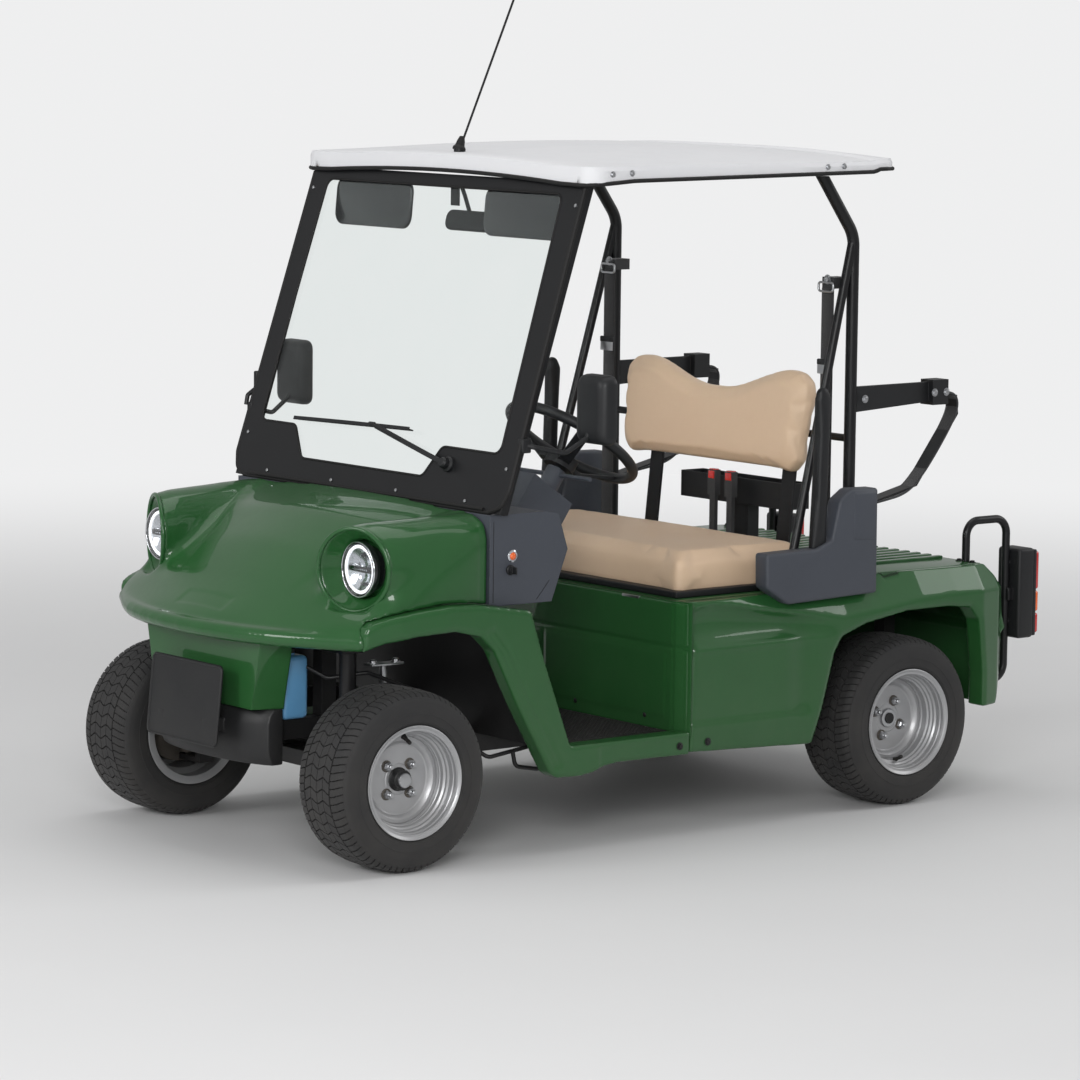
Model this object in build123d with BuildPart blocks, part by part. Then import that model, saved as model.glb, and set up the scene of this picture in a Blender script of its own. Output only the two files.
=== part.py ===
from build123d import *
import math
import os

os.makedirs("parts", exist_ok=True)

# Two-seat electric golf cart in millimetres. X points to the cart's left, Y to its tail, Z up.
# The origin is on the ground, at the centre of the overall box.

# ---- Driving dimensions: whole cart -------------------------------------------------
overall_length = 2500.0
front_overhang = 310.0
rear_overhang = 525.0
body_width = 1190.0
panel_wall = 4.0
seat_gap = 0.3

wheelbase = overall_length - front_overhang - rear_overhang
front_axle_y = front_overhang - overall_length / 2
rear_axle_y = front_axle_y + wheelbase
body_half = body_width / 2

# ---- Wheels -------------------------------------------------------------------------
tyre_diameter = 459.0
tyre_width = 204.0
rim_lip_radius = 143.9
bead_radius = 127.0
drop_radius = 112.0
rim_wall = 4.0
front_wheel_face = body_half - 5.0
rear_wheel_face = body_half - 17.0
front_disc_depth = 74.0
rear_disc_depth = 88.0
rim_width = 200.0
drum_radius = 92.0
drum_length = 46.0
hub_flange_radius = 66.0
hub_flange_thickness = 9.0
hub_cap_radius = 31.0
hub_cap_reach = 34.0
spindle_radius = 15.0
bore_clearance = 0.05
axle_height = tyre_diameter / 2

# ---- Steering -----------------------------------------------------------------------
kingpin_x = front_wheel_face - 170.0
kingpin_radius = 9.0
knuckle_radius = 21.0
knuckle_height = 118.0
yoke_gap = 6.0
yoke_thickness = 14.0
yoke_radius = 24.0
steering_arm_length = 84.0
steering_arm_height = 12.0
rack_above_arm = 8.0
rack_radius = 16.0
track_rod_radius = 8.0
axle_tube_radius = 38.0

# ---- Chassis ------------------------------------------------------------------------
rail_centre_x = 200.0
rail_width = 40.0
rail_height = 50.0
floor_z = 266.0
floor_sheet = 4.0
low_rail_z = floor_z - floor_sheet - rail_height
high_rail_z = 300.0
chassis_nose_y = front_axle_y - 180.0
front_riser_y = front_axle_y + 300.0
rear_riser_y = rear_axle_y - 380.0
chassis_tail_y = rear_axle_y + 330.0
riser_run = 45.0
deck_z = 638.0
spring_x = 270.0
spring_width = 50.0
spring_half_length = 320.0
spring_leaf = 14.0
spring_rise = 23.0

# ---- Floor and seat base ------------------------------------------------------------
mat_thickness = 8.0
toe_board_y = front_axle_y + 470.0
toe_board_top_y = front_axle_y + 345.0
toe_board_top_z = 560.0
seat_base_y = rear_axle_y - 800.0
seat_base_corner = 55.0
seat_base_rake = 18.0
cushion_z = 613.0
seat_base_top_z = cushion_z - seat_gap

# ---- Windshield ---------------------------------------------------------------------
windshield_foot_y = front_axle_y + 260.0
windshield_foot_z = 880.0
windshield_lean = 17.9
windshield_length = 846.0
windshield_half_low = body_half + 3.0
windshield_half_top = body_half - 11.0
windshield_sheet = 5.0
glass_thickness = 5.0

# ---- Hood and lamps -----------------------------------------------------------------
lamp_x = body_half - 152.0
lamp_y = front_axle_y - 86.0
lamp_z = 751.0
lamp_radius = 70.0
pod_radius = 108.0
bowl_radius = 102.0
pod_turn = 22.6

# ---- Cabin --------------------------------------------------------------------------
wheel_centre_x = 270.0
wheel_centre_y = front_axle_y + 735.0
wheel_centre_z = 1010.0
column_lean = 35.0
steering_wheel_radius = 178.0
steering_rim_radius = 14.0
cushion_half = body_half - 87.0
cushion_front_y = rear_axle_y - 762.0
cushion_back_y = rear_axle_y - 280.0
cushion_height = 102.0
backrest_half = body_half - 191.0
backrest_low_z = 884.0
backrest_hump_z = 1187.0
backrest_dip_z = 1134.0
backrest_front_y = rear_axle_y - 250.0
backrest_thickness = 62.0
backrest_lean = 6.0

# ---- Rear body and posts ------------------------------------------------------------
post_x = body_half - 95.0
post_radius = 16.0
post_y = rear_axle_y - 165.0
post_bend_z = 1542.0
post_top_y = rear_axle_y - 280.0
roof_half = body_half + 32.0
roof_front_y = windshield_foot_y + 248.0
roof_back_y = rear_axle_y - 120.0
roof_wall = 5.0
tail_x = body_half - 105.0
hoop_radius = 11.0
tail_y = overall_length / 2


def front_y(distance):
    """Y of a point this far behind the front axle."""
    return front_axle_y + distance


def rear_y(distance):
    """Y of a point this far behind the rear axle."""
    return rear_axle_y + distance


def side_plane(x):
    """Plane whose sketch axes are the cart's Y and Z, and whose normal is +X."""
    return Plane(origin=(x, 0, 0), x_dir=(0, 1, 0), z_dir=(1, 0, 0))


def cross_plane(y):
    """Plane whose sketch axes are the cart's X and Z, and whose normal is -Y."""
    return Plane(origin=(0, y, 0), x_dir=(1, 0, 0), z_dir=(0, -1, 0))


sides = (("left", 1), ("right", -1))

# ---- Wheels: rim with hub and drum, and tyre ------------------------------------------
# Columns: name, side, axle y, outer face x, disc depth behind the outer face.
wheels = (
    ("front_left", 1, front_axle_y, front_wheel_face, front_disc_depth),
    ("front_right", -1, front_axle_y, front_wheel_face, front_disc_depth),
    ("rear_left", 1, rear_axle_y, rear_wheel_face, rear_disc_depth),
    ("rear_right", -1, rear_axle_y, rear_wheel_face, rear_disc_depth),
)
lip_roll = 5.0
bead_seat = 34.0
drop_slope = 12.0
# The tyres are turned in flat facets. Columns: distance behind the wheel's outer face, radius.
tyre_facets = 48
tyre_bulge = (tyre_width - rim_width) / 2
tread_radius = tyre_diameter / 2
sidewall_foot = lip_roll + seat_gap
tyre_stations = (
    (sidewall_foot, rim_lip_radius + 2),
    (-tyre_bulge, rim_lip_radius + 34),
    (6, tread_radius - 20),
    (22, tread_radius - 4),
    (rim_width / 2 - 32, tread_radius),
    (rim_width / 2 + 32, tread_radius),
    (rim_width - 22, tread_radius - 4),
    (rim_width - 6, tread_radius - 20),
    (rim_width + tyre_bulge, rim_lip_radius + 34),
    (rim_width - sidewall_foot, rim_lip_radius + 2),
)


def tyre_ring(x, axle_y, radius):
    """Corners of a tyre's facets at one distance from the centre plane."""
    turns = [2 * math.pi * facet / tyre_facets for facet in range(tyre_facets)]
    return [
        (x, axle_y + radius * math.sin(turn), axle_height - radius * math.cos(turn))
        for turn in turns
    ]


for name, side, axle_y, face_x, disc_depth in wheels:
    # The sketch's first axis runs from the outer face inwards, its second is the radius.
    wheel_plane = Plane(
        origin=(side * face_x, axle_y, axle_height), x_dir=(-side, 0, 0), z_dir=(0, side, 0)
    )
    spin = Axis((side * face_x, axle_y, axle_height), (1, 0, 0))
    drop_start = lip_roll + bead_seat
    drop_end = rim_width - lip_roll - bead_seat
    with BuildPart() as rim:
        with BuildSketch(wheel_plane):
            with BuildLine():
                Polyline(
                    (0, rim_lip_radius),
                    (lip_roll, rim_lip_radius),
                    (lip_roll, bead_radius),
                    (drop_start, bead_radius),
                    (drop_start + drop_slope, drop_radius),
                    (drop_end - drop_slope, drop_radius),
                    (drop_end, bead_radius),
                    (rim_width - lip_roll, bead_radius),
                    (rim_width - lip_roll, rim_lip_radius),
                    (rim_width, rim_lip_radius),
                    (rim_width, bead_radius - rim_wall),
                    (drop_end + rim_wall, bead_radius - rim_wall),
                    (drop_end - drop_slope + rim_wall, drop_radius - rim_wall),
                    (drop_start + drop_slope - rim_wall, drop_radius - rim_wall),
                    (drop_start - rim_wall, bead_radius - rim_wall),
                    (0, bead_radius - rim_wall),
                    (0, rim_lip_radius),
                )
            make_face()
        revolve(axis=spin)
        with BuildSketch(wheel_plane):
            with BuildLine():
                Polyline(
                    (disc_depth - hub_cap_reach, 0),
                    (disc_depth - hub_cap_reach, hub_cap_radius),
                    (disc_depth, hub_cap_radius),
                    (disc_depth, drop_radius - 3 * drop_slope),
                    (disc_depth - drop_slope, drop_radius - drop_slope),
                    (disc_depth - drop_slope, drop_radius - rim_wall / 2),
                    (disc_depth - drop_slope + rim_wall, drop_radius - rim_wall / 2),
                    (disc_depth + rim_wall, drop_radius - 2 * drop_slope),
                    (disc_depth + hub_flange_thickness, hub_flange_radius),
                    (disc_depth + hub_flange_thickness, drum_radius),
                    (disc_depth + hub_flange_thickness + drum_length, drum_radius),
                    (disc_depth + hub_flange_thickness + drum_length, 0),
                    (disc_depth - hub_cap_reach, 0),
                )
            make_face()
        revolve(axis=spin)
        hub_back = disc_depth + hub_flange_thickness + drum_length
        bore_depth = hub_back - disc_depth + hub_cap_reach / 2
        with BuildSketch(Plane(origin=(side * (face_x - hub_back), axle_y, axle_height),
                               x_dir=(0, 1, 0), z_dir=(side, 0, 0))):
            Circle(spindle_radius + bore_clearance)
        extrude(amount=bore_depth, mode=Mode.SUBTRACT)
    rim.part.label = name + "_rim"
    export_step(rim.part, "parts/" + name + "_rim.step")

    bore = (bead_radius + seat_gap) / math.cos(math.pi / tyre_facets)
    with BuildPart() as tyre:
        crown_rings = []
        for station, radius in tyre_stations[1:-1]:
            crown_rings += tyre_ring(side * (face_x - station), axle_y, radius)
        ConvexPolyhedron(crown_rings)
        # Both sidewalls dish in to the bead.
        for bead, bulge in (tyre_stations[:2], tyre_stations[:-3:-1]):
            dish_rings = []
            for station, radius in (bead, bulge):
                dish_rings += tyre_ring(side * (face_x - station), axle_y, radius)
            ConvexPolyhedron(dish_rings, mode=Mode.SUBTRACT)
        bore_rings = []
        for station in (-tyre_width, tyre_width + rim_width):
            bore_rings += tyre_ring(side * (face_x - station), axle_y, bore)
        ConvexPolyhedron(bore_rings, mode=Mode.SUBTRACT)
    tyre.part.label = name + "_tyre"
    export_step(tyre.part, "parts/" + name + "_tyre.step")

# ---- Knuckles: kingpin, spindle and steering arm --------------------------------------
spindle_end_x = front_wheel_face - front_disc_depth + hub_cap_reach / 2 - 6
arm_z = axle_height - steering_arm_height / 2
for name, side in sides:
    with BuildPart() as knuckle:
        with BuildSketch(Plane.XY.offset(axle_height - knuckle_height / 2)):
            with Locations((side * kingpin_x, front_axle_y)):
                Circle(knuckle_radius)
        extrude(amount=knuckle_height)
        with BuildSketch(Plane.XY.offset(axle_height - knuckle_height / 2 - yoke_gap - yoke_thickness)):
            with Locations((side * kingpin_x, front_axle_y)):
                Circle(kingpin_radius)
        extrude(amount=knuckle_height + 2 * (yoke_gap + yoke_thickness))
        with BuildSketch(Plane(origin=(side * kingpin_x, front_axle_y, axle_height),
                               x_dir=(0, 1, 0), z_dir=(side, 0, 0))):
            Circle(spindle_radius)
        extrude(amount=spindle_end_x - kingpin_x)
        with BuildSketch(Plane.XY.offset(arm_z)):
            with BuildLine():
                Polyline(
                    (side * (kingpin_x + 10), front_axle_y),
                    (side * (kingpin_x + 2), front_y(steering_arm_length)),
                    (side * (kingpin_x - 26), front_y(steering_arm_length)),
                    (side * (kingpin_x - 12), front_axle_y),
                    (side * (kingpin_x + 10), front_axle_y),
                )
            make_face()
        extrude(amount=steering_arm_height)
    knuckle.part.label = "knuckle_" + name
    export_step(knuckle.part, "parts/knuckle_" + name + ".step")

# ---- Front suspension: beam with yokes, arms, dampers, rack and track rods ------------
beam_half_height = 20.0
yoke_web_x = kingpin_x - 64.0
yoke_low_z = axle_height - knuckle_height / 2 - yoke_gap - yoke_thickness
yoke_span = knuckle_height + 2 * (yoke_gap + yoke_thickness)
damper_x = 300.0
damper_radius = 22.0
tower_z = 520.0
arm_x = 120.0
lower_arm_width = 30.0
rack_z = arm_z + steering_arm_height + rack_above_arm + track_rod_radius
crossmember_width = 40.0
with BuildPart() as front_suspension:
    with BuildSketch(cross_plane(front_axle_y + beam_half_height)):
        with Locations((0, axle_height)):
            Rectangle(2 * yoke_web_x, 2 * beam_half_height)
        for name, side in sides:
            with Locations((side * (yoke_web_x - 10), axle_height)):
                Rectangle(20, yoke_span)
    extrude(amount=2 * beam_half_height)
    for low_z in (yoke_low_z, yoke_low_z + yoke_span - yoke_thickness):
        with BuildSketch(Plane.XY.offset(low_z)):
            for name, side in sides:
                with Locations((side * kingpin_x, front_axle_y)):
                    Circle(yoke_radius)
                with Locations((side * (kingpin_x + yoke_web_x - 20) / 2, front_axle_y)):
                    Rectangle(kingpin_x - yoke_web_x + 20, 2 * beam_half_height)
        extrude(amount=yoke_thickness)
    with BuildSketch(Plane.XY.offset(yoke_low_z)):
        for name, side in sides:
            with Locations((side * kingpin_x, front_axle_y)):
                Circle(kingpin_radius + bore_clearance)
    extrude(amount=yoke_span, mode=Mode.SUBTRACT)
    with BuildSketch(Plane.XY.offset(axle_height + beam_half_height - 1)):
        for name, side in sides:
            with Locations((side * damper_x, front_axle_y)):
                Circle(damper_radius)
    extrude(amount=tower_z - axle_height - beam_half_height + 1)
    with BuildSketch(Plane.XY.offset(axle_height - beam_half_height)):
        for name, side in sides:
            with Locations((side * arm_x, (front_axle_y + front_riser_y) / 2)):
                Rectangle(lower_arm_width, front_riser_y - front_axle_y)
    extrude(amount=lower_arm_width / 2)
    with BuildSketch(side_plane(0)):
        with Locations((front_y(steering_arm_length - 12), rack_z)):
            Circle(rack_radius)
    extrude(amount=arm_x + 90, both=True)
    with BuildSketch(side_plane(0)):
        with Locations((front_y(steering_arm_length - 12), rack_z)):
            Circle(track_rod_radius)
    extrude(amount=kingpin_x - 12, both=True)
    with BuildSketch(Plane.XY.offset(axle_height)):
        with Locations((0, front_y((steering_arm_length - 12) / 2))):
            Rectangle(60, steering_arm_length - 12)
    extrude(amount=rack_z - axle_height)
front_suspension.part.label = "front_suspension"
export_step(front_suspension.part, "parts/front_suspension.step")

# ---- Chassis frame: two cranked rails, crossmembers and damper towers -----------------
tower_plate = 8.0
with BuildPart() as chassis_frame:
    for name, side in sides:
        with BuildSketch(side_plane(side * rail_centre_x)):
            with BuildLine():
                Polyline(
                    (chassis_nose_y, high_rail_z),
                    (front_riser_y, high_rail_z),
                    (front_riser_y + riser_run, low_rail_z),
                    (rear_riser_y - riser_run, low_rail_z),
                    (rear_riser_y, high_rail_z),
                    (chassis_tail_y, high_rail_z),
                    (chassis_tail_y, high_rail_z + rail_height),
                    (rear_riser_y - riser_run, high_rail_z + rail_height),
                    (rear_riser_y - 2 * riser_run, low_rail_z + rail_height),
                    (front_riser_y + 2 * riser_run, low_rail_z + rail_height),
                    (front_riser_y + riser_run, high_rail_z + rail_height),
                    (chassis_nose_y, high_rail_z + rail_height),
                    (chassis_nose_y, high_rail_z),
                )
            make_face()
        extrude(amount=rail_width / 2, both=True)
    # Columns: y of the crossmember's centre, z of its underside.
    for cross_y, cross_z in (
        (chassis_nose_y + crossmember_width / 2, high_rail_z),
        (front_riser_y + crossmember_width / 2, high_rail_z),
        (seat_base_y, low_rail_z),
        (rear_riser_y + crossmember_width, high_rail_z),
        (chassis_tail_y - crossmember_width / 2, high_rail_z),
    ):
        with BuildSketch(Plane.XY.offset(cross_z)):
            with Locations((0, cross_y)):
                Rectangle(2 * rail_centre_x, crossmember_width)
        extrude(amount=rail_height)
    with BuildSketch(Plane.XY.offset(axle_height - beam_half_height)):
        with Locations((0, front_riser_y + crossmember_width / 2)):
            Rectangle(2 * rail_centre_x, crossmember_width)
    extrude(amount=high_rail_z - axle_height + beam_half_height)
    for name, side in sides:
        with BuildSketch(Plane.XY.offset(high_rail_z + rail_height)):
            with Locations((side * rail_centre_x, front_axle_y)):
                Rectangle(rail_width, 2 * damper_radius)
        extrude(amount=tower_z - high_rail_z - rail_height)
        with BuildSketch(Plane.XY.offset(tower_z)):
            with Locations((side * (rail_centre_x + damper_x) / 2, front_axle_y)):
                Rectangle(damper_x - rail_centre_x + 2 * damper_radius, 2 * damper_radius + 20)
        extrude(amount=tower_plate)
    # Spring hangers under the rails' outer sides, and stand-offs that carry the rear body.
    spring_end_z = axle_height + axle_tube_radius + spring_rise + spring_leaf
    with BuildSketch(Plane.XY.offset(spring_end_z)):
        for name, side in sides:
            hanger_x = (rail_centre_x + spring_x + spring_width / 2) / 2
            hanger_width = spring_x + spring_width / 2 - rail_centre_x
            for end in (-1, 1):
                with Locations((side * hanger_x, rear_axle_y + end * spring_half_length)):
                    Rectangle(hanger_width, crossmember_width)
    extrude(amount=high_rail_z + rail_height - spring_end_z)
    # Columns: y of the stand-off, z of the panel that it carries.
    for stand_y, stand_z in (
        (rear_riser_y + crossmember_width, seat_base_top_z - panel_wall),
        (rear_axle_y + 250, deck_z - panel_wall),
    ):
        with BuildSketch(Plane.XY.offset(high_rail_z + rail_height)):
            for name, side in sides:
                with Locations((side * rail_centre_x, stand_y)):
                    Rectangle(rail_width, rail_width)
        extrude(amount=stand_z - high_rail_z - rail_height)
chassis_frame.part.label = "chassis_frame"
export_step(chassis_frame.part, "parts/chassis_frame.step")

# ---- Rear axle with differential, springs and stub shafts; motor; battery -------------
drum_face_x = rear_wheel_face - rear_disc_depth - hub_flange_thickness - drum_length
axle_end_x = drum_face_x - 7
rear_spindle_end = rear_wheel_face - rear_disc_depth + hub_cap_reach / 2 - 6
differential_radius = 92.0
differential_half = 75.0
with BuildPart() as rear_axle:
    with BuildSketch(side_plane(0)):
        with Locations((rear_axle_y, axle_height)):
            Circle(spindle_radius)
    extrude(amount=rear_spindle_end, both=True)
    with BuildSketch(side_plane(0)):
        with Locations((rear_axle_y, axle_height)):
            Circle(axle_tube_radius)
    extrude(amount=axle_end_x, both=True)
    with BuildSketch(side_plane(0)):
        with Locations((rear_axle_y, axle_height)):
            Circle(differential_radius)
    extrude(amount=differential_half, both=True)
    saddle_z = axle_height + axle_tube_radius
    for name, side in sides:
        with BuildSketch(side_plane(side * spring_x)):
            with BuildLine():
                Polyline(
                    (rear_y(-spring_half_length - 20), saddle_z + spring_rise),
                    (rear_y(-spring_half_length + 20), saddle_z + spring_rise),
                    (rear_y(-60), saddle_z),
                    (rear_y(-40), saddle_z - 6),
                    (rear_y(40), saddle_z - 6),
                    (rear_y(60), saddle_z),
                    (rear_y(spring_half_length - 20), saddle_z + spring_rise),
                    (rear_y(spring_half_length + 20), saddle_z + spring_rise),
                    (rear_y(spring_half_length + 20), saddle_z + spring_rise + spring_leaf),
                    (rear_y(spring_half_length - 20), saddle_z + spring_rise + spring_leaf),
                    (rear_y(60), saddle_z + spring_leaf),
                    (rear_y(-60), saddle_z + spring_leaf),
                    (rear_y(-spring_half_length + 20), saddle_z + spring_rise + spring_leaf),
                    (rear_y(-spring_half_length - 20), saddle_z + spring_rise + spring_leaf),
                    (rear_y(-spring_half_length - 20), saddle_z + spring_rise),
                )
            make_face()
        extrude(amount=spring_width / 2, both=True)
rear_axle.part.label = "rear_axle"
export_step(rear_axle.part, "parts/rear_axle.step")

motor_radius = 86.0
motor_length = 240.0
motor_back_y = rear_y(-differential_radius)
with BuildPart() as drive_motor:
    with BuildSketch(cross_plane(motor_back_y + 30)):
        with Locations((0, axle_height)):
            Circle(motor_radius)
    extrude(amount=motor_length)
    with BuildSketch(side_plane(0)):
        with Locations((rear_axle_y, axle_height)):
            Circle(differential_radius + seat_gap)
    extrude(amount=differential_half + 20, both=True, mode=Mode.SUBTRACT)
    with BuildSketch(side_plane(0)):
        with Locations((rear_axle_y, axle_height)):
            Circle(axle_tube_radius + 20)
    extrude(amount=axle_end_x, both=True, mode=Mode.SUBTRACT)
drive_motor.part.label = "drive_motor"
export_step(drive_motor.part, "parts/drive_motor.step")

battery_half = 330.0
battery_front_y = seat_base_y + 34.0
battery_back_y = rear_riser_y - 2 * riser_run - 12
battery_top_z = 560.0
battery_edge = 12.0
with BuildPart() as battery_pack:
    with BuildSketch(Plane.XY.offset(floor_z - floor_sheet)):
        with Locations((0, (battery_front_y + battery_back_y) / 2)):
            Rectangle(2 * battery_half, battery_back_y - battery_front_y)
    extrude(amount=battery_top_z - floor_z + floor_sheet)
    chamfer(battery_pack.edges().group_by(Axis.Z)[-1], battery_edge)
battery_pack.part.label = "battery_pack"
export_step(battery_pack.part, "parts/battery_pack.step")

# ---- Floor tray with toe board, and the mat -------------------------------------------
panel_flange = 60.0
floor_half = body_half - panel_flange - seat_gap
with BuildPart() as floor_tray:
    with BuildSketch(side_plane(0)):
        with BuildLine():
            Polyline(
                (seat_base_y - seat_gap, floor_z),
                (toe_board_y, floor_z),
                (toe_board_top_y, toe_board_top_z),
                (toe_board_top_y - floor_sheet, toe_board_top_z),
                (toe_board_y - floor_sheet, floor_z - floor_sheet),
                (seat_base_y - seat_gap, floor_z - floor_sheet),
                (seat_base_y - seat_gap, floor_z),
            )
        make_face()
    extrude(amount=floor_half, both=True)
floor_tray.part.label = "floor_tray"
export_step(floor_tray.part, "parts/floor_tray.step")

mat_margin = 8.0
with BuildPart() as floor_mat:
    with BuildSketch(Plane.XY.offset(floor_z)):
        with Locations((0, (toe_board_y + seat_base_y) / 2)):
            Rectangle(2 * (floor_half - mat_margin), seat_base_y - toe_board_y - 2 * mat_margin)
    extrude(amount=mat_thickness)
floor_mat.part.label = "floor_mat"
export_step(floor_mat.part, "parts/floor_mat.step")

# ---- Side panels: front fender, leg and sill, as a tray open towards the cart ---------
# The seam under the hood. Columns: distance behind the front axle, height.
fender_seam = ((-150, 598), (-110, 621), (-55, 640), (20, 656), (110, 664), (200, 660), (355, 633))
leg_foot_y = 486.0
sill_run = seat_base_y - front_axle_y - leg_foot_y
# From the rear edge of the leg round the sill and the wheel arch to the fender's front end.
leg_and_arch = (
    (392, 521), (leg_foot_y, floor_z + 10), (seat_base_y - seat_gap - front_axle_y, floor_z + 10),
    (seat_base_y - seat_gap - front_axle_y, 220), (leg_foot_y + 0.343 * sill_run, 219),
    (leg_foot_y + 0.164 * sill_run, 200), (444, 200), (424, 210),
    (319, 391), (242, 539), (200, 578), (120, 597), (15, 591), (-75, 580), (-158, 571),
)
fender_nose_half = body_half - 47.0
fender_full_y = front_y(90.0)


def fender_layer(side, shrink):
    """Solid of a side panel, drawn in by this much on every side but the open inner one."""
    with BuildPart() as layer:
        with BuildSketch(side_plane(side * (body_half - panel_flange))):
            with BuildLine():
                Polyline(*[(front_y(y), z) for y, z in fender_seam + leg_and_arch], close=True)
            make_face()
            if shrink:
                offset(amount=-shrink, kind=Kind.INTERSECTION, mode=Mode.REPLACE)
        extrude(amount=side * (panel_flange - shrink))
        # The skin draws in towards the nose.
        with BuildSketch(Plane.XY):
            with BuildLine():
                Polyline(
                    (side * (fender_nose_half - shrink), front_y(-400)),
                    (side * (fender_nose_half - shrink), front_y(-158)),
                    (side * (body_half - shrink), fender_full_y),
                    (side * (body_half + 50), fender_full_y),
                    (side * (body_half + 50), front_y(-400)),
                    close=True,
                )
            make_face()
        extrude(amount=2 * tower_z, mode=Mode.SUBTRACT)
    return layer.part


for name, side in sides:
    panel_body = fender_layer(side, 0)
    panel_hollow = fender_layer(side, panel_wall)
    with BuildPart() as side_panel:
        add(panel_body)
        add(panel_hollow, mode=Mode.SUBTRACT)
    side_panel.part.label = "side_panel_" + name
    export_step(side_panel.part, "parts/side_panel_" + name + ".step")

# ---- Hood: crowned shell with a rounded lip and two lamp pods -------------------------
hood_back_y = windshield_foot_y - 10
lip_low_z = 555.0
# Sections from nose to cowl. Columns: distance behind the front axle, half width,
# height where the side turns into the top, height of the crown.
hood_sections = (
    (-front_overhang, 80, 566, 582),
    (-294, 200, 570, 598),
    (-262, 316, 578, 622),
    (-200, 432, 592, 662),
    (-135, body_half - 53, 610, 708),
    (-40, body_half - 39, 668, 774),
    (90, body_half - 33, 770, 844),
    (180, body_half - 37, 822, 868),
    (250, body_half - 53, 852, 882),
)


def hood_layer(shrink):
    """Solid under the hood's top skin, drawn in by this much, without the pods."""
    low_z = lip_low_z - 2 * shrink
    with BuildPart() as layer:
        last = len(hood_sections) - 1
        for index, (station, half, turn_z, crown_z) in enumerate(hood_sections):
            section_y = front_y(station) + (shrink if index < last else 0)
            if index == last:
                section_y = hood_back_y + 2 * shrink
            wide = half - shrink
            with BuildSketch(cross_plane(section_y)):
                with BuildLine():
                    Line((-wide, low_z), (wide, low_z))
                    Line((wide, low_z), (wide, turn_z - shrink))
                    ThreePointArc(
                        (wide, turn_z - shrink), (0, crown_z - shrink), (-wide, turn_z - shrink)
                    )
                    Line((-wide, turn_z - shrink), (-wide, low_z))
                make_face()
        loft(ruled=True)
    return layer.part


def tilted_plane(side, point_x, point_y, point_z, turn):
    """Plane facing the nose, turned outwards by an angle."""
    return Plane(
        origin=(side * point_x, point_y, point_z),
        x_dir=(math.cos(math.radians(turn)), side * math.sin(math.radians(turn)), 0),
        z_dir=(side * math.sin(math.radians(turn)), -math.cos(math.radians(turn)), 0),
    )


pod_back_x = body_half - 117.0
pod_back_y = windshield_foot_y - 32
pod_back_z = 806.0
pod_back_radius = 62.0
bowl_floor_y = lamp_y + 46
bowl_floor_radius = lamp_radius + 4
lamp_can_radius = 56.0


def pod_layer(side, shrink):
    """Lamp pod from its turned front ring back to the cowl."""
    with BuildPart() as layer:
        with BuildSketch(tilted_plane(side, lamp_x, lamp_y + shrink, lamp_z, pod_turn)):
            Circle(pod_radius - shrink)
        with BuildSketch(cross_plane(pod_back_y)):
            with Locations((side * pod_back_x, pod_back_z)):
                Circle(pod_back_radius - shrink)
        loft(ruled=True)
    return layer.part


def bowl_layer(side, grow):
    """Reflector bowl round a lamp, from its front ring down to its floor."""
    with BuildPart() as layer:
        with BuildSketch(tilted_plane(side, lamp_x, lamp_y - (0 if grow else 1), lamp_z, pod_turn)):
            Circle(bowl_radius + grow)
        with BuildSketch(cross_plane(bowl_floor_y + grow)):
            with Locations((side * lamp_x, lamp_z)):
                Circle(bowl_floor_radius + grow)
        loft(ruled=True)
    return layer.part


hood_body = hood_layer(0)
hood_hollow = hood_layer(panel_wall)
pods = [pod_layer(side, 0) for name, side in sides]
pod_hollows = [pod_layer(side, panel_wall) for name, side in sides]
bowl_walls = [bowl_layer(side, panel_wall) for name, side in sides]
bowls = [bowl_layer(side, 0) for name, side in sides]
with BuildPart() as hood:
    add(hood_body)
    add(pods)
    add(hood_hollow, mode=Mode.SUBTRACT)
    add(pod_hollows, mode=Mode.SUBTRACT)
    add(bowl_walls)
    add(bowls, mode=Mode.SUBTRACT)
    for name, side in sides:
        with BuildSketch(cross_plane(bowl_floor_y + 2 * panel_wall)):
            with Locations((side * lamp_x, lamp_z)):
                Circle(lamp_can_radius + seat_gap)
        extrude(amount=3 * panel_wall, mode=Mode.SUBTRACT)
    # The side edges follow the fenders' seam.
    with BuildSketch(side_plane(0)):
        with BuildLine():
            Polyline(
                *[(front_y(y), z + seat_gap) for y, z in fender_seam],
                (front_y(400), lip_low_z - 100),
                (front_y(fender_seam[0][0]), lip_low_z - 100),
                close=True,
            )
        make_face()
    extrude(amount=body_half + 10, both=True, mode=Mode.SUBTRACT)
hood.part.label = "hood"
export_step(hood.part, "parts/hood.step")

lamp_depth = bowl_floor_y - lamp_y
with BuildPart() as headlamps:
    for name, side in sides:
        with BuildSketch(cross_plane(bowl_floor_y)):
            with Locations((side * lamp_x, lamp_z)):
                Circle(lamp_radius)
        extrude(amount=lamp_depth)
        with BuildSketch(cross_plane(bowl_floor_y + 40)):
            with Locations((side * lamp_x, lamp_z)):
                Circle(lamp_can_radius)
        extrude(amount=41)
headlamps.part.label = "headlamps"
export_step(headlamps.part, "parts/headlamps.step")

# ---- Front apron under the lip, and the bumper with its bare plate holder -------------
apron_y = front_y(-236)
apron_half_top = 258.0
apron_half_low = 218.0
apron_low_z = 384.0
apron_top_z = lip_low_z + 8
apron_depth = 80.0
apron_flare = 26.0


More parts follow.
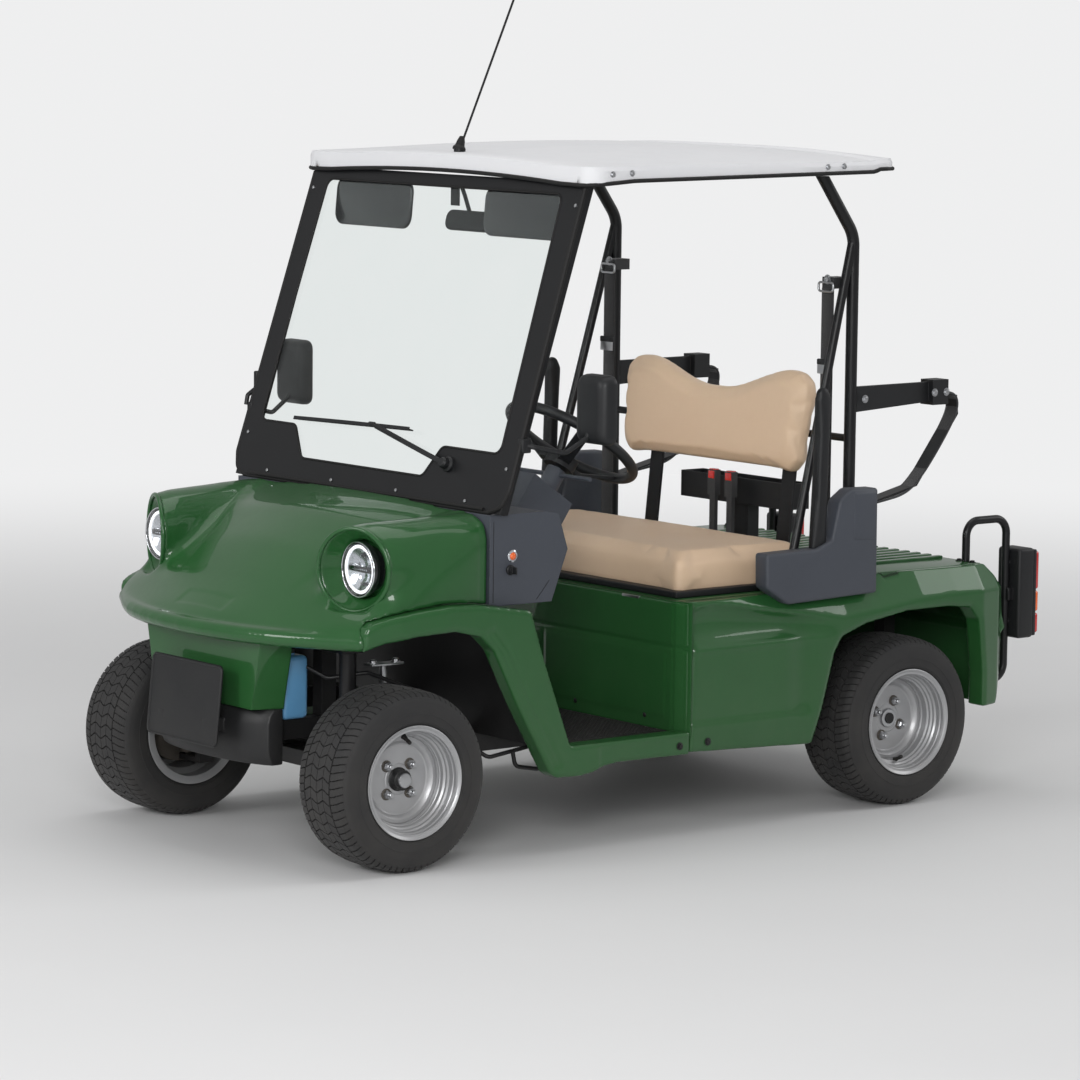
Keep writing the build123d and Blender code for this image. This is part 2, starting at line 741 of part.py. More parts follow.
def apron_layer(shrink):
    """Tapered apron block, drawn in by this much, that reaches back past the shell's open side."""
    with BuildPart() as layer:
        for level, half in (
            (apron_low_z - shrink, apron_half_low - shrink),
            (apron_top_z + shrink, apron_half_top - shrink),
        ):
            with BuildSketch(Plane.XY.offset(level)):
                with BuildLine():
                    Polyline(
                        (-half, apron_y + shrink),
                        (half, apron_y + shrink),
                        (half + apron_flare, apron_y + apron_depth + shrink),
                        (-half - apron_flare, apron_y + apron_depth + shrink),
                        close=True,
                    )
                make_face()
        loft(ruled=True)
    return layer.part


apron_body = apron_layer(0)
apron_hollow = apron_layer(panel_wall)
with BuildPart() as front_apron:
    add(apron_body)
    add(apron_hollow, mode=Mode.SUBTRACT)
front_apron.part.label = "front_apron"
export_step(front_apron.part, "parts/front_apron.step")

bumper_half = 246.0
bumper_low_z = 242.0
bumper_front_y = front_y(-254)
bumper_end_y = front_y(-180)
bumper_wall = 6.0
plate_half = 158.0
plate_height = 208.0
plate_low_z = 284.0
plate_sheet = 6.0
plate_top_y = front_y(-283)
plate_low_y = front_y(-303)
with BuildPart() as front_bumper:
    with BuildSketch(Plane.XY.offset(bumper_low_z)):
        with BuildLine():
            ThreePointArc(
                (-bumper_half, bumper_end_y), (0, bumper_front_y), (bumper_half, bumper_end_y)
            )
            Line((bumper_half, bumper_end_y), (bumper_half - bumper_wall, bumper_end_y))
            ThreePointArc(
                (bumper_half - bumper_wall, bumper_end_y),
                (0, bumper_front_y + bumper_wall),
                (-bumper_half + bumper_wall, bumper_end_y),
            )
            Line((-bumper_half + bumper_wall, bumper_end_y), (-bumper_half, bumper_end_y))
        make_face()
    extrude(amount=apron_low_z - bumper_low_z)
    # Back plate that bolts to the rails' ends.
    with BuildSketch(cross_plane(chassis_nose_y)):
        with Locations((0, high_rail_z + rail_height / 2)):
            Rectangle(2 * rail_centre_x + rail_width, rail_height)
    extrude(amount=bumper_wall)
    for name, side in sides:
        with BuildSketch(Plane.XY.offset(high_rail_z)):
            with Locations((side * rail_centre_x / 2, (chassis_nose_y + bumper_front_y) / 2 + 8)):
                Rectangle(rail_width, chassis_nose_y - bumper_front_y - 16)
        extrude(amount=rail_height)
    # Number plate holder, left blank, on its bracket.
    with BuildSketch(side_plane(0)):
        with BuildLine():
            Polyline(
                (plate_low_y, plate_low_z),
                (plate_low_y + plate_sheet, plate_low_z),
                (plate_top_y + plate_sheet, plate_low_z + plate_height),
                (plate_top_y, plate_low_z + plate_height),
                close=True,
            )
        make_face()
    extrude(amount=plate_half, both=True)
    with BuildSketch(Plane.XY.offset(plate_low_z + 20)):
        with Locations((0, (plate_low_y + bumper_front_y) / 2 + 3)):
            Rectangle(120, bumper_front_y - plate_low_y)
    extrude(amount=60)
front_bumper.part.label = "front_bumper"
export_step(front_bumper.part, "parts/front_bumper.step")

# ---- Dash panel, steering column, steering wheel and pedals ---------------------------
dash_half = body_half - 39.0
dash_low_z = 646.0
windshield_flange = 4.0
dash_top_z = windshield_foot_z - windshield_flange
dash_front_y = hood_back_y + seat_gap
# Side profile. Columns: distance behind the front axle, height.
dash_rear = ((425, 880), (468, 868), (498, 776), (448, dash_low_z))


def dash_layer(shrink, side_grow=0.0):
    """Dash block drawn in by this much, open below; side_grow widens a cutting copy of it."""
    with BuildPart() as layer:
        with BuildSketch(side_plane(0)):
            with BuildLine():
                Polyline(
                    (dash_front_y + shrink, dash_low_z - 2 * shrink),
                    (dash_front_y + shrink, dash_top_z - shrink),
                    (front_y(dash_rear[0][0]) - shrink, dash_top_z - shrink),
                    (front_y(dash_rear[1][0]) - shrink, dash_rear[1][1] - shrink),
                    (front_y(dash_rear[2][0]) - shrink, dash_rear[2][1]),
                    (front_y(dash_rear[3][0]) - shrink, dash_low_z - 2 * shrink),
                    close=True,
                )
            make_face()
        extrude(amount=dash_half - shrink + side_grow, both=True)
    return layer.part


dash_body = dash_layer(0)
dash_hollow = dash_layer(panel_wall)
dash_bite = dash_layer(-seat_gap, 10)
with BuildPart() as dash_panel:
    add(dash_body)
    add(dash_hollow, mode=Mode.SUBTRACT)
    with BuildSketch(side_plane(0)):
        with BuildLine():
            Polyline(
                *[(front_y(y), z + seat_gap) for y, z in fender_seam],
                (front_y(400), dash_low_z - 100),
                (front_y(fender_seam[0][0]), dash_low_z - 100),
                close=True,
            )
        make_face()
    extrude(amount=body_half, both=True, mode=Mode.SUBTRACT)
dash_panel.part.label = "dash_panel"
export_step(dash_panel.part, "parts/dash_panel.step")

lean = math.radians(column_lean)
wheel_hub_plane = Plane(
    origin=(wheel_centre_x, wheel_centre_y, wheel_centre_z),
    x_dir=(1, 0, 0),
    z_dir=(0, math.sin(lean), math.cos(lean)),
)
hub_drop = 62.0
hub_depth = 34.0
column_gap = 6.0
shaft_radius = 10.0
column_radius = 27.0
column_top = -hub_drop - hub_depth / 2 - column_gap
box_top = -150.0
box_length = 190.0
box_width = 118.0
box_behind = 54.0
box_ahead = 98.0
stalk_radius = 6.0
stalk_length = 150.0
with BuildPart() as steering_column:
    with BuildSketch(wheel_hub_plane.offset(box_top - box_length)):
        Circle(column_radius)
    extrude(amount=column_top - box_top + box_length)
    with BuildSketch(wheel_hub_plane.offset(column_top)):
        Circle(shaft_radius)
    extrude(amount=column_gap + hub_depth * 0.6)
    with BuildSketch(wheel_hub_plane.offset(box_top - box_length)) as box_face:
        with Locations((0, (box_behind - box_ahead) / 2)):
            Rectangle(box_width, box_ahead + box_behind)
    extrude(amount=box_length)
    for stalk_y, stalk_side in ((-16, 1), (16, -1)):
        with BuildSketch(Plane(origin=wheel_hub_plane.offset(column_top - 14).origin,
                               x_dir=wheel_hub_plane.z_dir, z_dir=(stalk_side, 0, 0))):
            Circle(stalk_radius)
        extrude(amount=stalk_length)
    add(dash_bite, mode=Mode.SUBTRACT)
    with BuildSketch(Plane.XY.offset(dash_top_z + 60)):
        with Locations((wheel_centre_x, dash_front_y)):
            Rectangle(2 * box_width, 100)
    extrude(amount=-400, mode=Mode.SUBTRACT)
steering_column.part.label = "steering_column"
export_step(steering_column.part, "parts/steering_column.step")

spoke_width = 34.0
spoke_sheet = 10.0
hub_radius = 42.0
with BuildPart() as steering_wheel:
    with BuildSketch(Plane(origin=wheel_hub_plane.origin, x_dir=(1, 0, 0),
                           z_dir=wheel_hub_plane.y_dir)):
        with Locations((steering_wheel_radius, 0)):
            Circle(steering_rim_radius)
    revolve(axis=Axis(wheel_hub_plane.origin, wheel_hub_plane.z_dir))
    with BuildSketch(wheel_hub_plane.offset(-hub_drop - hub_depth / 2)):
        Circle(hub_radius)
    extrude(amount=hub_depth)
    # Three dished spokes from the sunk hub up to the rim.
    for turn in (90, 210, 330):
        along = math.radians(turn)
        reach = wheel_hub_plane.x_dir * math.cos(along) + wheel_hub_plane.y_dir * math.sin(along)
        spoke_plane = Plane(
            origin=wheel_hub_plane.origin, x_dir=reach, z_dir=reach.cross(wheel_hub_plane.z_dir)
        )
        with BuildSketch(spoke_plane.offset(-spoke_width / 2)):
            with BuildLine():
                Polyline(
                    (hub_radius - 12, -hub_drop - spoke_sheet / 2),
                    (hub_radius + 20, -hub_drop - spoke_sheet / 2),
                    (steering_wheel_radius, -spoke_sheet / 2),
                    (steering_wheel_radius, spoke_sheet / 2),
                    (hub_radius + 20, -hub_drop + spoke_sheet / 2),
                    (hub_radius - 12, -hub_drop + spoke_sheet / 2),
                    close=True,
                )
            make_face()
        extrude(amount=spoke_width)
    with BuildSketch(wheel_hub_plane.offset(-hub_drop - hub_depth / 2)):
        Circle(shaft_radius + bore_clearance)
    extrude(amount=hub_depth * 0.8, mode=Mode.SUBTRACT)
steering_wheel.part.label = "steering_wheel"
export_step(steering_wheel.part, "parts/steering_wheel.step")

pedal_spread = 65.0
pedal_width = 76.0
pedal_arm_width = 18.0
mat_top_z = floor_z + mat_thickness
with BuildPart() as pedals:
    for end in (-1, 1):
        with BuildSketch(side_plane(wheel_centre_x + end * pedal_spread)):
            with BuildLine():
                Polyline(
                    (toe_board_y + 12, mat_top_z),
                    (toe_board_y + 34, mat_top_z),
                    (toe_board_y - 4, mat_top_z + 110),
                    (toe_board_y - 22, mat_top_z + 106),
                    close=True,
                )
            make_face()
        extrude(amount=pedal_arm_width / 2, both=True)
        with BuildSketch(side_plane(wheel_centre_x + end * pedal_spread)):
            with BuildLine():
                Polyline(
                    (toe_board_y + 2, mat_top_z + 92),
                    (toe_board_y + 10, mat_top_z + 97),
                    (toe_board_y - 24, mat_top_z + 168),
                    (toe_board_y - 32, mat_top_z + 163),
                    close=True,
                )
            make_face()
        extrude(amount=pedal_width / 2, both=True)
pedals.part.label = "pedals"
export_step(pedals.part, "parts/pedals.step")

# ---- Seat base: front panel with splayed corners --------------------------------------
rear_body_front_y = seat_base_y + seat_base_rake + seat_gap
seat_base_half = body_half - seat_base_corner


def seat_base_layer(shrink):
    """Block behind the seat base's front panel, drawn in by this much, open to the rear."""
    with BuildPart() as layer:
        with BuildSketch(Plane.XY.offset(floor_z - floor_sheet - 2 * shrink)):
            with BuildLine():
                Polyline(
                    (-body_half + shrink, rear_body_front_y - seat_gap + 2 * shrink),
                    (-body_half + shrink, rear_body_front_y - seat_gap - 1 + shrink),
                    (-seat_base_half + shrink / 2, seat_base_y + shrink),
                    (seat_base_half - shrink / 2, seat_base_y + shrink),
                    (body_half - shrink, rear_body_front_y - seat_gap - 1 + shrink),
                    (body_half - shrink, rear_body_front_y - seat_gap + 2 * shrink),
                    close=True,
                )
            make_face()
        extrude(amount=seat_base_top_z - floor_z + floor_sheet + shrink)
    return layer.part


seat_body = seat_base_layer(0)
seat_hollow = seat_base_layer(panel_wall)
with BuildPart() as seat_base:
    add(seat_body)
    add(seat_hollow, mode=Mode.SUBTRACT)
seat_base.part.label = "seat_base"
export_step(seat_base.part, "parts/seat_base.step")

# ---- Rear body: deck, side skins with wheel arches, sloped tail -----------------------
rear_bottom_z = 222.0
step_y = rear_y(-215)
step_run = 20.0
# Top and tail outline. Columns: distance behind the rear axle, height.
tail_outline = ((297, 636), (370, 567), (414, 452), (386, 424), (358, 307))
tail_foot = 325.0
tail_foot_z = 250.0
arch_foot = 259.0
# Wheel arch from its front foot over the tyre to its rear foot.
arch_outline = (
    (-357, 200), (-320, 317), (-285, 443), (-258, 484), (-172, 513), (-28, 535), (120, 537),
    (209, 528), (241, 489), (262, 339), (262, 200),
)
arch_lip = 56.0
tail_corner_half = body_half - 95.0


def rear_layer(shrink, half):
    """Rear body block of this half width, drawn in at its top, tail and front."""
    with BuildPart() as layer:
        with BuildSketch(side_plane(0)):
            with BuildLine():
                Polyline(
                    (rear_body_front_y - shrink, rear_bottom_z - 2 * shrink),
                    (rear_body_front_y - shrink, seat_base_top_z - shrink),
                    (step_y, seat_base_top_z - shrink),
                    (step_y + step_run, deck_z - shrink),
                    (rear_y(262 - shrink), deck_z - shrink),
                    *[(rear_y(y) - shrink, z - shrink / 2) for y, z in tail_outline],
                    (rear_y(tail_foot) - shrink, tail_foot_z - 2 * shrink),
                    (rear_y(arch_foot) + shrink, tail_foot_z - 2 * shrink),
                    (rear_y(arch_foot) + shrink, rear_bottom_z - 2 * shrink),
                    close=True,
                )
            make_face()
        extrude(amount=half, both=True)
        # The skins draw in towards the tail.
        for name, side in sides:
            with BuildSketch(Plane.XY):
                with BuildLine():
                    Polyline(
                        (side * (body_half - shrink), rear_y(235)),
                        (side * (body_half - 24 - shrink), rear_y(330)),
                        (side * (tail_corner_half - shrink), rear_y(410)),
                        (side * (tail_corner_half - shrink), rear_y(600)),
                        (side * (body_half + 50), rear_y(600)),
                        (side * (body_half + 50), rear_y(235)),
                        close=True,
                    )
                make_face()
            extrude(amount=2 * deck_z, mode=Mode.SUBTRACT)
    return layer.part


def arch_layer(side, grow, inner_x, outer_x):
    """Wheel arch block between two distances from the centre plane, swollen by this much."""
    with BuildPart() as layer:
        with BuildSketch(side_plane(side * inner_x)):
            with BuildLine():
                Polyline(*[(rear_y(y), z) for y, z in arch_outline], close=True)
            make_face()
            if grow:
                offset(amount=grow, kind=Kind.INTERSECTION, mode=Mode.REPLACE)
        extrude(amount=side * (outer_x - inner_x))
    return layer.part


rear_block = rear_layer(0, body_half)
rear_hollow = rear_layer(panel_wall, body_half - panel_wall)
arch_rims = [
    arch_layer(side, panel_wall, body_half - arch_lip, body_half - panel_wall / 2)
    for name, side in sides
]
arch_cuts = [
    arch_layer(side, 0, body_half - arch_lip - 10, body_half + 20) for name, side in sides
]
with BuildPart() as arch_flanges:
    add(arch_rims)
    add(rear_block, mode=Mode.INTERSECT)
with BuildPart() as rear_body:
    add(rear_block)
    add(rear_hollow, mode=Mode.SUBTRACT)
    add(arch_flanges.part)
    add(arch_cuts, mode=Mode.SUBTRACT)
rear_body.part.label = "rear_body"
export_step(rear_body.part, "parts/rear_body.step")

# ---- Corner covers beside the seat, and the hip guards that stand on them -------------
rear_grown = rear_layer(-seat_gap, body_half + seat_gap)
cover_inner_x = body_half - 46.0
cover_outer_x = body_half + 7.0
# Side profile of a cover. Columns: distance behind the rear axle, height.
cover_outline = (
    (-538, 723), (-360, 726), (-310, 745), (-285, 850), (-243, 878), (-150, 876), (-148, 595),
    (-460, 585), (-536, 633),
)


def cover_layer(side, grow):
    """Corner cover block of one side, swollen by this much, without the body's bite."""
    with BuildPart() as layer:
        with BuildSketch(side_plane(side * (cover_inner_x - grow))):
            with BuildLine():
                Polyline(*[(rear_y(y), z) for y, z in cover_outline], close=True)
            make_face()
            if grow:
                offset(amount=grow, kind=Kind.INTERSECTION, mode=Mode.REPLACE)
        extrude(amount=side * (cover_outer_x - cover_inner_x + 2 * grow))
    return layer.part


cover_blocks = [cover_layer(side, 0) for name, side in sides]
cover_hollows = [cover_layer(side, -panel_wall) for name, side in sides]
cover_bites = [cover_layer(side, seat_gap) for name, side in sides]
with BuildPart() as corner_covers:
    add(cover_blocks)
    add(cover_hollows, mode=Mode.SUBTRACT)
    add(rear_grown, mode=Mode.SUBTRACT)
corner_covers.part.label = "corner_covers"
export_step(corner_covers.part, "parts/corner_covers.step")

guard_front_y = rear_y(-369)
guard_back_y = rear_y(-313)
guard_top_z = 1155.0
guard_foot_z = 700.0
guard_half_thickness = 18.0
with BuildPart() as side_guards:
    for name, side in sides:
        with BuildSketch(side_plane(side * (body_half - 20))):
            with BuildLine():
                Polyline(
                    (guard_front_y, guard_foot_z),
                    (guard_back_y, guard_foot_z),
                    (guard_back_y + 10, guard_top_z - 30),
                    (guard_back_y - 4, guard_top_z),
                    (guard_front_y + 32, guard_top_z),
                    (guard_front_y + 14, guard_top_z - 30),
                    close=True,
                )
            make_face()
        extrude(amount=guard_half_thickness, both=True)
    add(cover_bites, mode=Mode.SUBTRACT)
side_guards.part.label = "side_guards"
export_step(side_guards.part, "parts/side_guards.step")

# ---- Seat: cushion that lifts on its rear edge, and the backrest ----------------------
cushion_rear_round = 40.0
cushion_edge = 14.0
with BuildPart() as seat_cushion:
    with BuildSketch(side_plane(0)):
        with BuildLine():
            Polyline(
                (cushion_front_y, cushion_z),
                (cushion_back_y, cushion_z),
                (cushion_back_y, cushion_z + cushion_height - cushion_rear_round),
            )
            RadiusArc(
                (cushion_back_y, cushion_z + cushion_height - cushion_rear_round),
                (cushion_back_y - cushion_rear_round, cushion_z + cushion_height),
                -cushion_rear_round,
            )
            Polyline(
                (cushion_back_y - cushion_rear_round, cushion_z + cushion_height),
                (cushion_front_y + cushion_edge, cushion_z + cushion_height),
                (cushion_front_y, cushion_z + cushion_height - cushion_edge),
                (cushion_front_y, cushion_z),
            )
        make_face()
    extrude(amount=cushion_half, both=True)
seat_cushion.part.label = "seat_cushion"
export_step(seat_cushion.part, "parts/seat_cushion.step")

rest_lean = math.radians(backrest_lean)
backrest_plane = Plane(
    origin=(0, backrest_front_y, backrest_low_z),
    x_dir=(1, 0, 0),
    z_dir=(0, -math.cos(rest_lean), math.sin(rest_lean)),
)
backrest_low_half = backrest_half - 50.0
hump_height = (backrest_hump_z - backrest_low_z) / math.cos(rest_lean)
dip_height = (backrest_dip_z - backrest_low_z) / math.cos(rest_lean)
with BuildPart() as backrest:
    with BuildSketch(backrest_plane):
        with BuildLine():
            Polyline(
                (backrest_half, dip_height - 10),
                (backrest_half - 20, 40),
                (backrest_low_half, 0),
                (-backrest_low_half, 0),
                (-backrest_half + 20, 40),
                (-backrest_half, dip_height - 10),
            )
            for name, side in sides:
                ThreePointArc(
                    (side * backrest_half, dip_height - 10),
                    (side * (backrest_half - 34), hump_height - 14),
                    (side * (backrest_half - 112), hump_height),
                )
                Line((side * (backrest_half - 112), hump_height), (side * 150, dip_height + 25))
                Line((side * 150, dip_height + 25), (side * 60, dip_height))
            Line((-60, dip_height), (60, dip_height))
        make_face()
    extrude(amount=-backrest_thickness)
backrest.part.label = "backrest"
export_step(backrest.part, "parts/backrest.step")

# ---- Rear posts with struts, and the bars that carry the backrest ---------------------
deck_rest_z = deck_z + seat_gap
post_top_z = 1700.0
post_bend_radius = 90.0
post_foot = 52.0
foot_plate = 6.0
strut_foot_x = post_x + 33.0
strut_foot_y = rear_y(-411)
strut_radius = 12.0
strut_foot_plate = 26.0
bar_x = 280.0
bar_width = 50.0
bar_sheet = 8.0
bar_top = 216.0
bar_low = -290.0
tie_radius = 10.0
tie_z = 1000.0
with BuildPart() as rear_posts:
    for name, side in sides:
        with BuildLine() as post_line:
            FilletPolyline(
                (side * post_x, post_y, deck_rest_z),
                (side * post_x, post_y, post_bend_z),
                (side * post_x, 2 * post_top_y - post_y, 2 * post_top_z - post_bend_z),
                radius=post_bend_radius,
            )
        with BuildSketch(Plane(origin=post_line.line @ 0, z_dir=(0, 0, 1))):
            Circle(post_radius)
        sweep(path=post_line.line)
        with BuildSketch(Plane.XY.offset(deck_rest_z)):
            with Locations((side * (post_x - post_radius + 2 + post_foot / 2), post_y)):
                Rectangle(post_foot, post_foot)
        extrude(amount=foot_plate)
        strut_foot = Vector(side * strut_foot_x, strut_foot_y, seat_base_top_z)
        strut_run = Vector(side * post_x, post_y, post_bend_z) - strut_foot
        with BuildSketch(Plane(origin=strut_foot, z_dir=strut_run)):
            Circle(strut_radius)
        extrude(amount=strut_run.length)
        with BuildSketch(Plane.XY.offset(seat_base_top_z)):
            with Locations((side * (strut_foot_x - 2), strut_foot_y)):
                Rectangle(strut_foot_plate, 2 * strut_foot_plate)
        extrude(amount=foot_plate)
        with BuildSketch(backrest_plane.offset(-backrest_thickness - seat_gap)):
            with Locations((side * bar_x, (bar_top + bar_low) / 2)):
                Rectangle(bar_width, bar_top - bar_low)
        extrude(amount=-bar_sheet)
    with BuildSketch(side_plane(0)):
        with Locations((post_y, tie_z)):
            Circle(tie_radius)
    extrude(amount=post_x, both=True)
    with BuildSketch(Plane.XY.offset(post_top_z)):
        with Locations((0, post_top_y)):
            Rectangle(3 * post_x, 300)
    extrude(amount=300, mode=Mode.SUBTRACT)
    add(rear_grown, mode=Mode.SUBTRACT)
rear_posts.part.label = "rear_posts"
export_step(rear_posts.part, "parts/rear_posts.step")

# ---- Seat belts: reel, webbing and top guide on each side, two buckles in the middle --
webbing_width = 46.0
webbing_sheet = 2.0
webbing_y = rear_y(-218)
webbing_top_z = 1400.0
belt_outer_x = post_x - post_radius - seat_gap
guide_height = 30.0
reel_top_z = 700.0
reel_depth = 40.0
buckle_y = rear_y(-182)
buckle_top_z = backrest_low_z - 14
buckle_x = 36.0
buckle_drop = 70.0
with BuildPart() as seat_belts:
    for name, side in sides:
        belt_x = side * (belt_outer_x - webbing_width / 2)
        with BuildSketch(Plane.XY.offset(reel_top_z)):
            with Locations((belt_x, webbing_y + webbing_sheet / 2)):
                Rectangle(webbing_width, webbing_sheet)
        extrude(amount=webbing_top_z - reel_top_z)
        with BuildSketch(Plane.XY.offset(seat_base_top_z)):
            with Locations((belt_x, webbing_y + reel_depth / 2)):
                Rectangle(webbing_width, reel_depth)
        extrude(amount=reel_top_z - seat_base_top_z)
        with BuildSketch(Plane.XY.offset(webbing_top_z)):
            with Locations((belt_x, (webbing_y + post_y) / 2)):
                Rectangle(webbing_width, post_y - webbing_y)
        extrude(amount=guide_height)
    for end in (-1, 1):
        with BuildSketch(Plane.XY.offset(seat_base_top_z)):
            with Locations((end * buckle_x, buckle_y)):
                Rectangle(22, 12)
        extrude(amount=buckle_top_z - buckle_drop - seat_base_top_z)
        with BuildSketch(Plane.XY.offset(buckle_top_z - buckle_drop)):
            with Locations((end * buckle_x, buckle_y)):
                Rectangle(32, 20)
        extrude(amount=buckle_drop)
    add(rear_grown, mode=Mode.SUBTRACT)
seat_belts.part.label = "seat_belts"
export_step(seat_belts.part, "parts/seat_belts.step")

# ---- Windshield: framed sheet on two posts, pane, wiper, visors and mirrors -----------
tilt = math.radians(windshield_lean)
windshield_plane = Plane(
    origin=(0, windshield_foot_y, windshield_foot_z),
    x_dir=(1, 0, 0),
    z_dir=(0, -math.cos(tilt), math.sin(tilt)),
)
windshield_corner = 60.0
shield_post_outer = body_half - 12.0
shield_post_width = 30.0
shield_post_depth = 25.0
header_top = windshield_length + 40.0
window_half = shield_post_outer - 55.0
# Corners of the window, across and up the sheet.
window_outline = (
    (-window_half, 153), (-365, 153), (-300, 66), (235, 66), (288, 150), (window_half, 150),
    (window_half - 23, 828), (-window_half + 16, 828),
)
foot_flange_half = post_x
foot_flange_depth = 40.0
with BuildPart() as windshield_frame:
    with BuildSketch(windshield_plane):
        with BuildLine():
            Polyline(
                (-windshield_half_low + windshield_corner, 0),
                (windshield_half_low - windshield_corner, 0),
                (windshield_half_low - windshield_corner * 0.3, windshield_corner * 0.3),
                (windshield_half_low, windshield_corner),
                (windshield_half_top, header_top),
                (-windshield_half_top, header_top),
                (-windshield_half_low, windshield_corner),
                (-windshield_half_low + windshield_corner * 0.3, windshield_corner * 0.3),
                close=True,
            )
        make_face()
        with BuildSketch(mode=Mode.SUBTRACT) as window:
            with BuildLine():
                Polyline(*window_outline, close=True)
            make_face()
            fillet(window.vertices(), 26)
    extrude(amount=windshield_sheet)
    for name, side in sides:
        with BuildSketch(windshield_plane):
            with Locations((side * (shield_post_outer - shield_post_width / 2), header_top / 2)):
                Rectangle(shield_post_width, header_top)
        extrude(amount=-shield_post_depth)
    with BuildSketch(Plane.XY.offset(dash_top_z + seat_gap)):
        with Locations((0, windshield_foot_y - 2 + foot_flange_depth / 2)):
            Rectangle(2 * foot_flange_half, foot_flange_depth)
    extrude(amount=windshield_flange)
    with BuildSketch(Plane.XY.offset(post_top_z)):
        with Locations((0, windshield_foot_y + 300)):
            Rectangle(3 * post_x, 600)
    extrude(amount=300, mode=Mode.SUBTRACT)
    with BuildSketch(Plane.XY.offset(dash_top_z + seat_gap)):
        with Locations((0, windshield_foot_y)):
            Rectangle(3 * post_x, 300)
    extrude(amount=-100, mode=Mode.SUBTRACT)
windshield_frame.part.label = "windshield_frame"
export_step(windshield_frame.part, "parts/windshield_frame.step")

glass_half = window_half + 14.0
glass_low = 50.0
glass_top = 835.0
with BuildPart() as windshield_glass:
    with BuildSketch(windshield_plane.offset(-seat_gap)):
        with Locations((0, (glass_low + glass_top) / 2)):
            Rectangle(2 * glass_half, glass_top - glass_low)
    extrude(amount=-glass_thickness)
windshield_glass.part.label = "windshield_glass"
export_step(windshield_glass.part, "parts/windshield_glass.step")

sheet_front = windshield_sheet + seat_gap
wiper_pivot = (333.0, 106.0)
wiper_elbow = (10.0, 176.0)
blade_ends = ((-355.0, 168.0), (151.0, 180.0))
blade_rubber_ends = ((-330.0, 169.0), (140.0, 180.0))
# Visors on the header. Columns: inner end, outer end across the sheet.
visors = ((42 - window_half, -148), (170, window_half - 21))
visor_low = 712.0
visor_depth = 46.0
visor_sheet = 4.0
stub_low = 838.0
stub_high = 850.0
mirror_x = 78.0
mirror_height = 753.0
with BuildPart() as windshield_fittings:
    with BuildSketch(windshield_plane.offset(sheet_front)):
        with Locations(wiper_pivot):
            Circle(17)
    extrude(amount=22)
    with BuildSketch(windshield_plane.offset(sheet_front + 8)):
        with BuildLine():
            Line(wiper_pivot, wiper_elbow)
        trace(line_width=12)
    extrude(amount=8)
    with BuildSketch(windshield_plane.offset(sheet_front + 2)):
        with BuildLine():
            Line(*blade_ends)
        trace(line_width=13)
    extrude(amount=10)
    with BuildSketch(windshield_plane):
        with BuildLine():
            Line(*blade_rubber_ends)
        trace(line_width=5)
    extrude(amount=sheet_front + 4)
    # Visors hang from stubs on the header.
    for start, stop in visors:
        with BuildSketch(windshield_plane.offset(-visor_depth)):
            with Locations(((start + stop) / 2, (visor_low + stub_high) / 2)):
                Rectangle(stop - start, stub_high - visor_low)
        extrude(amount=-visor_sheet)
        with BuildSketch(windshield_plane.offset(-seat_gap)):
            for stub_x in (start + 20, stop - 20):
                with Locations((stub_x, (stub_low + stub_high) / 2)):
                    Rectangle(24, stub_high - stub_low)
        extrude(amount=-visor_depth)
    # Inside mirror on its bracket.
    with BuildSketch(windshield_plane.offset(-visor_depth - 12)):
        with Locations((mirror_x, mirror_height)):
            Rectangle(187, 54)
    extrude(amount=-20)
    with BuildSketch(windshield_plane.offset(-visor_depth)):
        with Locations((mirror_x - 48, (mirror_height + stub_high) / 2)):
            Rectangle(22, stub_high - mirror_height)
    extrude(amount=-16)
    with BuildSketch(windshield_plane.offset(-seat_gap)):
        with Locations((mirror_x - 48, (stub_low + stub_high) / 2)):
            Rectangle(90, stub_high - stub_low)
    extrude(amount=-visor_depth - 8)
windshield_fittings.part.label = "windshield_fittings"
export_step(windshield_fittings.part, "parts/windshield_fittings.step")

door_mirror_x = body_half + 62.0
door_mirror_y = front_y(501)
door_mirror_z = 1137.0
door_mirror_width = 122.0
door_mirror_height = 176.0
door_mirror_depth = 46.0
mirror_arm_radius = 6.0
clamp_low = 166.0
clamp_height = 32.0
with BuildPart() as door_mirrors:
    for name, side in sides:
        with BuildSketch(cross_plane(door_mirror_y + door_mirror_depth / 2)):
            with Locations((side * door_mirror_x, door_mirror_z)):
                RectangleRounded(door_mirror_width, door_mirror_height, 26)
        extrude(amount=door_mirror_depth)
        with BuildSketch(windshield_plane.offset(-seat_gap)):
            with Locations((side * (shield_post_outer + seat_gap + 14), clamp_low + clamp_height / 2)):
                Rectangle(28, clamp_height)
        extrude(amount=-shield_post_depth)
        with BuildLine() as arm_line:
            FilletPolyline(
                (side * (body_half + 5), front_y(322), 1052),
                (side * (body_half + 45), front_y(420), 1030),
                (side * (body_half + 57), front_y(478), 1070),
                (side * (body_half + 59), door_mirror_y, 1110),
                radius=24,
            )
        with BuildSketch(Plane(origin=arm_line.line @ 0, z_dir=arm_line.line % 0)):
            Circle(mirror_arm_radius)
        sweep(path=arm_line.line)
door_mirrors.part.label = "door_mirrors"
export_step(door_mirrors.part, "parts/door_mirrors.step")

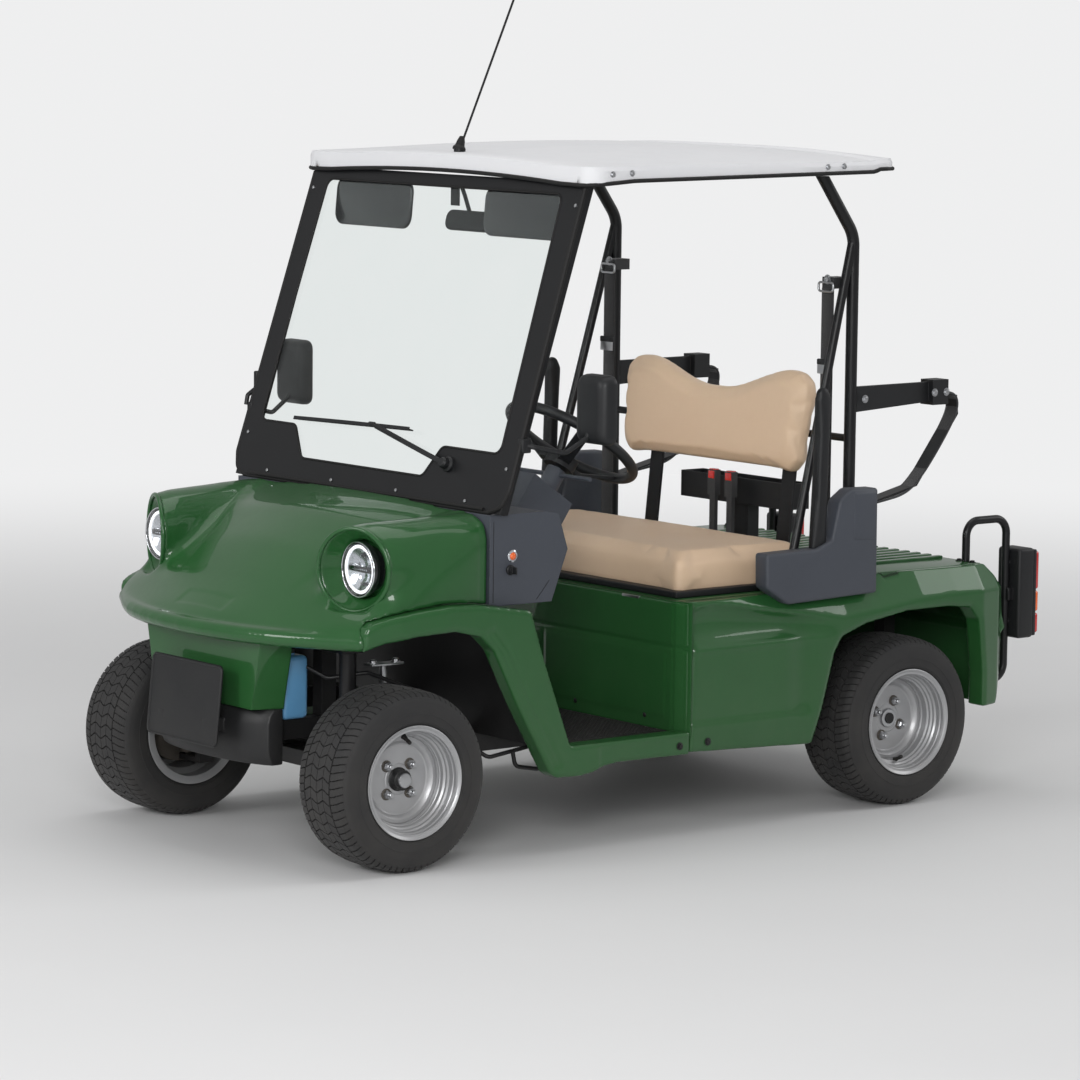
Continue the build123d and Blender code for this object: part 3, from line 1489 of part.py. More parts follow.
# ---- Roof: crowned shell with a turned-down side, on four pads; antenna ---------------
roof_mid_y = (roof_front_y + roof_back_y) / 2
roof_corner = 50.0
roof_low_front_z = 1692.0
roof_low_back_z = 1718.0
roof_step_y = roof_back_y - 80.0
roof_step = 12.0
roof_edge_front_z = 1736.0
roof_edge_back_z = 1745.0
roof_side_z = 1741.0
roof_crown_z = 1771.0
roof_arch = 19.0
roof_margin = 40.0
roof_arch_half = roof_half - 107.0


def past_edge(sag, half):
    """Sag of a shallow arc at this margin past its edge."""
    return sag * ((half + roof_margin) / half) ** 2


def roof_layer(shrink, drop):
    """Roof block drawn in by this much, its underside lowered by drop."""
    half_length = (roof_back_y - roof_front_y) / 2
    front_sag = past_edge(roof_crown_z - roof_edge_front_z, half_length)
    back_sag = past_edge(roof_crown_z - roof_edge_back_z, half_length)
    side_sag = past_edge(roof_crown_z - roof_side_z, roof_half)
    wide = roof_half + roof_margin
    crown_z = roof_crown_z - shrink
    with BuildPart() as layer:
        with BuildSketch(Plane.XY.offset(roof_low_front_z - drop - roof_margin)):
            with Locations((0, roof_mid_y)):
                RectangleRounded(
                    2 * (roof_half - shrink),
                    2 * (half_length - shrink),
                    roof_corner - shrink,
                )
        extrude(amount=roof_crown_z - roof_low_front_z + drop + 2 * roof_margin)
        with BuildSketch(side_plane(0)):
            with BuildLine():
                Polyline(
                    (roof_front_y - roof_margin, crown_z - front_sag),
                    (roof_front_y - roof_margin, roof_low_front_z - drop),
                    (roof_step_y - 8, roof_low_back_z - drop),
                    (roof_step_y, roof_low_back_z + roof_step - drop),
                    (roof_back_y + roof_margin, roof_low_back_z + roof_step - drop),
                    (roof_back_y + roof_margin, crown_z - back_sag),
                )
                ThreePointArc(
                    (roof_front_y - roof_margin, crown_z - front_sag),
                    (roof_mid_y, crown_z),
                    (roof_back_y + roof_margin, crown_z - back_sag),
                )
            make_face()
        extrude(amount=wide, both=True, mode=Mode.INTERSECT)
        with BuildSketch(cross_plane(roof_back_y + roof_margin)):
            with BuildLine():
                Polyline(
                    (-wide, crown_z - side_sag),
                    (-wide, roof_low_front_z - drop - roof_margin),
                    (wide, roof_low_front_z - drop - roof_margin),
                    (wide, crown_z - side_sag),
                )
                ThreePointArc((-wide, crown_z - side_sag), (0, crown_z), (wide, crown_z - side_sag))
            make_face()
        extrude(amount=2 * half_length + 2 * roof_margin, mode=Mode.INTERSECT)
    return layer.part


roof_block = roof_layer(0, 0)
roof_hollow = roof_layer(roof_wall, 60)
roof_bound = roof_layer(roof_wall / 2, 60)
# Pads under the roof. Columns: x, y, width, depth.
roof_pads = (
    (shield_post_outer - shield_post_width / 2, windshield_foot_y + 278, 40, 30),
    (post_x, post_top_y, 50, 60),
)
with BuildPart() as pads:
    for pad_x, pad_y, pad_width, pad_depth in roof_pads:
        for name, side in sides:
            with BuildSketch(Plane.XY.offset(post_top_z + seat_gap)):
                with Locations((side * pad_x, pad_y)):
                    Rectangle(pad_width, pad_depth)
            extrude(amount=roof_crown_z - post_top_z)
    add(roof_bound, mode=Mode.INTERSECT)
with BuildPart() as roof:
    add(roof_block)
    add(roof_hollow, mode=Mode.SUBTRACT)
    with BuildSketch(cross_plane(roof_front_y + roof_wall + 1)):
        with BuildLine():
            ThreePointArc(
                (-roof_arch_half, roof_low_front_z),
                (0, roof_low_front_z + roof_arch),
                (roof_arch_half, roof_low_front_z),
            )
            Polyline(
                (roof_arch_half, roof_low_front_z),
                (roof_arch_half, roof_low_front_z - 20),
                (-roof_arch_half, roof_low_front_z - 20),
                (-roof_arch_half, roof_low_front_z),
            )
        make_face()
    extrude(amount=2 * roof_wall + 2, mode=Mode.SUBTRACT)
    add(pads.part)
roof.part.label = "roof"
export_step(roof.part, "parts/roof.step")

antenna_y = roof_front_y + 55.0
antenna_base_radius = 14.0
antenna_base_z = 1768.0
antenna_tip_z = 2175.0
antenna_lean = math.radians(24)
roof_bite = roof_layer(-seat_gap, 0)
with BuildPart() as roof_antenna:
    with BuildSketch(Plane.XY.offset(roof_low_back_z)):
        with Locations((0, antenna_y)):
            Circle(antenna_base_radius)
    extrude(amount=antenna_base_z - roof_low_back_z)
    with BuildSketch(Plane(origin=(0, antenna_y, antenna_base_z - 8),
                           z_dir=(0, math.sin(antenna_lean), math.cos(antenna_lean)))):
        Circle(3)
    extrude(amount=(antenna_tip_z - antenna_base_z) / math.cos(antenna_lean))
    add(roof_bite, mode=Mode.SUBTRACT)
roof_antenna.part.label = "roof_antenna"
export_step(roof_antenna.part, "parts/roof_antenna.step")

# ---- Tail: hoops, lamps, bag tray and bag holders, washer bottle ----------------------
hoop_front_y = rear_y(280)
hoop_back_y = rear_y(431)
hoop_top_z = 748.0
hoop_low_z = 302.0
hoop_bend = 42.0
with BuildPart() as rear_hoops:
    for name, side in sides:
        with BuildLine() as hoop_line:
            FilletPolyline(
                (side * tail_x, hoop_front_y, deck_z - 20),
                (side * tail_x, hoop_front_y, hoop_top_z),
                (side * tail_x, hoop_back_y, hoop_top_z),
                (side * tail_x, hoop_back_y, hoop_low_z),
                (side * tail_x, rear_y(345), hoop_low_z),
                radius=hoop_bend,
            )
        with BuildSketch(Plane(origin=hoop_line.line @ 0, z_dir=(0, 0, 1))):
            Circle(hoop_radius)
        sweep(path=hoop_line.line)
    add(rear_grown, mode=Mode.SUBTRACT)
rear_hoops.part.label = "rear_hoops"
export_step(rear_hoops.part, "parts/rear_hoops.step")

lamp_width = 90.0
lamp_low_z = 415.0
lamp_top_z = 665.0
lamp_face_y = hoop_back_y + hoop_radius + seat_gap
lens_edge = 10.0
with BuildPart() as tail_lamps:
    for name, side in sides:
        with BuildSketch(cross_plane(lamp_face_y)):
            with Locations((side * tail_x, (lamp_low_z + lamp_top_z) / 2)):
                RectangleRounded(lamp_width, lamp_top_z - lamp_low_z, 14)
        extrude(amount=lamp_face_y - tail_y)
    chamfer(tail_lamps.faces().filter_by(Axis.Y).group_by(Axis.Y)[-1].edges(), lens_edge)
tail_lamps.part.label = "tail_lamps"
export_step(tail_lamps.part, "parts/tail_lamps.step")

tray_half = 225.0
tray_front_y = rear_y(-142)
tray_back_y = rear_y(-62)
tray_low_z = 778.0
tray_top_z = 850.0
tray_wall = 4.0
tray_post = 40.0
holder_sheet = 12.0
holder_root_y = post_y + post_radius + seat_gap
holder_tip_y = rear_y(150)
strap_width = 44.0
strap_sheet = 4.0
with BuildPart() as bag_carrier:
    with BuildSketch(Plane.XY.offset(tray_low_z)):
        with Locations((0, (tray_front_y + tray_back_y) / 2)):
            Rectangle(2 * tray_half, tray_back_y - tray_front_y)
    extrude(amount=tray_top_z - tray_low_z)
    with BuildSketch(Plane.XY.offset(tray_low_z + tray_wall)):
        with Locations((0, (tray_front_y + tray_back_y) / 2)):
            Rectangle(2 * (tray_half - tray_wall), tray_back_y - tray_front_y - 2 * tray_wall)
    extrude(amount=tray_top_z - tray_low_z, mode=Mode.SUBTRACT)
    with BuildSketch(Plane.XY.offset(deck_rest_z)):
        with Locations((0, (tray_front_y + tray_back_y) / 2)):
            Rectangle(2 * tray_post, tray_post)
    extrude(amount=tray_low_z - deck_rest_z)
    # Arms that reach back from the posts, each with a ratchet and a strap loop.
    for name, side in sides:
        with BuildSketch(side_plane(side * post_x)):
            with BuildLine():
                Polyline(
                    (holder_root_y, 1070),
                    (holder_tip_y, 1088),
                    (holder_tip_y, 1140),
                    (holder_root_y, 1138),
                    close=True,
                )
            make_face()
        extrude(amount=holder_sheet / 2, both=True)
        with BuildSketch(side_plane(side * post_x)):
            with Locations((holder_tip_y - 10, 1112)):
                Rectangle(56, 68)
        extrude(amount=strap_width / 2 + 3, both=True)
        with BuildSketch(side_plane(side * post_x)):
            with BuildLine():
                Polyline(
                    (holder_tip_y, 1110),
                    (holder_tip_y + 52, 1100),
                    (holder_tip_y + 57, 1050),
                    (rear_y(61), 863),
                    (holder_root_y + 2, 815),
                    (holder_root_y + 2, 790),
                )
            trace(line_width=strap_sheet)
        extrude(amount=strap_width / 2, both=True)
bag_carrier.part.label = "bag_carrier"
export_step(bag_carrier.part, "parts/bag_carrier.step")

bottle_width = 70.0
bottle_length = 80.0
bottle_height = 165.0
bottle_neck_radius = 20.0
with BuildPart() as washer_bottle:
    with BuildSketch(Plane.XY.offset(high_rail_z + rail_height + seat_gap)):
        with Locations((rail_centre_x, front_y(-110))):
            RectangleRounded(bottle_width, bottle_length, 14)
    extrude(amount=bottle_height)
    with BuildSketch(Plane.XY.offset(high_rail_z + rail_height + bottle_height)):
        with Locations((rail_centre_x, front_y(-100))):
            Circle(bottle_neck_radius)
    extrude(amount=18)
washer_bottle.part.label = "washer_bottle"
export_step(washer_bottle.part, "parts/washer_bottle.step")
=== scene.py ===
"""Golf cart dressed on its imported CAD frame: finishes, soft goods, tyres, lamps and trim."""

import logging
import math
from collections.abc import Callable, Iterable, Sequence
from dataclasses import dataclass
from enum import Enum

import bmesh
import bpy
import numpy as np
from mathutils import Matrix, Vector


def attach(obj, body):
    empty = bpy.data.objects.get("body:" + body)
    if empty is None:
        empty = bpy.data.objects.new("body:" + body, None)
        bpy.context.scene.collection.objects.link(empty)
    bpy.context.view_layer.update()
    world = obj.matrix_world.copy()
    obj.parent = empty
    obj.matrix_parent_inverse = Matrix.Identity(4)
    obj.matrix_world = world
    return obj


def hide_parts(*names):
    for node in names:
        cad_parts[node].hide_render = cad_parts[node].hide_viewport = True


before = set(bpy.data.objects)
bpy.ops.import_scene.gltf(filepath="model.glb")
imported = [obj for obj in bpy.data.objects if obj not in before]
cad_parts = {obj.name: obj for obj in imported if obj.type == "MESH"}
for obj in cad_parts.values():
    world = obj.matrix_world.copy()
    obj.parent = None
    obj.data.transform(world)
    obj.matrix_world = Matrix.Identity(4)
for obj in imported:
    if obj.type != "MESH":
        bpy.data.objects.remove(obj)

log = logging.getLogger("golf_cart")
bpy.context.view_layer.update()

TONE_SCALE = 6.0
DUST_SCALE = 14.0
DUST_TINT = (150, 143, 132)
FRONT_AXLE = -0.940
REAR_AXLE = 0.725
AXLE_HEIGHT = 0.2295
SIDES = (1, -1)
Point = tuple[float, float, float]
Flat = tuple[float, float]
X_AXIS: Point = (1, 0, 0)
Z_AXIS: Point = (0, 0, 1)
AHEAD: Point = (0, -1, 0)


def front(distance: float) -> float:
    """Y of a point this many metres behind the front axle."""
    return FRONT_AXLE + distance


def sided(name: str, side: int) -> str:
    """Name of a piece on the left side, 1, or the right side, -1."""
    return name + ("_left" if side > 0 else "_right")


def turns(count: int) -> list[float]:
    """Angles of a full turn in equal steps."""
    return [2 * math.pi * step / count for step in range(count)]


def linear(colour: tuple[int, int, int]) -> tuple[float, float, float, float]:
    """Linear colour, with alpha, of an 8-bit display colour."""
    parts = []
    for channel in colour:
        share = channel / 255
        parts.append(share / 12.92 if share <= 0.04045 else ((share + 0.055) / 1.055) ** 2.4)
    return (parts[0], parts[1], parts[2], 1.0)


# ---- Node trees ------------------------------------------------------------------------


class Wiring:
    """Adds nodes to a tree and links them."""

    def __init__(self, tree: bpy.types.NodeTree) -> None:
        """Starts on an empty tree."""
        self.tree = tree

    def add(self, kind: str, settings: dict | None = None, **inputs: object) -> bpy.types.Node:
        """Adds one node.

        Args:
            kind: Blender's name of the node type.
            settings: properties of the node itself.
            inputs: socket name, with "_" for a space, to a value or to an output to link.

        Returns:
            The new node.
        """
        node = self.tree.nodes.new(kind)
        for key, value in (settings or {}).items():
            setattr(node, key, value)
        for key, value in inputs.items():
            self.feed(node.inputs[key.replace("_", " ")], value)
        return node

    def feed(self, socket: bpy.types.NodeSocket, value: object) -> None:
        """Links an output to a socket, or sets its value."""
        if isinstance(value, bpy.types.NodeSocket):
            self.tree.links.new(value, socket)
        else:
            socket.default_value = value

    def math(self, operation: str, first: object, second: object = 0.0,
             clamp: bool = False) -> bpy.types.NodeSocket:
        """Output of a Math node on two values or outputs."""
        node = self.add("ShaderNodeMath", {"operation": operation, "use_clamp": clamp})
        self.feed(node.inputs[0], first)
        self.feed(node.inputs[1], second)
        return node.outputs[0]

    def mix(self, share: object, low: object, high: object) -> bpy.types.NodeSocket:
        """Output of a colour mix between two colours by a share."""
        node = self.add("ShaderNodeMix", {"data_type": "RGBA"})
        self.feed(node.inputs[0], share)
        self.feed(node.inputs[6], low)
        self.feed(node.inputs[7], high)
        return node.outputs[2]

    def ramp(self, value: object, given: Flat, wanted: Flat,
             smooth: bool = False) -> bpy.types.NodeSocket:
        """Output of a Map Range node from a given span to a wanted one."""
        kind = "SMOOTHSTEP" if smooth else "LINEAR"
        node = self.add("ShaderNodeMapRange", {"interpolation_type": kind}, Value=value)
        for index, bound in enumerate((*given, *wanted), 1):
            node.inputs[index].default_value = bound
        return node.outputs[0]

    def blend(self, share: object, low: bpy.types.Node,
              high: bpy.types.Node) -> bpy.types.NodeSocket:
        """Output of a mix between two shaders by a share."""
        both = self.add("ShaderNodeMixShader")
        for socket, value in zip(both.inputs, (share, low.outputs[0], high.outputs[0])):
            self.feed(socket, value)
        return both.outputs[0]

    def seen(self, gloss: float) -> bpy.types.NodeSocket:
        """Output that is 1 on rays from the camera or through a pane, and gloss on glossy ones."""
        path = self.add("ShaderNodeLightPath").outputs
        straight = self.math("MAXIMUM", path["Is Camera Ray"], path["Is Transmission Ray"])
        return self.math("MAXIMUM", straight, self.math("MULTIPLY", path["Is Glossy Ray"], gloss))

    def scaled(self, vector: object, factor: object) -> bpy.types.NodeSocket:
        """Output of a vector times a factor."""
        node = self.add("ShaderNodeVectorMath", {"operation": "SCALE"}, Scale=factor)
        self.feed(node.inputs[0], vector)
        return node.outputs[0]

    def noise(self, where: object, scale: object, detail: float = 3.0) -> bpy.types.NodeSocket:
        """Value of a noise texture at a place."""
        node = self.add("ShaderNodeTexNoise", Vector=where, Scale=scale, Detail=detail)
        return node.outputs[0]


class Effect(Enum):
    """Shader effects that several finishes share."""

    TONE = "panel_tone"
    DUST = "settled_dust"
    PEBBLE = "moulded_pebble"
    HIDE = "hide_creases"
    ROLLED = "rolled_sheet"
    WEAVE = "webbing_weave"
    PEEL = "paint_peel"

    def group(self) -> bpy.types.NodeTree:
        """The effect's node group, built the first time that it is asked for."""
        known = bpy.data.node_groups.get(self.value)
        if known:
            return known
        tree = bpy.data.node_groups.new(self.value, "ShaderNodeTree")
        socket = tree.interface.new_socket
        socket(name="Vector", in_out="INPUT", socket_type="NodeSocketVector")
        size = socket(name="Scale", in_out="INPUT", socket_type="NodeSocketFloat")
        size.default_value = 10.0
        socket(name="Value", in_out="OUTPUT", socket_type="NodeSocketFloat")
        wire = Wiring(tree)
        given = wire.add("NodeGroupInput")
        where, scale = given.outputs["Vector"], given.outputs["Scale"]
        wire.add("NodeGroupOutput", Value=self.pattern(wire, where, scale))
        return tree

    def pattern(self, wire: Wiring, where: object, scale: object) -> bpy.types.NodeSocket:
        """Value of the effect at a place.

        Args:
            wire: the group's wiring.
            where: output that gives the place.
            scale: output that gives how many features there are in a metre.

        Returns:
            The output that holds the value, from 0 to 1.
        """
        if self is Effect.DUST:
            normal = wire.add("ShaderNodeNewGeometry").outputs["Normal"]
            up = wire.add("ShaderNodeSeparateXYZ", Vector=normal)
            height = wire.add("ShaderNodeSeparateXYZ", Vector=where)
            low = wire.ramp(height.outputs["Z"], (0.15, 0.62), (1.0, 0.0))
            flat = wire.math("POWER", wire.math("MAXIMUM", up.outputs["Z"], 0.0), 3.0)
            lain = wire.math("MAXIMUM", wire.math("MULTIPLY", flat, 0.6), low)
            return wire.math("MULTIPLY", lain, wire.noise(where, scale, 8.0), True)
        if self is Effect.PEBBLE:
            cells = wire.add("ShaderNodeTexVoronoi", Vector=where, Scale=scale)
            return wire.math("ADD", wire.math("MULTIPLY", cells.outputs[0], 0.7), wire.math(
                "MULTIPLY", wire.noise(where, wire.math("MULTIPLY", scale, 2.3)), 0.3))
        if self is Effect.HIDE:
            bent = wire.add("ShaderNodeVectorMath", {"operation": "MULTIPLY_ADD"})
            wobble = wire.add("ShaderNodeTexNoise", Vector=where,
                              Scale=wire.math("MULTIPLY", scale, 0.4))
            wire.feed(bent.inputs[0], wobble.outputs["Color"])
            bent.inputs[1].default_value = (0.004, 0.004, 0.004)
            wire.feed(bent.inputs[2], where)
            cells = wire.add("ShaderNodeTexVoronoi", {"feature": "DISTANCE_TO_EDGE"},
                             Vector=bent.outputs[0], Scale=scale)
            return wire.math("MINIMUM", wire.math("MULTIPLY", cells.outputs[0], 5.0), 1.0)
        if self is Effect.ROLLED:
            long = wire.add("ShaderNodeMapping", Vector=where)
            long.inputs["Scale"].default_value = (1.0, 0.15, 1.0)
            return wire.noise(long.outputs[0], scale, 6.0)
        if self is Effect.WEAVE:
            axes = wire.add("ShaderNodeSeparateXYZ", Vector=where)
            warp = wire.math("SINE", wire.math("MULTIPLY", axes.outputs["X"], scale))
            fall = wire.math("ADD", axes.outputs["Z"], axes.outputs["Y"])
            weft = wire.math("SINE", wire.math("MULTIPLY", fall, scale))
            return wire.math("MULTIPLY_ADD", wire.math("MULTIPLY", warp, weft), 0.5)
        if self is Effect.PEEL:
            return wire.noise(where, scale, 1.0)
        broad = wire.noise(where, scale, 4.0)
        return wire.math("ADD", wire.math("MULTIPLY", broad, 0.7), wire.math(
            "MULTIPLY", wire.noise(where, wire.math("MULTIPLY", scale, 9.0)), 0.3))


@dataclass(frozen=True)
class Finish:
    """A surface finish: colours, gloss and the relief that is seen close to.

    Lengths are in metres. grain names the relief, grain_scale its features in a metre, and
    relief its depth. edge is the radius to which the shading softens a hard edge.
    """

    name: str
    slot: str
    base: tuple[int, int, int]
    tone: tuple[int, int, int]
    rough: float
    grain: Effect = Effect.PEEL
    grain_scale: float = 240.0
    relief: float = 0.0001
    spread: float = 0.12
    metal: float = 0.0
    coat: float = 0.0
    coat_rough: float = 0.05
    sheen: float = 0.0
    dust: float = 0.0
    edge: float = 0.0
    glow: float = 0.0
    clear: float = 0.0
    index: float = 1.5
    shine: float = 0.5

    def relieved(self, wire: Wiring, where: object) -> bpy.types.NodeSocket:
        """Normal output with the grain's relief and the softened edges."""
        grain = wire.add("ShaderNodeGroup", {"node_tree": self.grain.group()}, Vector=where,
                         Scale=self.grain_scale)
        bump = wire.add("ShaderNodeBump", Strength=0.8, Distance=self.relief,
                        Height=grain.outputs[0])
        if self.edge:
            rounded = wire.add("ShaderNodeBevel", {"samples": 4}, Radius=self.edge)
            wire.feed(bump.inputs["Normal"], rounded.outputs[0])
        return bump.outputs[0]

    def material(self) -> bpy.types.Material:
        """The finish's material, built the first time that it is asked for."""
        known = bpy.data.materials.get("finish_" + self.name)
        if known:
            return known
        made = bpy.data.materials.new("finish_" + self.name)
        made.use_nodes = True
        made.node_tree.nodes.clear()
        made.diffuse_color = linear(self.base)
        wire = Wiring(made.node_tree)
        where = wire.add("ShaderNodeTexCoord").outputs["Object"]
        tone = wire.add("ShaderNodeGroup", {"node_tree": Effect.TONE.group()}, Vector=where,
                        Scale=TONE_SCALE).outputs[0]
        colour = wire.mix(tone, linear(self.base), linear(self.tone))
        rough = wire.math("MULTIPLY_ADD", tone, self.spread, True)
        rough.node.inputs[2].default_value = max(self.rough - self.spread / 2, 0.0)
        if self.dust:
            lain = wire.add("ShaderNodeGroup", {"node_tree": Effect.DUST.group()}, Vector=where,
                            Scale=DUST_SCALE).outputs[0]
            share = wire.math("MULTIPLY", lain, self.dust, True)
            colour = wire.mix(share, colour, linear(DUST_TINT))
            rough = wire.math("ADD", rough, wire.math("MULTIPLY", share, 0.5), True)
        skin = wire.add("ShaderNodeBsdfPrincipled", Base_Color=colour, Roughness=rough,
                        Normal=self.relieved(wire, where))
        for socket, value in (("Metallic", self.metal), ("Coat Weight", self.coat),
                              ("Coat Roughness", self.coat_rough), ("Sheen Weight", self.sheen),
                              ("Transmission Weight", self.clear), ("IOR", self.index),
                              ("Specular IOR Level", self.shine)):
            skin.inputs[socket].default_value = value
        if self.glow:
            wire.feed(skin.inputs["Emission Color"], linear(self.base))
            skin.inputs["Emission Strength"].default_value = self.glow
        wire.add("ShaderNodeOutputMaterial", Surface=skin.outputs[0])
        return made


PAINT = Finish("green_paint", "body_green", (38, 88, 44), (32, 78, 38), 0.34, relief=0.00005,
               grain_scale=420.0, coat=0.65, coat_rough=0.02, dust=0.06, edge=0.006, shine=0.15)
ROOF_WHITE = Finish("roof_gelcoat", "roof_white", (222, 222, 224), (214, 215, 218), 0.55,
                    relief=0.00006, grain_scale=300.0, dust=0.12, edge=0.005, shine=0.15)
CHARCOAL = Finish("charcoal_moulding", "charcoal_plastic", (66, 70, 79), (58, 62, 70), 0.52,
                  Effect.PEBBLE, 900.0, 0.00018, dust=0.14, edge=0.005)
BLACK_STEEL = Finish("satin_black_steel", "black_steel", (17, 18, 20), (26, 26, 28), 0.36,
                     Effect.PEEL, 500.0, 0.00008, coat=0.08, coat_rough=0.3, dust=0.05, edge=0.0025,
                     shine=0.28)
SILVER = Finish("silver_wheel_steel", "silver_steel", (178, 179, 181), (160, 161, 164), 0.36,
                Effect.ROLLED, 320.0, 0.00006, metal=0.55, coat=0.3, dust=0.22)
ZINC = Finish("zinc_plate", "silver_steel", (196, 197, 200), (168, 170, 172), 0.3,
              Effect.ROLLED, 700.0, 0.00004, metal=1.0, dust=0.1)
IRON = Finish("grey_iron", "grey_iron", (62, 61, 60), (84, 76, 68), 0.7, Effect.ROLLED, 260.0,
              0.0004, metal=0.35, dust=0.35)
TYRE = Finish("tyre_compound", "tyre_rubber", (26, 27, 29), (36, 36, 38), 0.72, Effect.PEBBLE,
              1400.0, 0.00012, dust=0.10, sheen=0.05, shine=0.4)
RUBBER = Finish("black_trim_rubber", "black_rubber", (18, 18, 19), (28, 27, 27), 0.6,
                Effect.PEBBLE, 1200.0, 0.0001, dust=0.06, shine=0.3)
MAT = Finish("floor_mat_rubber", "black_rubber", (20, 20, 21), (30, 30, 30), 0.7,
             Effect.PEBBLE, 700.0, 0.0003, dust=0.06, shine=0.3)
PLASTIC = Finish("black_moulded_plastic", "black_rubber", (30, 31, 33), (24, 25, 27), 0.46,
                 Effect.PEBBLE, 1100.0, 0.00012, dust=0.05, edge=0.003, shine=0.35)
SMOKE = Finish("smoked_visor", "black_rubber", (34, 36, 39), (28, 30, 33), 0.16, coat=0.4,
               relief=0.00002, shine=0.4)
VINYL = Finish("tan_vinyl", "tan_vinyl", (224, 196, 166), (216, 186, 155), 0.46, Effect.HIDE,
               520.0, 0.00022, spread=0.08, coat=0.12, coat_rough=0.35, sheen=0.08)
PANE = Finish("clear_pane", "clear_pane", (246, 249, 248), (240, 246, 244), 0.02, spread=0.01,
              relief=0.00001, grain_scale=30.0, clear=1.0, index=1.2)
LENS = Finish("lamp_lens", "lamp_glass", (250, 251, 252), (244, 246, 248), 0.03, spread=0.02,
              relief=0.00001, clear=1.0, index=1.3)
CHROME = Finish("lamp_chrome", "lamp_glass", (222, 224, 227), (196, 199, 203), 0.12,
                Effect.ROLLED, 500.0, 0.00002, metal=1.0)
HALO = Finish("lamp_halo", "lamp_glass", (255, 255, 255), (240, 244, 250), 0.3, glow=0.8)
LAMP_BLACK = Finish("lamp_black", "lamp_glass", (18, 19, 21), (26, 27, 29), 0.2, coat=0.6)
RED_LENS = Finish("red_lens", "red_lens", (196, 26, 20), (160, 18, 14), 0.16, coat=1.0,
                  spread=0.06, glow=0.12, grain=Effect.WEAVE, grain_scale=900.0, relief=0.0002)
AMBER_LENS = Finish("amber_lens", "red_lens", (226, 98, 20), (204, 82, 16), 0.16, coat=1.0,
                    spread=0.06, glow=0.15, grain=Effect.WEAVE, grain_scale=900.0, relief=0.0002)
WEBBING = Finish("belt_webbing", "black_webbing", (26, 26, 28), (38, 38, 41), 0.72, Effect.WEAVE,
                 3600.0, 0.0003, sheen=0.3)
BATTERY = Finish("battery_case", "battery_case", (44, 45, 48), (54, 54, 56), 0.6, Effect.PEBBLE,
                 800.0, 0.0002, dust=0.2, edge=0.003)
BOTTLE = Finish("blue_bottle", "blue_plastic", (86, 142, 186), (104, 158, 198), 0.38,
                Effect.PEBBLE, 300.0, 0.0002, coat=0.3, edge=0.005)
MIRROR = Finish("mirror_silver", "lamp_glass", (214, 220, 224), (206, 212, 217), 0.03,
                relief=0.00001, spread=0.01, metal=1.0)

# ---- Meshes ----------------------------------------------------------------------------


def brought(name: str, data: bpy.types.ID) -> bpy.types.Object:
    """Puts an object that shows some data into the scene."""
    piece = bpy.data.objects.new(name, data)
    bpy.context.scene.collection.objects.link(piece)
    return piece


def shown(name: str, corners: Sequence, faces: Sequence, finish: Finish,
          crease: float = 35.0) -> bpy.types.Object:
    """Makes an object of a mesh.

    Args:
        name: the object's name.
        corners: places of the vertices.
        faces: vertex numbers of each face.
        finish: the finish of the whole piece.
        crease: angle in degrees above which an edge stays hard.

    Returns:
        The object, with doubles merged and its faces pointing outwards.
    """
    mesh = bpy.data.meshes.new(name)
    mesh.from_pydata([tuple(corner) for corner in corners], [], [tuple(face) for face in faces])
    work = bmesh.new()
    work.from_mesh(mesh)
    bmesh.ops.remove_doubles(work, verts=work.verts, dist=1e-6)
    bmesh.ops.recalc_face_normals(work, faces=work.faces)
    work.to_mesh(mesh)
    work.free()
    piece = brought(name, mesh)
    mesh.materials.append(finish.material())
    smooth(piece, crease)
    return piece


def dress(piece: bpy.types.Object, finish: Finish) -> None:
    """Gives a whole piece one finish."""
    piece.data.materials.clear()
    piece.data.materials.append(finish.material())


def smooth(piece: bpy.types.Object, crease: float = 35.0) -> None:
    """Shades a piece smooth, with edges above the angle left hard."""
    piece.data.shade_smooth()
    piece.data.set_sharp_from_angle(angle=math.radians(crease))


def freeze(piece: bpy.types.Object) -> bpy.types.Object:
    """Turns a piece with modifiers into the plain mesh that they give.

    Args:
        piece: the object, whose modifiers are removed.

    Returns:
        The same object.
    """
    graph = bpy.context.evaluated_depsgraph_get()
    mesh = bpy.data.meshes.new_from_object(piece.evaluated_get(graph), depsgraph=graph)
    old = piece.data
    piece.modifiers.clear()
    piece.data = mesh
    if old.users == 0:
        bpy.data.meshes.remove(old)
    return piece


def modified(piece: bpy.types.Object, kind: str, **settings: object) -> bpy.types.Object:
    """Puts one modifier on a piece and freezes it.

    Args:
        piece: the object.
        kind: Blender's name of the modifier type.
        settings: the modifier's settings.

    Returns:
        The same object.
    """
    modifier = piece.modifiers.new(kind.lower(), kind)
    for key, value in settings.items():
        setattr(modifier, key, value)
    return freeze(piece)


def bevelled(piece: bpy.types.Object, width: float, segments: int = 3,
             angle: float = 30.0) -> bpy.types.Object:
    """Rounds a piece's hard edges."""
    modified(piece, "BEVEL", width=width, segments=segments, limit_method="ANGLE",
             angle_limit=math.radians(angle), harden_normals=False)
    smooth(piece, 40.0)
    return piece


def joined(name: str, pieces: Sequence[bpy.types.Object]) -> bpy.types.Object:
    """Joins pieces into one object that keeps each one's finish.

    Args:
        name: the new object's name.
        pieces: the objects, which are removed.

    Returns:
        The joined object.
    """
    base = pieces[0]
    with bpy.context.temp_override(active_object=base, selected_editable_objects=list(pieces)):
        bpy.ops.object.join()
    base.name = name
    base.data.name = name
    return base


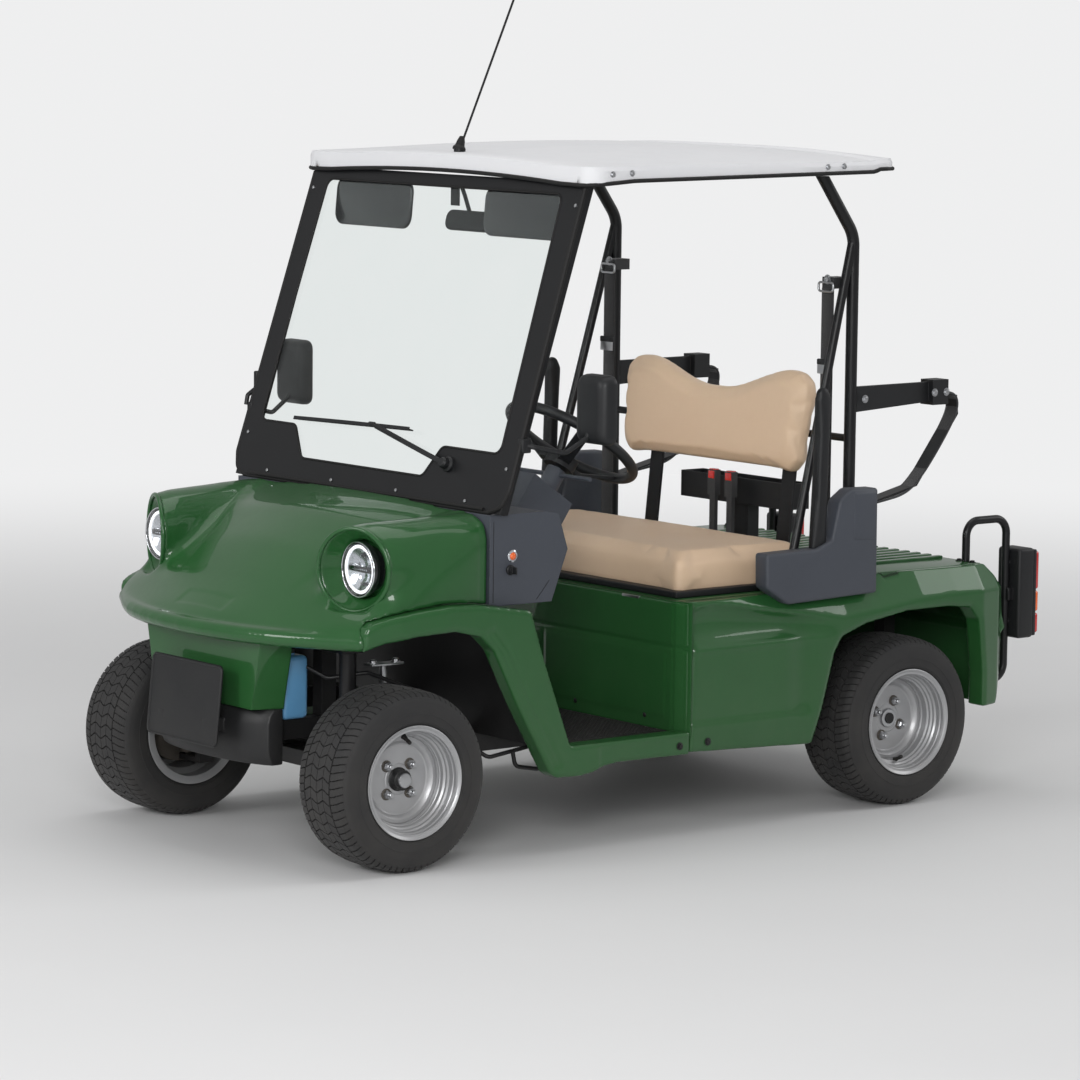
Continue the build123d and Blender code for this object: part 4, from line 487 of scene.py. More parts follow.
def carved(piece: bpy.types.Object, tools: Iterable[bpy.types.Object],
           operation: str = "DIFFERENCE") -> bpy.types.Object:
    """Cuts tools out of a solid, or unites them with it, and removes them.

    Args:
        piece: the solid.
        tools: closed solids.
        operation: DIFFERENCE, UNION or INTERSECT.

    Returns:
        The same object.
    """
    for tool in tools:
        modified(piece, "BOOLEAN", object=tool, operation=operation, solver="EXACT")
        bpy.data.objects.remove(tool)
    return piece


def corners_of(piece: bpy.types.Object) -> np.ndarray:
    """Places of a piece's vertices."""
    places = np.empty(len(piece.data.vertices) * 3)
    piece.data.vertices.foreach_get("co", places)
    return places.reshape(-1, 3)


def put_corners(piece: bpy.types.Object, places: np.ndarray) -> None:
    """Moves a piece's vertices to new places."""
    piece.data.vertices.foreach_set("co", places.ravel())
    piece.data.update()


def loft(name: str, rings: Sequence[Sequence[Point]], finish: Finish, capped: bool = True,
         crease: float = 35.0) -> bpy.types.Object:
    """Skin over rings with the same number of points each.

    Args:
        name: the object's name.
        rings: the rings in order, each going the same way round.
        finish: the finish.
        capped: whether the first and last ring are closed with a face.
        crease: angle in degrees above which an edge stays hard.

    Returns:
        The new object.
    """
    count = len(rings[0])
    corners = [point for ring in rings for point in ring]
    faces: list[tuple[int, ...]] = []
    for level in range(len(rings) - 1):
        for step in range(count):
            after = (step + 1) % count
            faces.append((level * count + step, level * count + after,
                          (level + 1) * count + after, (level + 1) * count + step))
    if capped:
        faces.append(tuple(range(count)))
        faces.append(tuple(range((len(rings) - 1) * count, len(rings) * count)))
    return shown(name, corners, faces, finish, crease)


def turned(name: str, profile: Sequence[Flat], finish: Finish, centre: Point, axis: Point,
           segments: int = 64, crease: float = 30.0) -> bpy.types.Object:
    """Closed solid turned from a closed profile.

    Args:
        name: the object's name.
        profile: points as (distance along the axis, radius), round the profile.
        finish: the finish.
        centre: where the axis starts.
        axis: the axis's direction.
        segments: flats round the axis.
        crease: angle in degrees above which an edge stays hard.

    Returns:
        The new object.
    """
    along = Vector(axis).normalized()
    across = along.orthogonal().normalized()
    third = along.cross(across)
    middle = Vector(centre)
    corners = []
    for turn in turns(segments):
        out = across * math.cos(turn) + third * math.sin(turn)
        corners += [middle + along * reach + out * radius for reach, radius in profile]
    count = len(profile)
    faces = []
    for step in range(segments):
        after = (step + 1) % segments
        for index in range(count):
            follow = (index + 1) % count
            ends = [step * count + index, after * count + index, after * count + follow,
                    step * count + follow]
            if profile[index][1] < 1e-7 and profile[follow][1] < 1e-7:
                continue
            if profile[index][1] < 1e-7:
                ends.pop(1)
            elif profile[follow][1] < 1e-7:
                ends.pop(2)
            faces.append(tuple(ends))
    return shown(name, corners, faces, finish, crease)


def prism(name: str, outline: Sequence[Point], push: Point, finish: Finish) -> bpy.types.Object:
    """Solid that a flat outline sweeps along a straight push."""
    step = Vector(push)
    rings = [[Vector(corner) for corner in outline], [Vector(corner) + step for corner in outline]]
    return loft(name, rings, finish)


def side_prism(name: str, outline: Sequence[Flat], one_x: float, other_x: float,
               finish: Finish) -> bpy.types.Object:
    """Prism across the cart of a side outline given as (y, z)."""
    low_x, high_x = sorted((one_x, other_x))
    return prism(name, [(low_x, y, z) for y, z in outline], (high_x - low_x, 0, 0), finish)


def block(name: str, one: Point, other: Point, finish: Finish, edge: float = 0.003,
          segments: int = 3) -> bpy.types.Object:
    """Block between two opposite corners, with rounded edges."""
    (left, right), (near, far), (low, high) = (sorted(span) for span in zip(one, other))
    outline = [(left, near, low), (right, near, low), (right, far, low), (left, far, low)]
    piece = prism(name, outline, (0, 0, high - low), finish)
    return bevelled(piece, edge, segments) if edge else piece


def path_mesh(name: str, runs: Sequence[Sequence[Point]], closed: bool = False) -> bpy.types.Object:
    """Object whose edges follow one or more polylines."""
    corners: list[Point] = []
    edges = []
    for run in runs:
        start = len(corners)
        corners += [tuple(point) for point in run]
        edges += [(start + step, start + step + 1) for step in range(len(run) - 1)]
        if closed:
            edges.append((len(corners) - 1, start))
    mesh = bpy.data.meshes.new(name)
    mesh.from_pydata(corners, edges, [])
    return brought(name, mesh)


class Spread:
    """A Geometry Nodes tree with named inputs that makes what repeats or follows a path."""

    def __init__(self, name: str, inputs: dict[str, tuple[str, object]],
                 body: Callable[[Wiring, dict], bpy.types.NodeSocket]) -> None:
        """Builds the tree.

        Args:
            name: the tree's name.
            inputs: socket name to socket type and default.
            body: makes the shape from the wiring and the named outputs of the group's input.
        """
        self.tree = bpy.data.node_groups.new(name, "GeometryNodeTree")
        self.tree.is_modifier = True
        face = self.tree.interface
        face.new_socket(name="Geometry", in_out="OUTPUT", socket_type="NodeSocketGeometry")
        face.new_socket(name="Geometry", in_out="INPUT", socket_type="NodeSocketGeometry")
        for label, (kind, value) in inputs.items():
            socket = face.new_socket(name=label, in_out="INPUT", socket_type=kind)
            socket.default_value = value
        face.new_socket(name="Finish", in_out="INPUT", socket_type="NodeSocketMaterial")
        wire = Wiring(self.tree)
        given = wire.add("NodeGroupInput")
        named = {socket.name: socket for socket in given.outputs if socket.name}
        real = wire.add("GeometryNodeRealizeInstances", Geometry=body(wire, named))
        dressed = wire.add("GeometryNodeSetMaterial", Geometry=real.outputs[0],
                           Material=named["Finish"])
        wire.add("NodeGroupOutput", Geometry=dressed.outputs[0])

    def run(self, piece: bpy.types.Object, finish: Finish, crease: float = 35.0,
            **values: object) -> bpy.types.Object:
        """Runs the tree on a piece and freezes the result.

        Args:
            piece: the object that gives the tree its geometry.
            finish: the finish of what the tree makes.
            crease: angle in degrees above which an edge stays hard.
            values: input name to value.

        Returns:
            The same object, as a plain mesh.
        """
        modifier = piece.modifiers.new(self.tree.name, "NODES")
        modifier.node_group = self.tree
        for item in self.tree.interface.items_tree:
            if item.in_out == "INPUT" and item.name in values:
                modifier[item.identifier] = values[item.name]
            if item.in_out == "INPUT" and item.name == "Finish":
                modifier[item.identifier] = finish.material()
        freeze(piece)
        smooth(piece, crease)
        return piece


def ring_body(wire: Wiring, given: dict) -> bpy.types.NodeSocket:
    """Copies of the piece turned round the X axis, then moved to the centre."""
    points = wire.add("GeometryNodePoints", Count=given["Count"])
    turn = wire.math("DIVIDE", wire.math("MULTIPLY", wire.add("GeometryNodeInputIndex").outputs[0],
                                         2 * math.pi), given["Count"])
    euler = wire.add("ShaderNodeCombineXYZ", X=turn)
    rotation = wire.add("FunctionNodeEulerToRotation", Euler=euler.outputs[0])
    copies = wire.add("GeometryNodeInstanceOnPoints", Points=points.outputs[0],
                      Instance=given["Geometry"], Rotation=rotation.outputs[0])
    return wire.add("GeometryNodeTransform", Geometry=copies.outputs[0],
                    Translation=given["Centre"]).outputs[0]


def row_body(wire: Wiring, given: dict) -> bpy.types.NodeSocket:
    """Copies of the piece in rows and columns."""
    number = wire.add("GeometryNodeInputIndex").outputs[0]
    row = wire.math("FLOOR", wire.math("DIVIDE", number, given["Across"]))
    column = wire.math("SUBTRACT", number, wire.math("MULTIPLY", row, given["Across"]))
    total = wire.add("ShaderNodeVectorMath", {"operation": "ADD"})
    wire.feed(total.inputs[0], wire.scaled(given["Step"], column))
    wire.feed(total.inputs[1], wire.scaled(given["Rise"], row))
    points = wire.add("GeometryNodePoints",
                      Count=wire.math("MULTIPLY", given["Across"], given["Up"]),
                      Position=total.outputs[0])
    return wire.add("GeometryNodeInstanceOnPoints", Points=points.outputs[0],
                    Instance=given["Geometry"]).outputs[0]


def tube_body(wire: Wiring, given: dict) -> bpy.types.NodeSocket:
    """Tube along the piece's edges, its corners rounded."""
    line = wire.add("GeometryNodeMeshToCurve", Mesh=given["Geometry"])
    bent = wire.add("GeometryNodeFilletCurve", {"mode": "POLY"}, Curve=line.outputs[0],
                    Radius=given["Bend"], Count=7, Limit_Radius=True)
    section = wire.add("GeometryNodeCurvePrimitiveCircle", Radius=given["Radius"],
                       Resolution=given["Sides"])
    skin = wire.add("GeometryNodeCurveToMesh", Curve=bent.outputs[0],
                    Profile_Curve=section.outputs[0], Fill_Caps=True)
    return skin.outputs[0]


def bolt_body(wire: Wiring, given: dict) -> bpy.types.NodeSocket:
    """Bolt head with a washer on each point, standing along the point's aim."""
    head = wire.add("GeometryNodeMeshCylinder", Vertices=given["Sides"], Radius=given["Radius"],
                    Depth=given["Height"])
    raised = wire.add("GeometryNodeTransform", Geometry=head.outputs[0])
    lift = wire.add("ShaderNodeCombineXYZ", Z=wire.math("MULTIPLY", given["Height"], 0.5))
    wire.feed(raised.inputs["Translation"], lift.outputs[0])
    crown = wire.add("GeometryNodeMeshCone", Vertices=given["Sides"], Radius_Bottom=given["Radius"],
                     Radius_Top=wire.math("MULTIPLY", given["Radius"], 0.72),
                     Depth=wire.math("MULTIPLY", given["Height"], 0.3))
    top = wire.add("GeometryNodeTransform", Geometry=crown.outputs[0])
    peak = wire.add("ShaderNodeCombineXYZ", Z=given["Height"])
    wire.feed(top.inputs["Translation"], peak.outputs[0])
    washer = wire.add("GeometryNodeMeshCylinder", Vertices=18,
                      Radius=wire.math("MULTIPLY", given["Radius"], 1.45),
                      Depth=wire.math("MULTIPLY", given["Height"], 0.3))
    whole = wire.add("GeometryNodeJoinGeometry")
    for part in (raised, top, washer):
        wire.feed(whole.inputs[0], part.outputs[0])
    aim = wire.add("GeometryNodeInputNamedAttribute", {"data_type": "FLOAT_VECTOR"}, Name="aim")
    turn = wire.add("FunctionNodeAlignRotationToVector", {"axis": "Z"}, Vector=aim.outputs[0])
    return wire.add("GeometryNodeInstanceOnPoints", Points=given["Geometry"],
                    Instance=whole.outputs[0], Rotation=turn.outputs[0]).outputs[0]


RINGS = Spread("ring_of_copies", {"Count": ("NodeSocketInt", 12),
                                  "Centre": ("NodeSocketVector", (0, 0, 0))}, ring_body)
ROWS = Spread("rows_of_copies", {
    "Across": ("NodeSocketInt", 4), "Up": ("NodeSocketInt", 1),
    "Step": ("NodeSocketVector", (0.1, 0, 0)), "Rise": ("NodeSocketVector", (0, 0.1, 0))}, row_body)
TUBES = Spread("tube_on_path", {"Radius": ("NodeSocketFloat", 0.01),
                                "Bend": ("NodeSocketFloat", 0.02),
                                "Sides": ("NodeSocketInt", 16)}, tube_body)
BOLTS = Spread("bolt_set", {"Radius": ("NodeSocketFloat", 0.006),
                            "Height": ("NodeSocketFloat", 0.005),
                            "Sides": ("NodeSocketInt", 6)}, bolt_body)


def tube(name: str, runs: Sequence[Sequence[Point]], radius: float, finish: Finish,
         bend: float = 0.02, sides: int = 16, closed: bool = False) -> bpy.types.Object:
    """Round tubes along polylines with rounded corners."""
    return TUBES.run(path_mesh(name, runs, closed), finish, 50.0, Radius=radius, Bend=bend,
                     Sides=sides)


def bolts(name: str, seats: Sequence[tuple[Point, Point]], radius: float, height: float,
          finish: Finish, sides: int = 6) -> bpy.types.Object:
    """Bolt heads on a set of seats.

    Args:
        name: the object's name.
        seats: for each bolt, its place and the direction that it faces.
        radius: the head's radius.
        height: the head's height.
        finish: the finish.
        sides: the flats of the head.

    Returns:
        The bolts as one object.
    """
    mesh = bpy.data.meshes.new(name)
    mesh.from_pydata([place for place, aim in seats], [], [])
    aims = mesh.attributes.new("aim", "FLOAT_VECTOR", "POINT")
    aims.data.foreach_set("vector", [value for place, aim in seats for value in aim])
    return BOLTS.run(brought(name, mesh), finish, 30.0, Radius=radius, Height=height, Sides=sides)


def placed(piece: bpy.types.Object, body: str, slot: str, *nodes: str) -> bpy.types.Object:
    """Makes a finished piece ride on a body and stand for the nodes that it replaces."""
    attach(piece, body)
    if nodes:
        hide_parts(*nodes)
    log.info("%s: %d faces on %s", piece.name, len(piece.data.polygons), body)
    return piece


def bare_nodes(finishes: dict[str, Finish]) -> None:
    """Gives CAD nodes that stay in view their finishes."""
    for name, finish in finishes.items():
        dress(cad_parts[name], finish)
        log.info("%s: finished as %s", name, finish.name)


# ---- Body ------------------------------------------------------------------------------


def sheet_of(name: str, origin: Point, across: Point, up: Point, outline: Sequence[Flat],
             thick: float, finish: Finish, edge: float = 0.0) -> bpy.types.Object:
    """Flat piece with an outline in its own plane.

    Args:
        name: the object's name.
        origin: where the plane's own coordinates start.
        across: direction of the first coordinate.
        up: direction of the second coordinate.
        outline: the outline in the plane, anticlockwise.
        thick: thickness, ahead of the plane.
        finish: the finish.
        edge: radius of the rounded edges.

    Returns:
        The solid.
    """
    start, level, rise = Vector(origin), Vector(across), Vector(up)
    ahead = level.cross(rise) * thick
    corners = [tuple(start + level * u + rise * v) for u, v in outline]
    piece = prism(name, corners, tuple(ahead), finish)
    return bevelled(piece, edge, 3, 40) if edge else piece


def rounded(half_u: float, half_v: float, corner: float, middle: Flat = (0, 0),
            steps: int = 7) -> list[Flat]:
    """Outline of a rectangle with round corners."""
    outline = []
    for turn, (u, v) in enumerate(((1, 1), (-1, 1), (-1, -1), (1, -1))):
        for step in range(steps):
            angle = math.pi / 2 * (turn + step / (steps - 1))
            outline.append((middle[0] + u * (half_u - corner) + corner * math.cos(angle),
                            middle[1] + v * (half_v - corner) + corner * math.sin(angle)))
    return outline


def bands(value: np.ndarray, table: Sequence[Flat]) -> np.ndarray:
    """Straight-line interpolation in a table of (place, value)."""
    where, what = zip(*table)
    return np.interp(value, where, what)


def ridge(distance: np.ndarray, width: float) -> np.ndarray:
    """Rounded ridge of height 1 that falls off with distance."""
    return np.exp(-(distance / width) ** 2)


def line_distance(points: np.ndarray, line: Sequence[Sequence[float]]) -> np.ndarray:
    """Distance from points to a polyline, both flat or both in space."""
    near = np.full(len(points), 9.0)
    ends = np.array(line)
    for start, stop in zip(ends[:-1], ends[1:]):
        run = stop - start
        share = np.clip(((points - start) @ run) / (run @ run), 0, 1)
        near = np.minimum(near, np.linalg.norm(points - start - share[:, None] * run, axis=1))
    return near


@dataclass
class RearBody:
    """Moulded rear body: two sculpted quarters, a ribbed deck, a front wall and a tail."""

    low_x: float = 0.533
    high_x: float = 0.5965
    front_y: float = -0.0567
    voxel: float = 0.0055
    shoulder: tuple = ((-0.060, 0.592), (-0.020, 0.602), (0.030, 0.606), (0.090, 0.598),
                       (0.180, 0.580), (0.300, 0.560), (0.400, 0.545), (0.478, 0.537),
                       (0.600, 0.548), (0.750, 0.566), (0.876, 0.572), (1.057, 0.570))
    arch: tuple = ((1.050, 0.250), (0.987, 0.250), (0.987, 0.339), (0.966, 0.489), (0.934, 0.528),
                   (0.845, 0.537), (0.697, 0.535), (0.553, 0.513), (0.467, 0.484), (0.440, 0.443),
                   (0.405, 0.317), (0.370, 0.205))
    tail: tuple = ((1.022, 0.636), (1.095, 0.567), (1.139, 0.452), (1.111, 0.426), (1.083, 0.307))
    taper: tuple = ((0.975, 0), (1.055, 0.024), (1.139, 0.095))

    def drawn_in(self, y: np.ndarray, z: np.ndarray) -> np.ndarray:
        """How far the outer face lies inside the widest plane."""
        crease = bands(y, self.shoulder)
        scoop = 1 - ease(y, 0.26, 0.46)
        above = np.clip(z - crease, 0, None)
        deep = 0.012 * scoop + 0.62 * above
        share = np.clip((crease - z) / np.maximum(crease - 0.492, 0.01), 0, 1)
        under = 0.012 * scoop * (1 - share) + scoop * 0.027 * np.sin(math.pi * share) ** 0.8
        deep = np.where(z > crease, deep, under)
        trough = ridge(y - 0.325, 0.04) * ease(z, 0.25, 0.33)
        deep += 0.0075 * trough * (1 - ease(z, 0.46, 0.52))
        panel = ease(z, 0.285, 0.305) * (1 - ease(z, 0.47, 0.492)) * (1 - ease(y, 0.22, 0.33))
        deep += 0.0035 * panel
        deep += np.clip(0.285 - z, 0, None) * 0.10 * (y < 0.45)
        seam = np.abs(z - 0.492 - 0.02 * (y + 0.06))
        deep += 0.0042 * ridge(seam, 0.0038) * (1 - ease(y, 0.20, 0.30))
        corner = 0.004 + 0.015 * np.clip((z - 0.26) / 0.35, 0, 1)
        deep += np.clip(corner - (y - self.front_y), 0, None)
        deep += bands(y, self.taper)
        return deep

    def quarter(self, side: int) -> bpy.types.Object:
        """One sculpted side, with the wheel arch cut out of it."""
        outline = [(self.front_y, 0.222), (self.front_y, 0.6127), (0.510, 0.6127), (0.530, 0.638)]
        outline += list(self.tail) + list(self.arch)
        piece = side_prism(sided("rear_quarter", side), outline, side * self.low_x,
                           side * self.high_x, PAINT)
        carved(piece, [block("notch", (side * 0.500, 0.640, 0.612), (side * 0.578, 0.700, 0.66),
                             PAINT, 0)])

        def sculpt(places: np.ndarray) -> np.ndarray:
            """Moves the outer face to its drawn-in place."""
            x, y, z = places.T
            reach = np.abs(x)
            outer = np.clip((reach - self.low_x) / (self.high_x - self.low_x), 0, 1)
            tail = bands(y, self.taper)
            moved = reach - (self.drawn_in(y, z) - tail) * outer ** 1.5 - tail
            lip = 0.004 * (1 - ease(line_distance(places[:, 1:], self.arch[1:]), 0.004, 0.012))
            places[:, 0] = side * (moved - lip * outer)
            return places

        return remoulded(piece, self.voxel, 2, PAINT, sculpt)

    def deck(self) -> bpy.types.Object:
        """Deck with its step, the well under the seat and the front wall."""
        top = [(self.front_y, 0.6122), (0.510, 0.6122), (0.530, 0.6375), (1.020, 0.6375)]
        inner_y = self.front_y + 0.014
        outline = [(self.front_y, 0.262), *top, (1.020, 0.622), (0.532, 0.622), (0.512, 0.597),
                   (inner_y, 0.597), (inner_y, 0.262)]
        piece = side_prism("ribbed_deck", outline, -0.5345, 0.5345, PAINT)
        carved(piece, [block("well", (-0.43, 0.0, 0.58), (0.43, 0.40, 0.64), PAINT, 0),
                       block("access", (-0.40, -0.08, 0.30), (0.40, 0.0, 0.58), PAINT, 0)])
        bevelled(piece, 0.003, 2, 35)
        rib = block("rib", (-0.405, 0.560, 0.6365), (-0.385, 1.000, 0.6455), PAINT, 0.0035, 2)
        ROWS.run(rib, PAINT, 35, Across=19, Up=1, Step=(0.0439, 0, 0), Rise=(0, 0, 0))
        return joined("ribbed_deck_whole", [piece, rib])

    def tail_panel(self) -> bpy.types.Object:
        """Tail between the quarters."""
        ring = [(1.0195, 0.6370), *self.tail[1:], (1.050, 0.250), (1.036, 0.250), (1.068, 0.310),
                (1.096, 0.434), (1.122, 0.456), (1.082, 0.560), (1.010, 0.622)]
        ends = ((-0.536, 0.024), (-0.500, 0.0), (0.500, 0.0), (0.536, 0.024))
        rings = [[(x, y - back * ease(np.array(y), 1.0, 1.139), z) for y, z in ring]
                 for x, back in ends]
        return bevelled(loft("tail_panel", rings, PAINT), 0.008, 3, 25)

    def build(self) -> None:
        """Builds the rear body."""
        for side in SIDES:
            placed(self.quarter(side), "cart", "body_green", "rear_body")
        placed(self.deck(), "cart", "body_green", "rear_body")
        placed(self.tail_panel(), "cart", "body_green", "rear_body")
        seats = []
        for side in SIDES:
            seats += [((side * x, self.front_y - 0.019, 0.302), AHEAD) for x in (0.14, 0.43)]
            seats += [((side * x, 1.005, 0.638), Z_AXIS) for x in (0.464, 0.516)]
            seats += [((side * 0.5945, 0.0, 0.246), (side, 0, 0)),
                      ((side * 0.585, 0.93, 0.552), (side, 0, 0.2))]
        placed(bolts("body_bolts", seats, 0.007, 0.004, BLACK_STEEL), "cart", "black_steel")


@dataclass
class SidePanel:
    """Moulded fender, leg and sill of one side."""

    side: int
    low_x: float = 0.538
    high_x: float = 0.5965
    seam: tuple = ((-0.128, 0.604), (-0.122, 0.619), (-0.100, 0.631), (-0.055, 0.643),
                   (0.020, 0.654), (0.110, 0.662), (0.200, 0.658), (0.355, 0.633))
    leg: tuple = ((0.392, 0.521), (0.486, 0.276), (0.8647, 0.276), (0.8810, 0.276), (0.8810, 0.218),
                  (0.640, 0.219), (0.600, 0.214), (0.556, 0.201), (0.520, 0.197), (0.444, 0.198),
                  (0.424, 0.212))
    arch: tuple = ((0.424, 0.212), (0.319, 0.391), (0.242, 0.539), (0.200, 0.578), (0.120, 0.597),
                   (0.015, 0.591), (-0.075, 0.578), (-0.128, 0.560))

    def panel(self) -> bpy.types.Object:
        """The moulded panel."""
        outline = [(front(y), z) for y, z in self.seam + self.leg + self.arch[1:]]
        piece = side_prism(sided("fender", self.side), outline, self.side * self.low_x,
                           self.side * self.high_x, PAINT)
        arch = [(front(y), z) for y, z in self.arch]
        flutes = [[(front(y) + shift, z + 0.4 * shift) for y, z in
                   ((0.430, 0.225), (0.330, 0.395), (0.262, 0.530), (0.215, 0.585))]
                  for shift in (0.006, 0.022)]

        def sculpt(places: np.ndarray) -> np.ndarray:
            """Draws the nose in and cuts the flutes."""
            reach, y, z = np.abs(places[:, 0]), places[:, 1], places[:, 2]
            inward = bands(y - FRONT_AXLE, ((-0.128, 0.045), (-0.09, 0.034), (-0.03, 0.016),
                                            (0.09, 0.0)))
            outer = np.clip((reach - self.low_x) / 0.058, 0, 1)
            flat = places[:, 1:]
            groove = np.zeros(len(places))
            for line in flutes:
                groove += 0.0048 * ridge(line_distance(flat, line), 0.0048)
            rolled = 0.004 * (1 - ease(line_distance(flat, arch), 0.003, 0.012))
            step = 0.0025 * (1 - ease(z, 0.262, 0.268)) * (y - FRONT_AXLE > 0.58)
            places[:, 0] = self.side * (reach - inward - (groove + rolled + step) * outer)
            return places

        return remoulded(piece, 0.0052, 4, PAINT, sculpt)

    def build(self) -> None:
        """Builds the panel and its bolts."""
        placed(self.panel(), "cart", "body_green", sided("side_panel", self.side))
        seats = [((self.side * 0.5955, front(0.845), 0.243), (self.side, 0, 0))]
        sill_bolts = bolts(sided("sill_bolts", self.side), seats, 0.007, 0.004, BLACK_STEEL)
        placed(sill_bolts, "cart", "black_steel")


@dataclass
class SeatBase:
    """Moulded skin in front of the seat base, with its seam and corner strips."""

    low_z: float = 0.268
    high_z: float = 0.611

    def skin(self) -> bpy.types.Object:
        """The skin in front of the box."""
        plan = [(-0.5955, -0.0575), (-0.541, -0.0785), (0.541, -0.0785), (0.5955, -0.0575),
                (0.5900, -0.0560), (0.535, -0.0740), (-0.535, -0.0740), (-0.5900, -0.0560)]
        piece = prism("seat_base_skin", [(x, y, self.low_z) for x, y in plan],
                      (0, 0, self.high_z - self.low_z), PAINT)

        def sculpt(places: np.ndarray) -> np.ndarray:
            """Cuts the seam and the corner lines and lifts the middle panel."""
            x, y, z = places.T
            ahead = (y < -0.0565)
            seam = ridge(z - 0.492, 0.0036)
            lines = ridge(np.abs(x) - 0.541, 0.0036)
            raised = ease(np.abs(x), 0.0, 0.01) * (1 - ease(np.abs(x), 0.505, 0.515))
            raised *= ease(z, 0.300, 0.312) * (1 - ease(z, 0.470, 0.480))
            places[:, 1] += (0.0032 * np.maximum(seam, lines) - 0.0016 * raised) * ahead
            return places

        return remoulded(piece, 0.0042, 2, PAINT, sculpt)

    def build(self) -> None:
        """Builds the skin and the hinge tab at the cushion's front."""
        placed(self.skin(), "cart", "body_green")
        tab = block("seat_tab", (0.33, -0.079, 0.6045), (0.40, -0.070, 0.6115), ZINC, 0.0015, 2)
        placed(tab, "cart", "silver_steel")


@dataclass
class Covers:
    """Charcoal corner covers beside the seat."""

    outline: tuple = ((-0.538, 0.723), (-0.360, 0.726), (-0.310, 0.745), (-0.285, 0.850),
                      (-0.243, 0.878), (-0.150, 0.876), (-0.148, 0.595), (-0.460, 0.585),
                      (-0.536, 0.633))
    post: tuple = ((-0.236, 0.742), (-0.158, 0.738), (-0.158, 0.868), (-0.236, 0.868))

    def build(self) -> None:
        """Builds both covers, with the raised rear post on each."""
        cover_line, post_line = ([(REAR_AXLE + y, z) for y, z in line]
                                 for line in (self.outline, self.post))
        for side in SIDES:
            cover = side_prism(sided("corner_cover", side), cover_line, side * 0.5495,
                               side * 0.6025, CHARCOAL)
            bevelled(cover, 0.009, 4, 25)
            post = side_prism("post", post_line, side * 0.592, side * 0.6050, CHARCOAL)
            whole = joined(cover.name + "_whole", [cover, bevelled(post, 0.006, 3, 25)])
            placed(whole, "cart", "charcoal_plastic", "corner_covers")


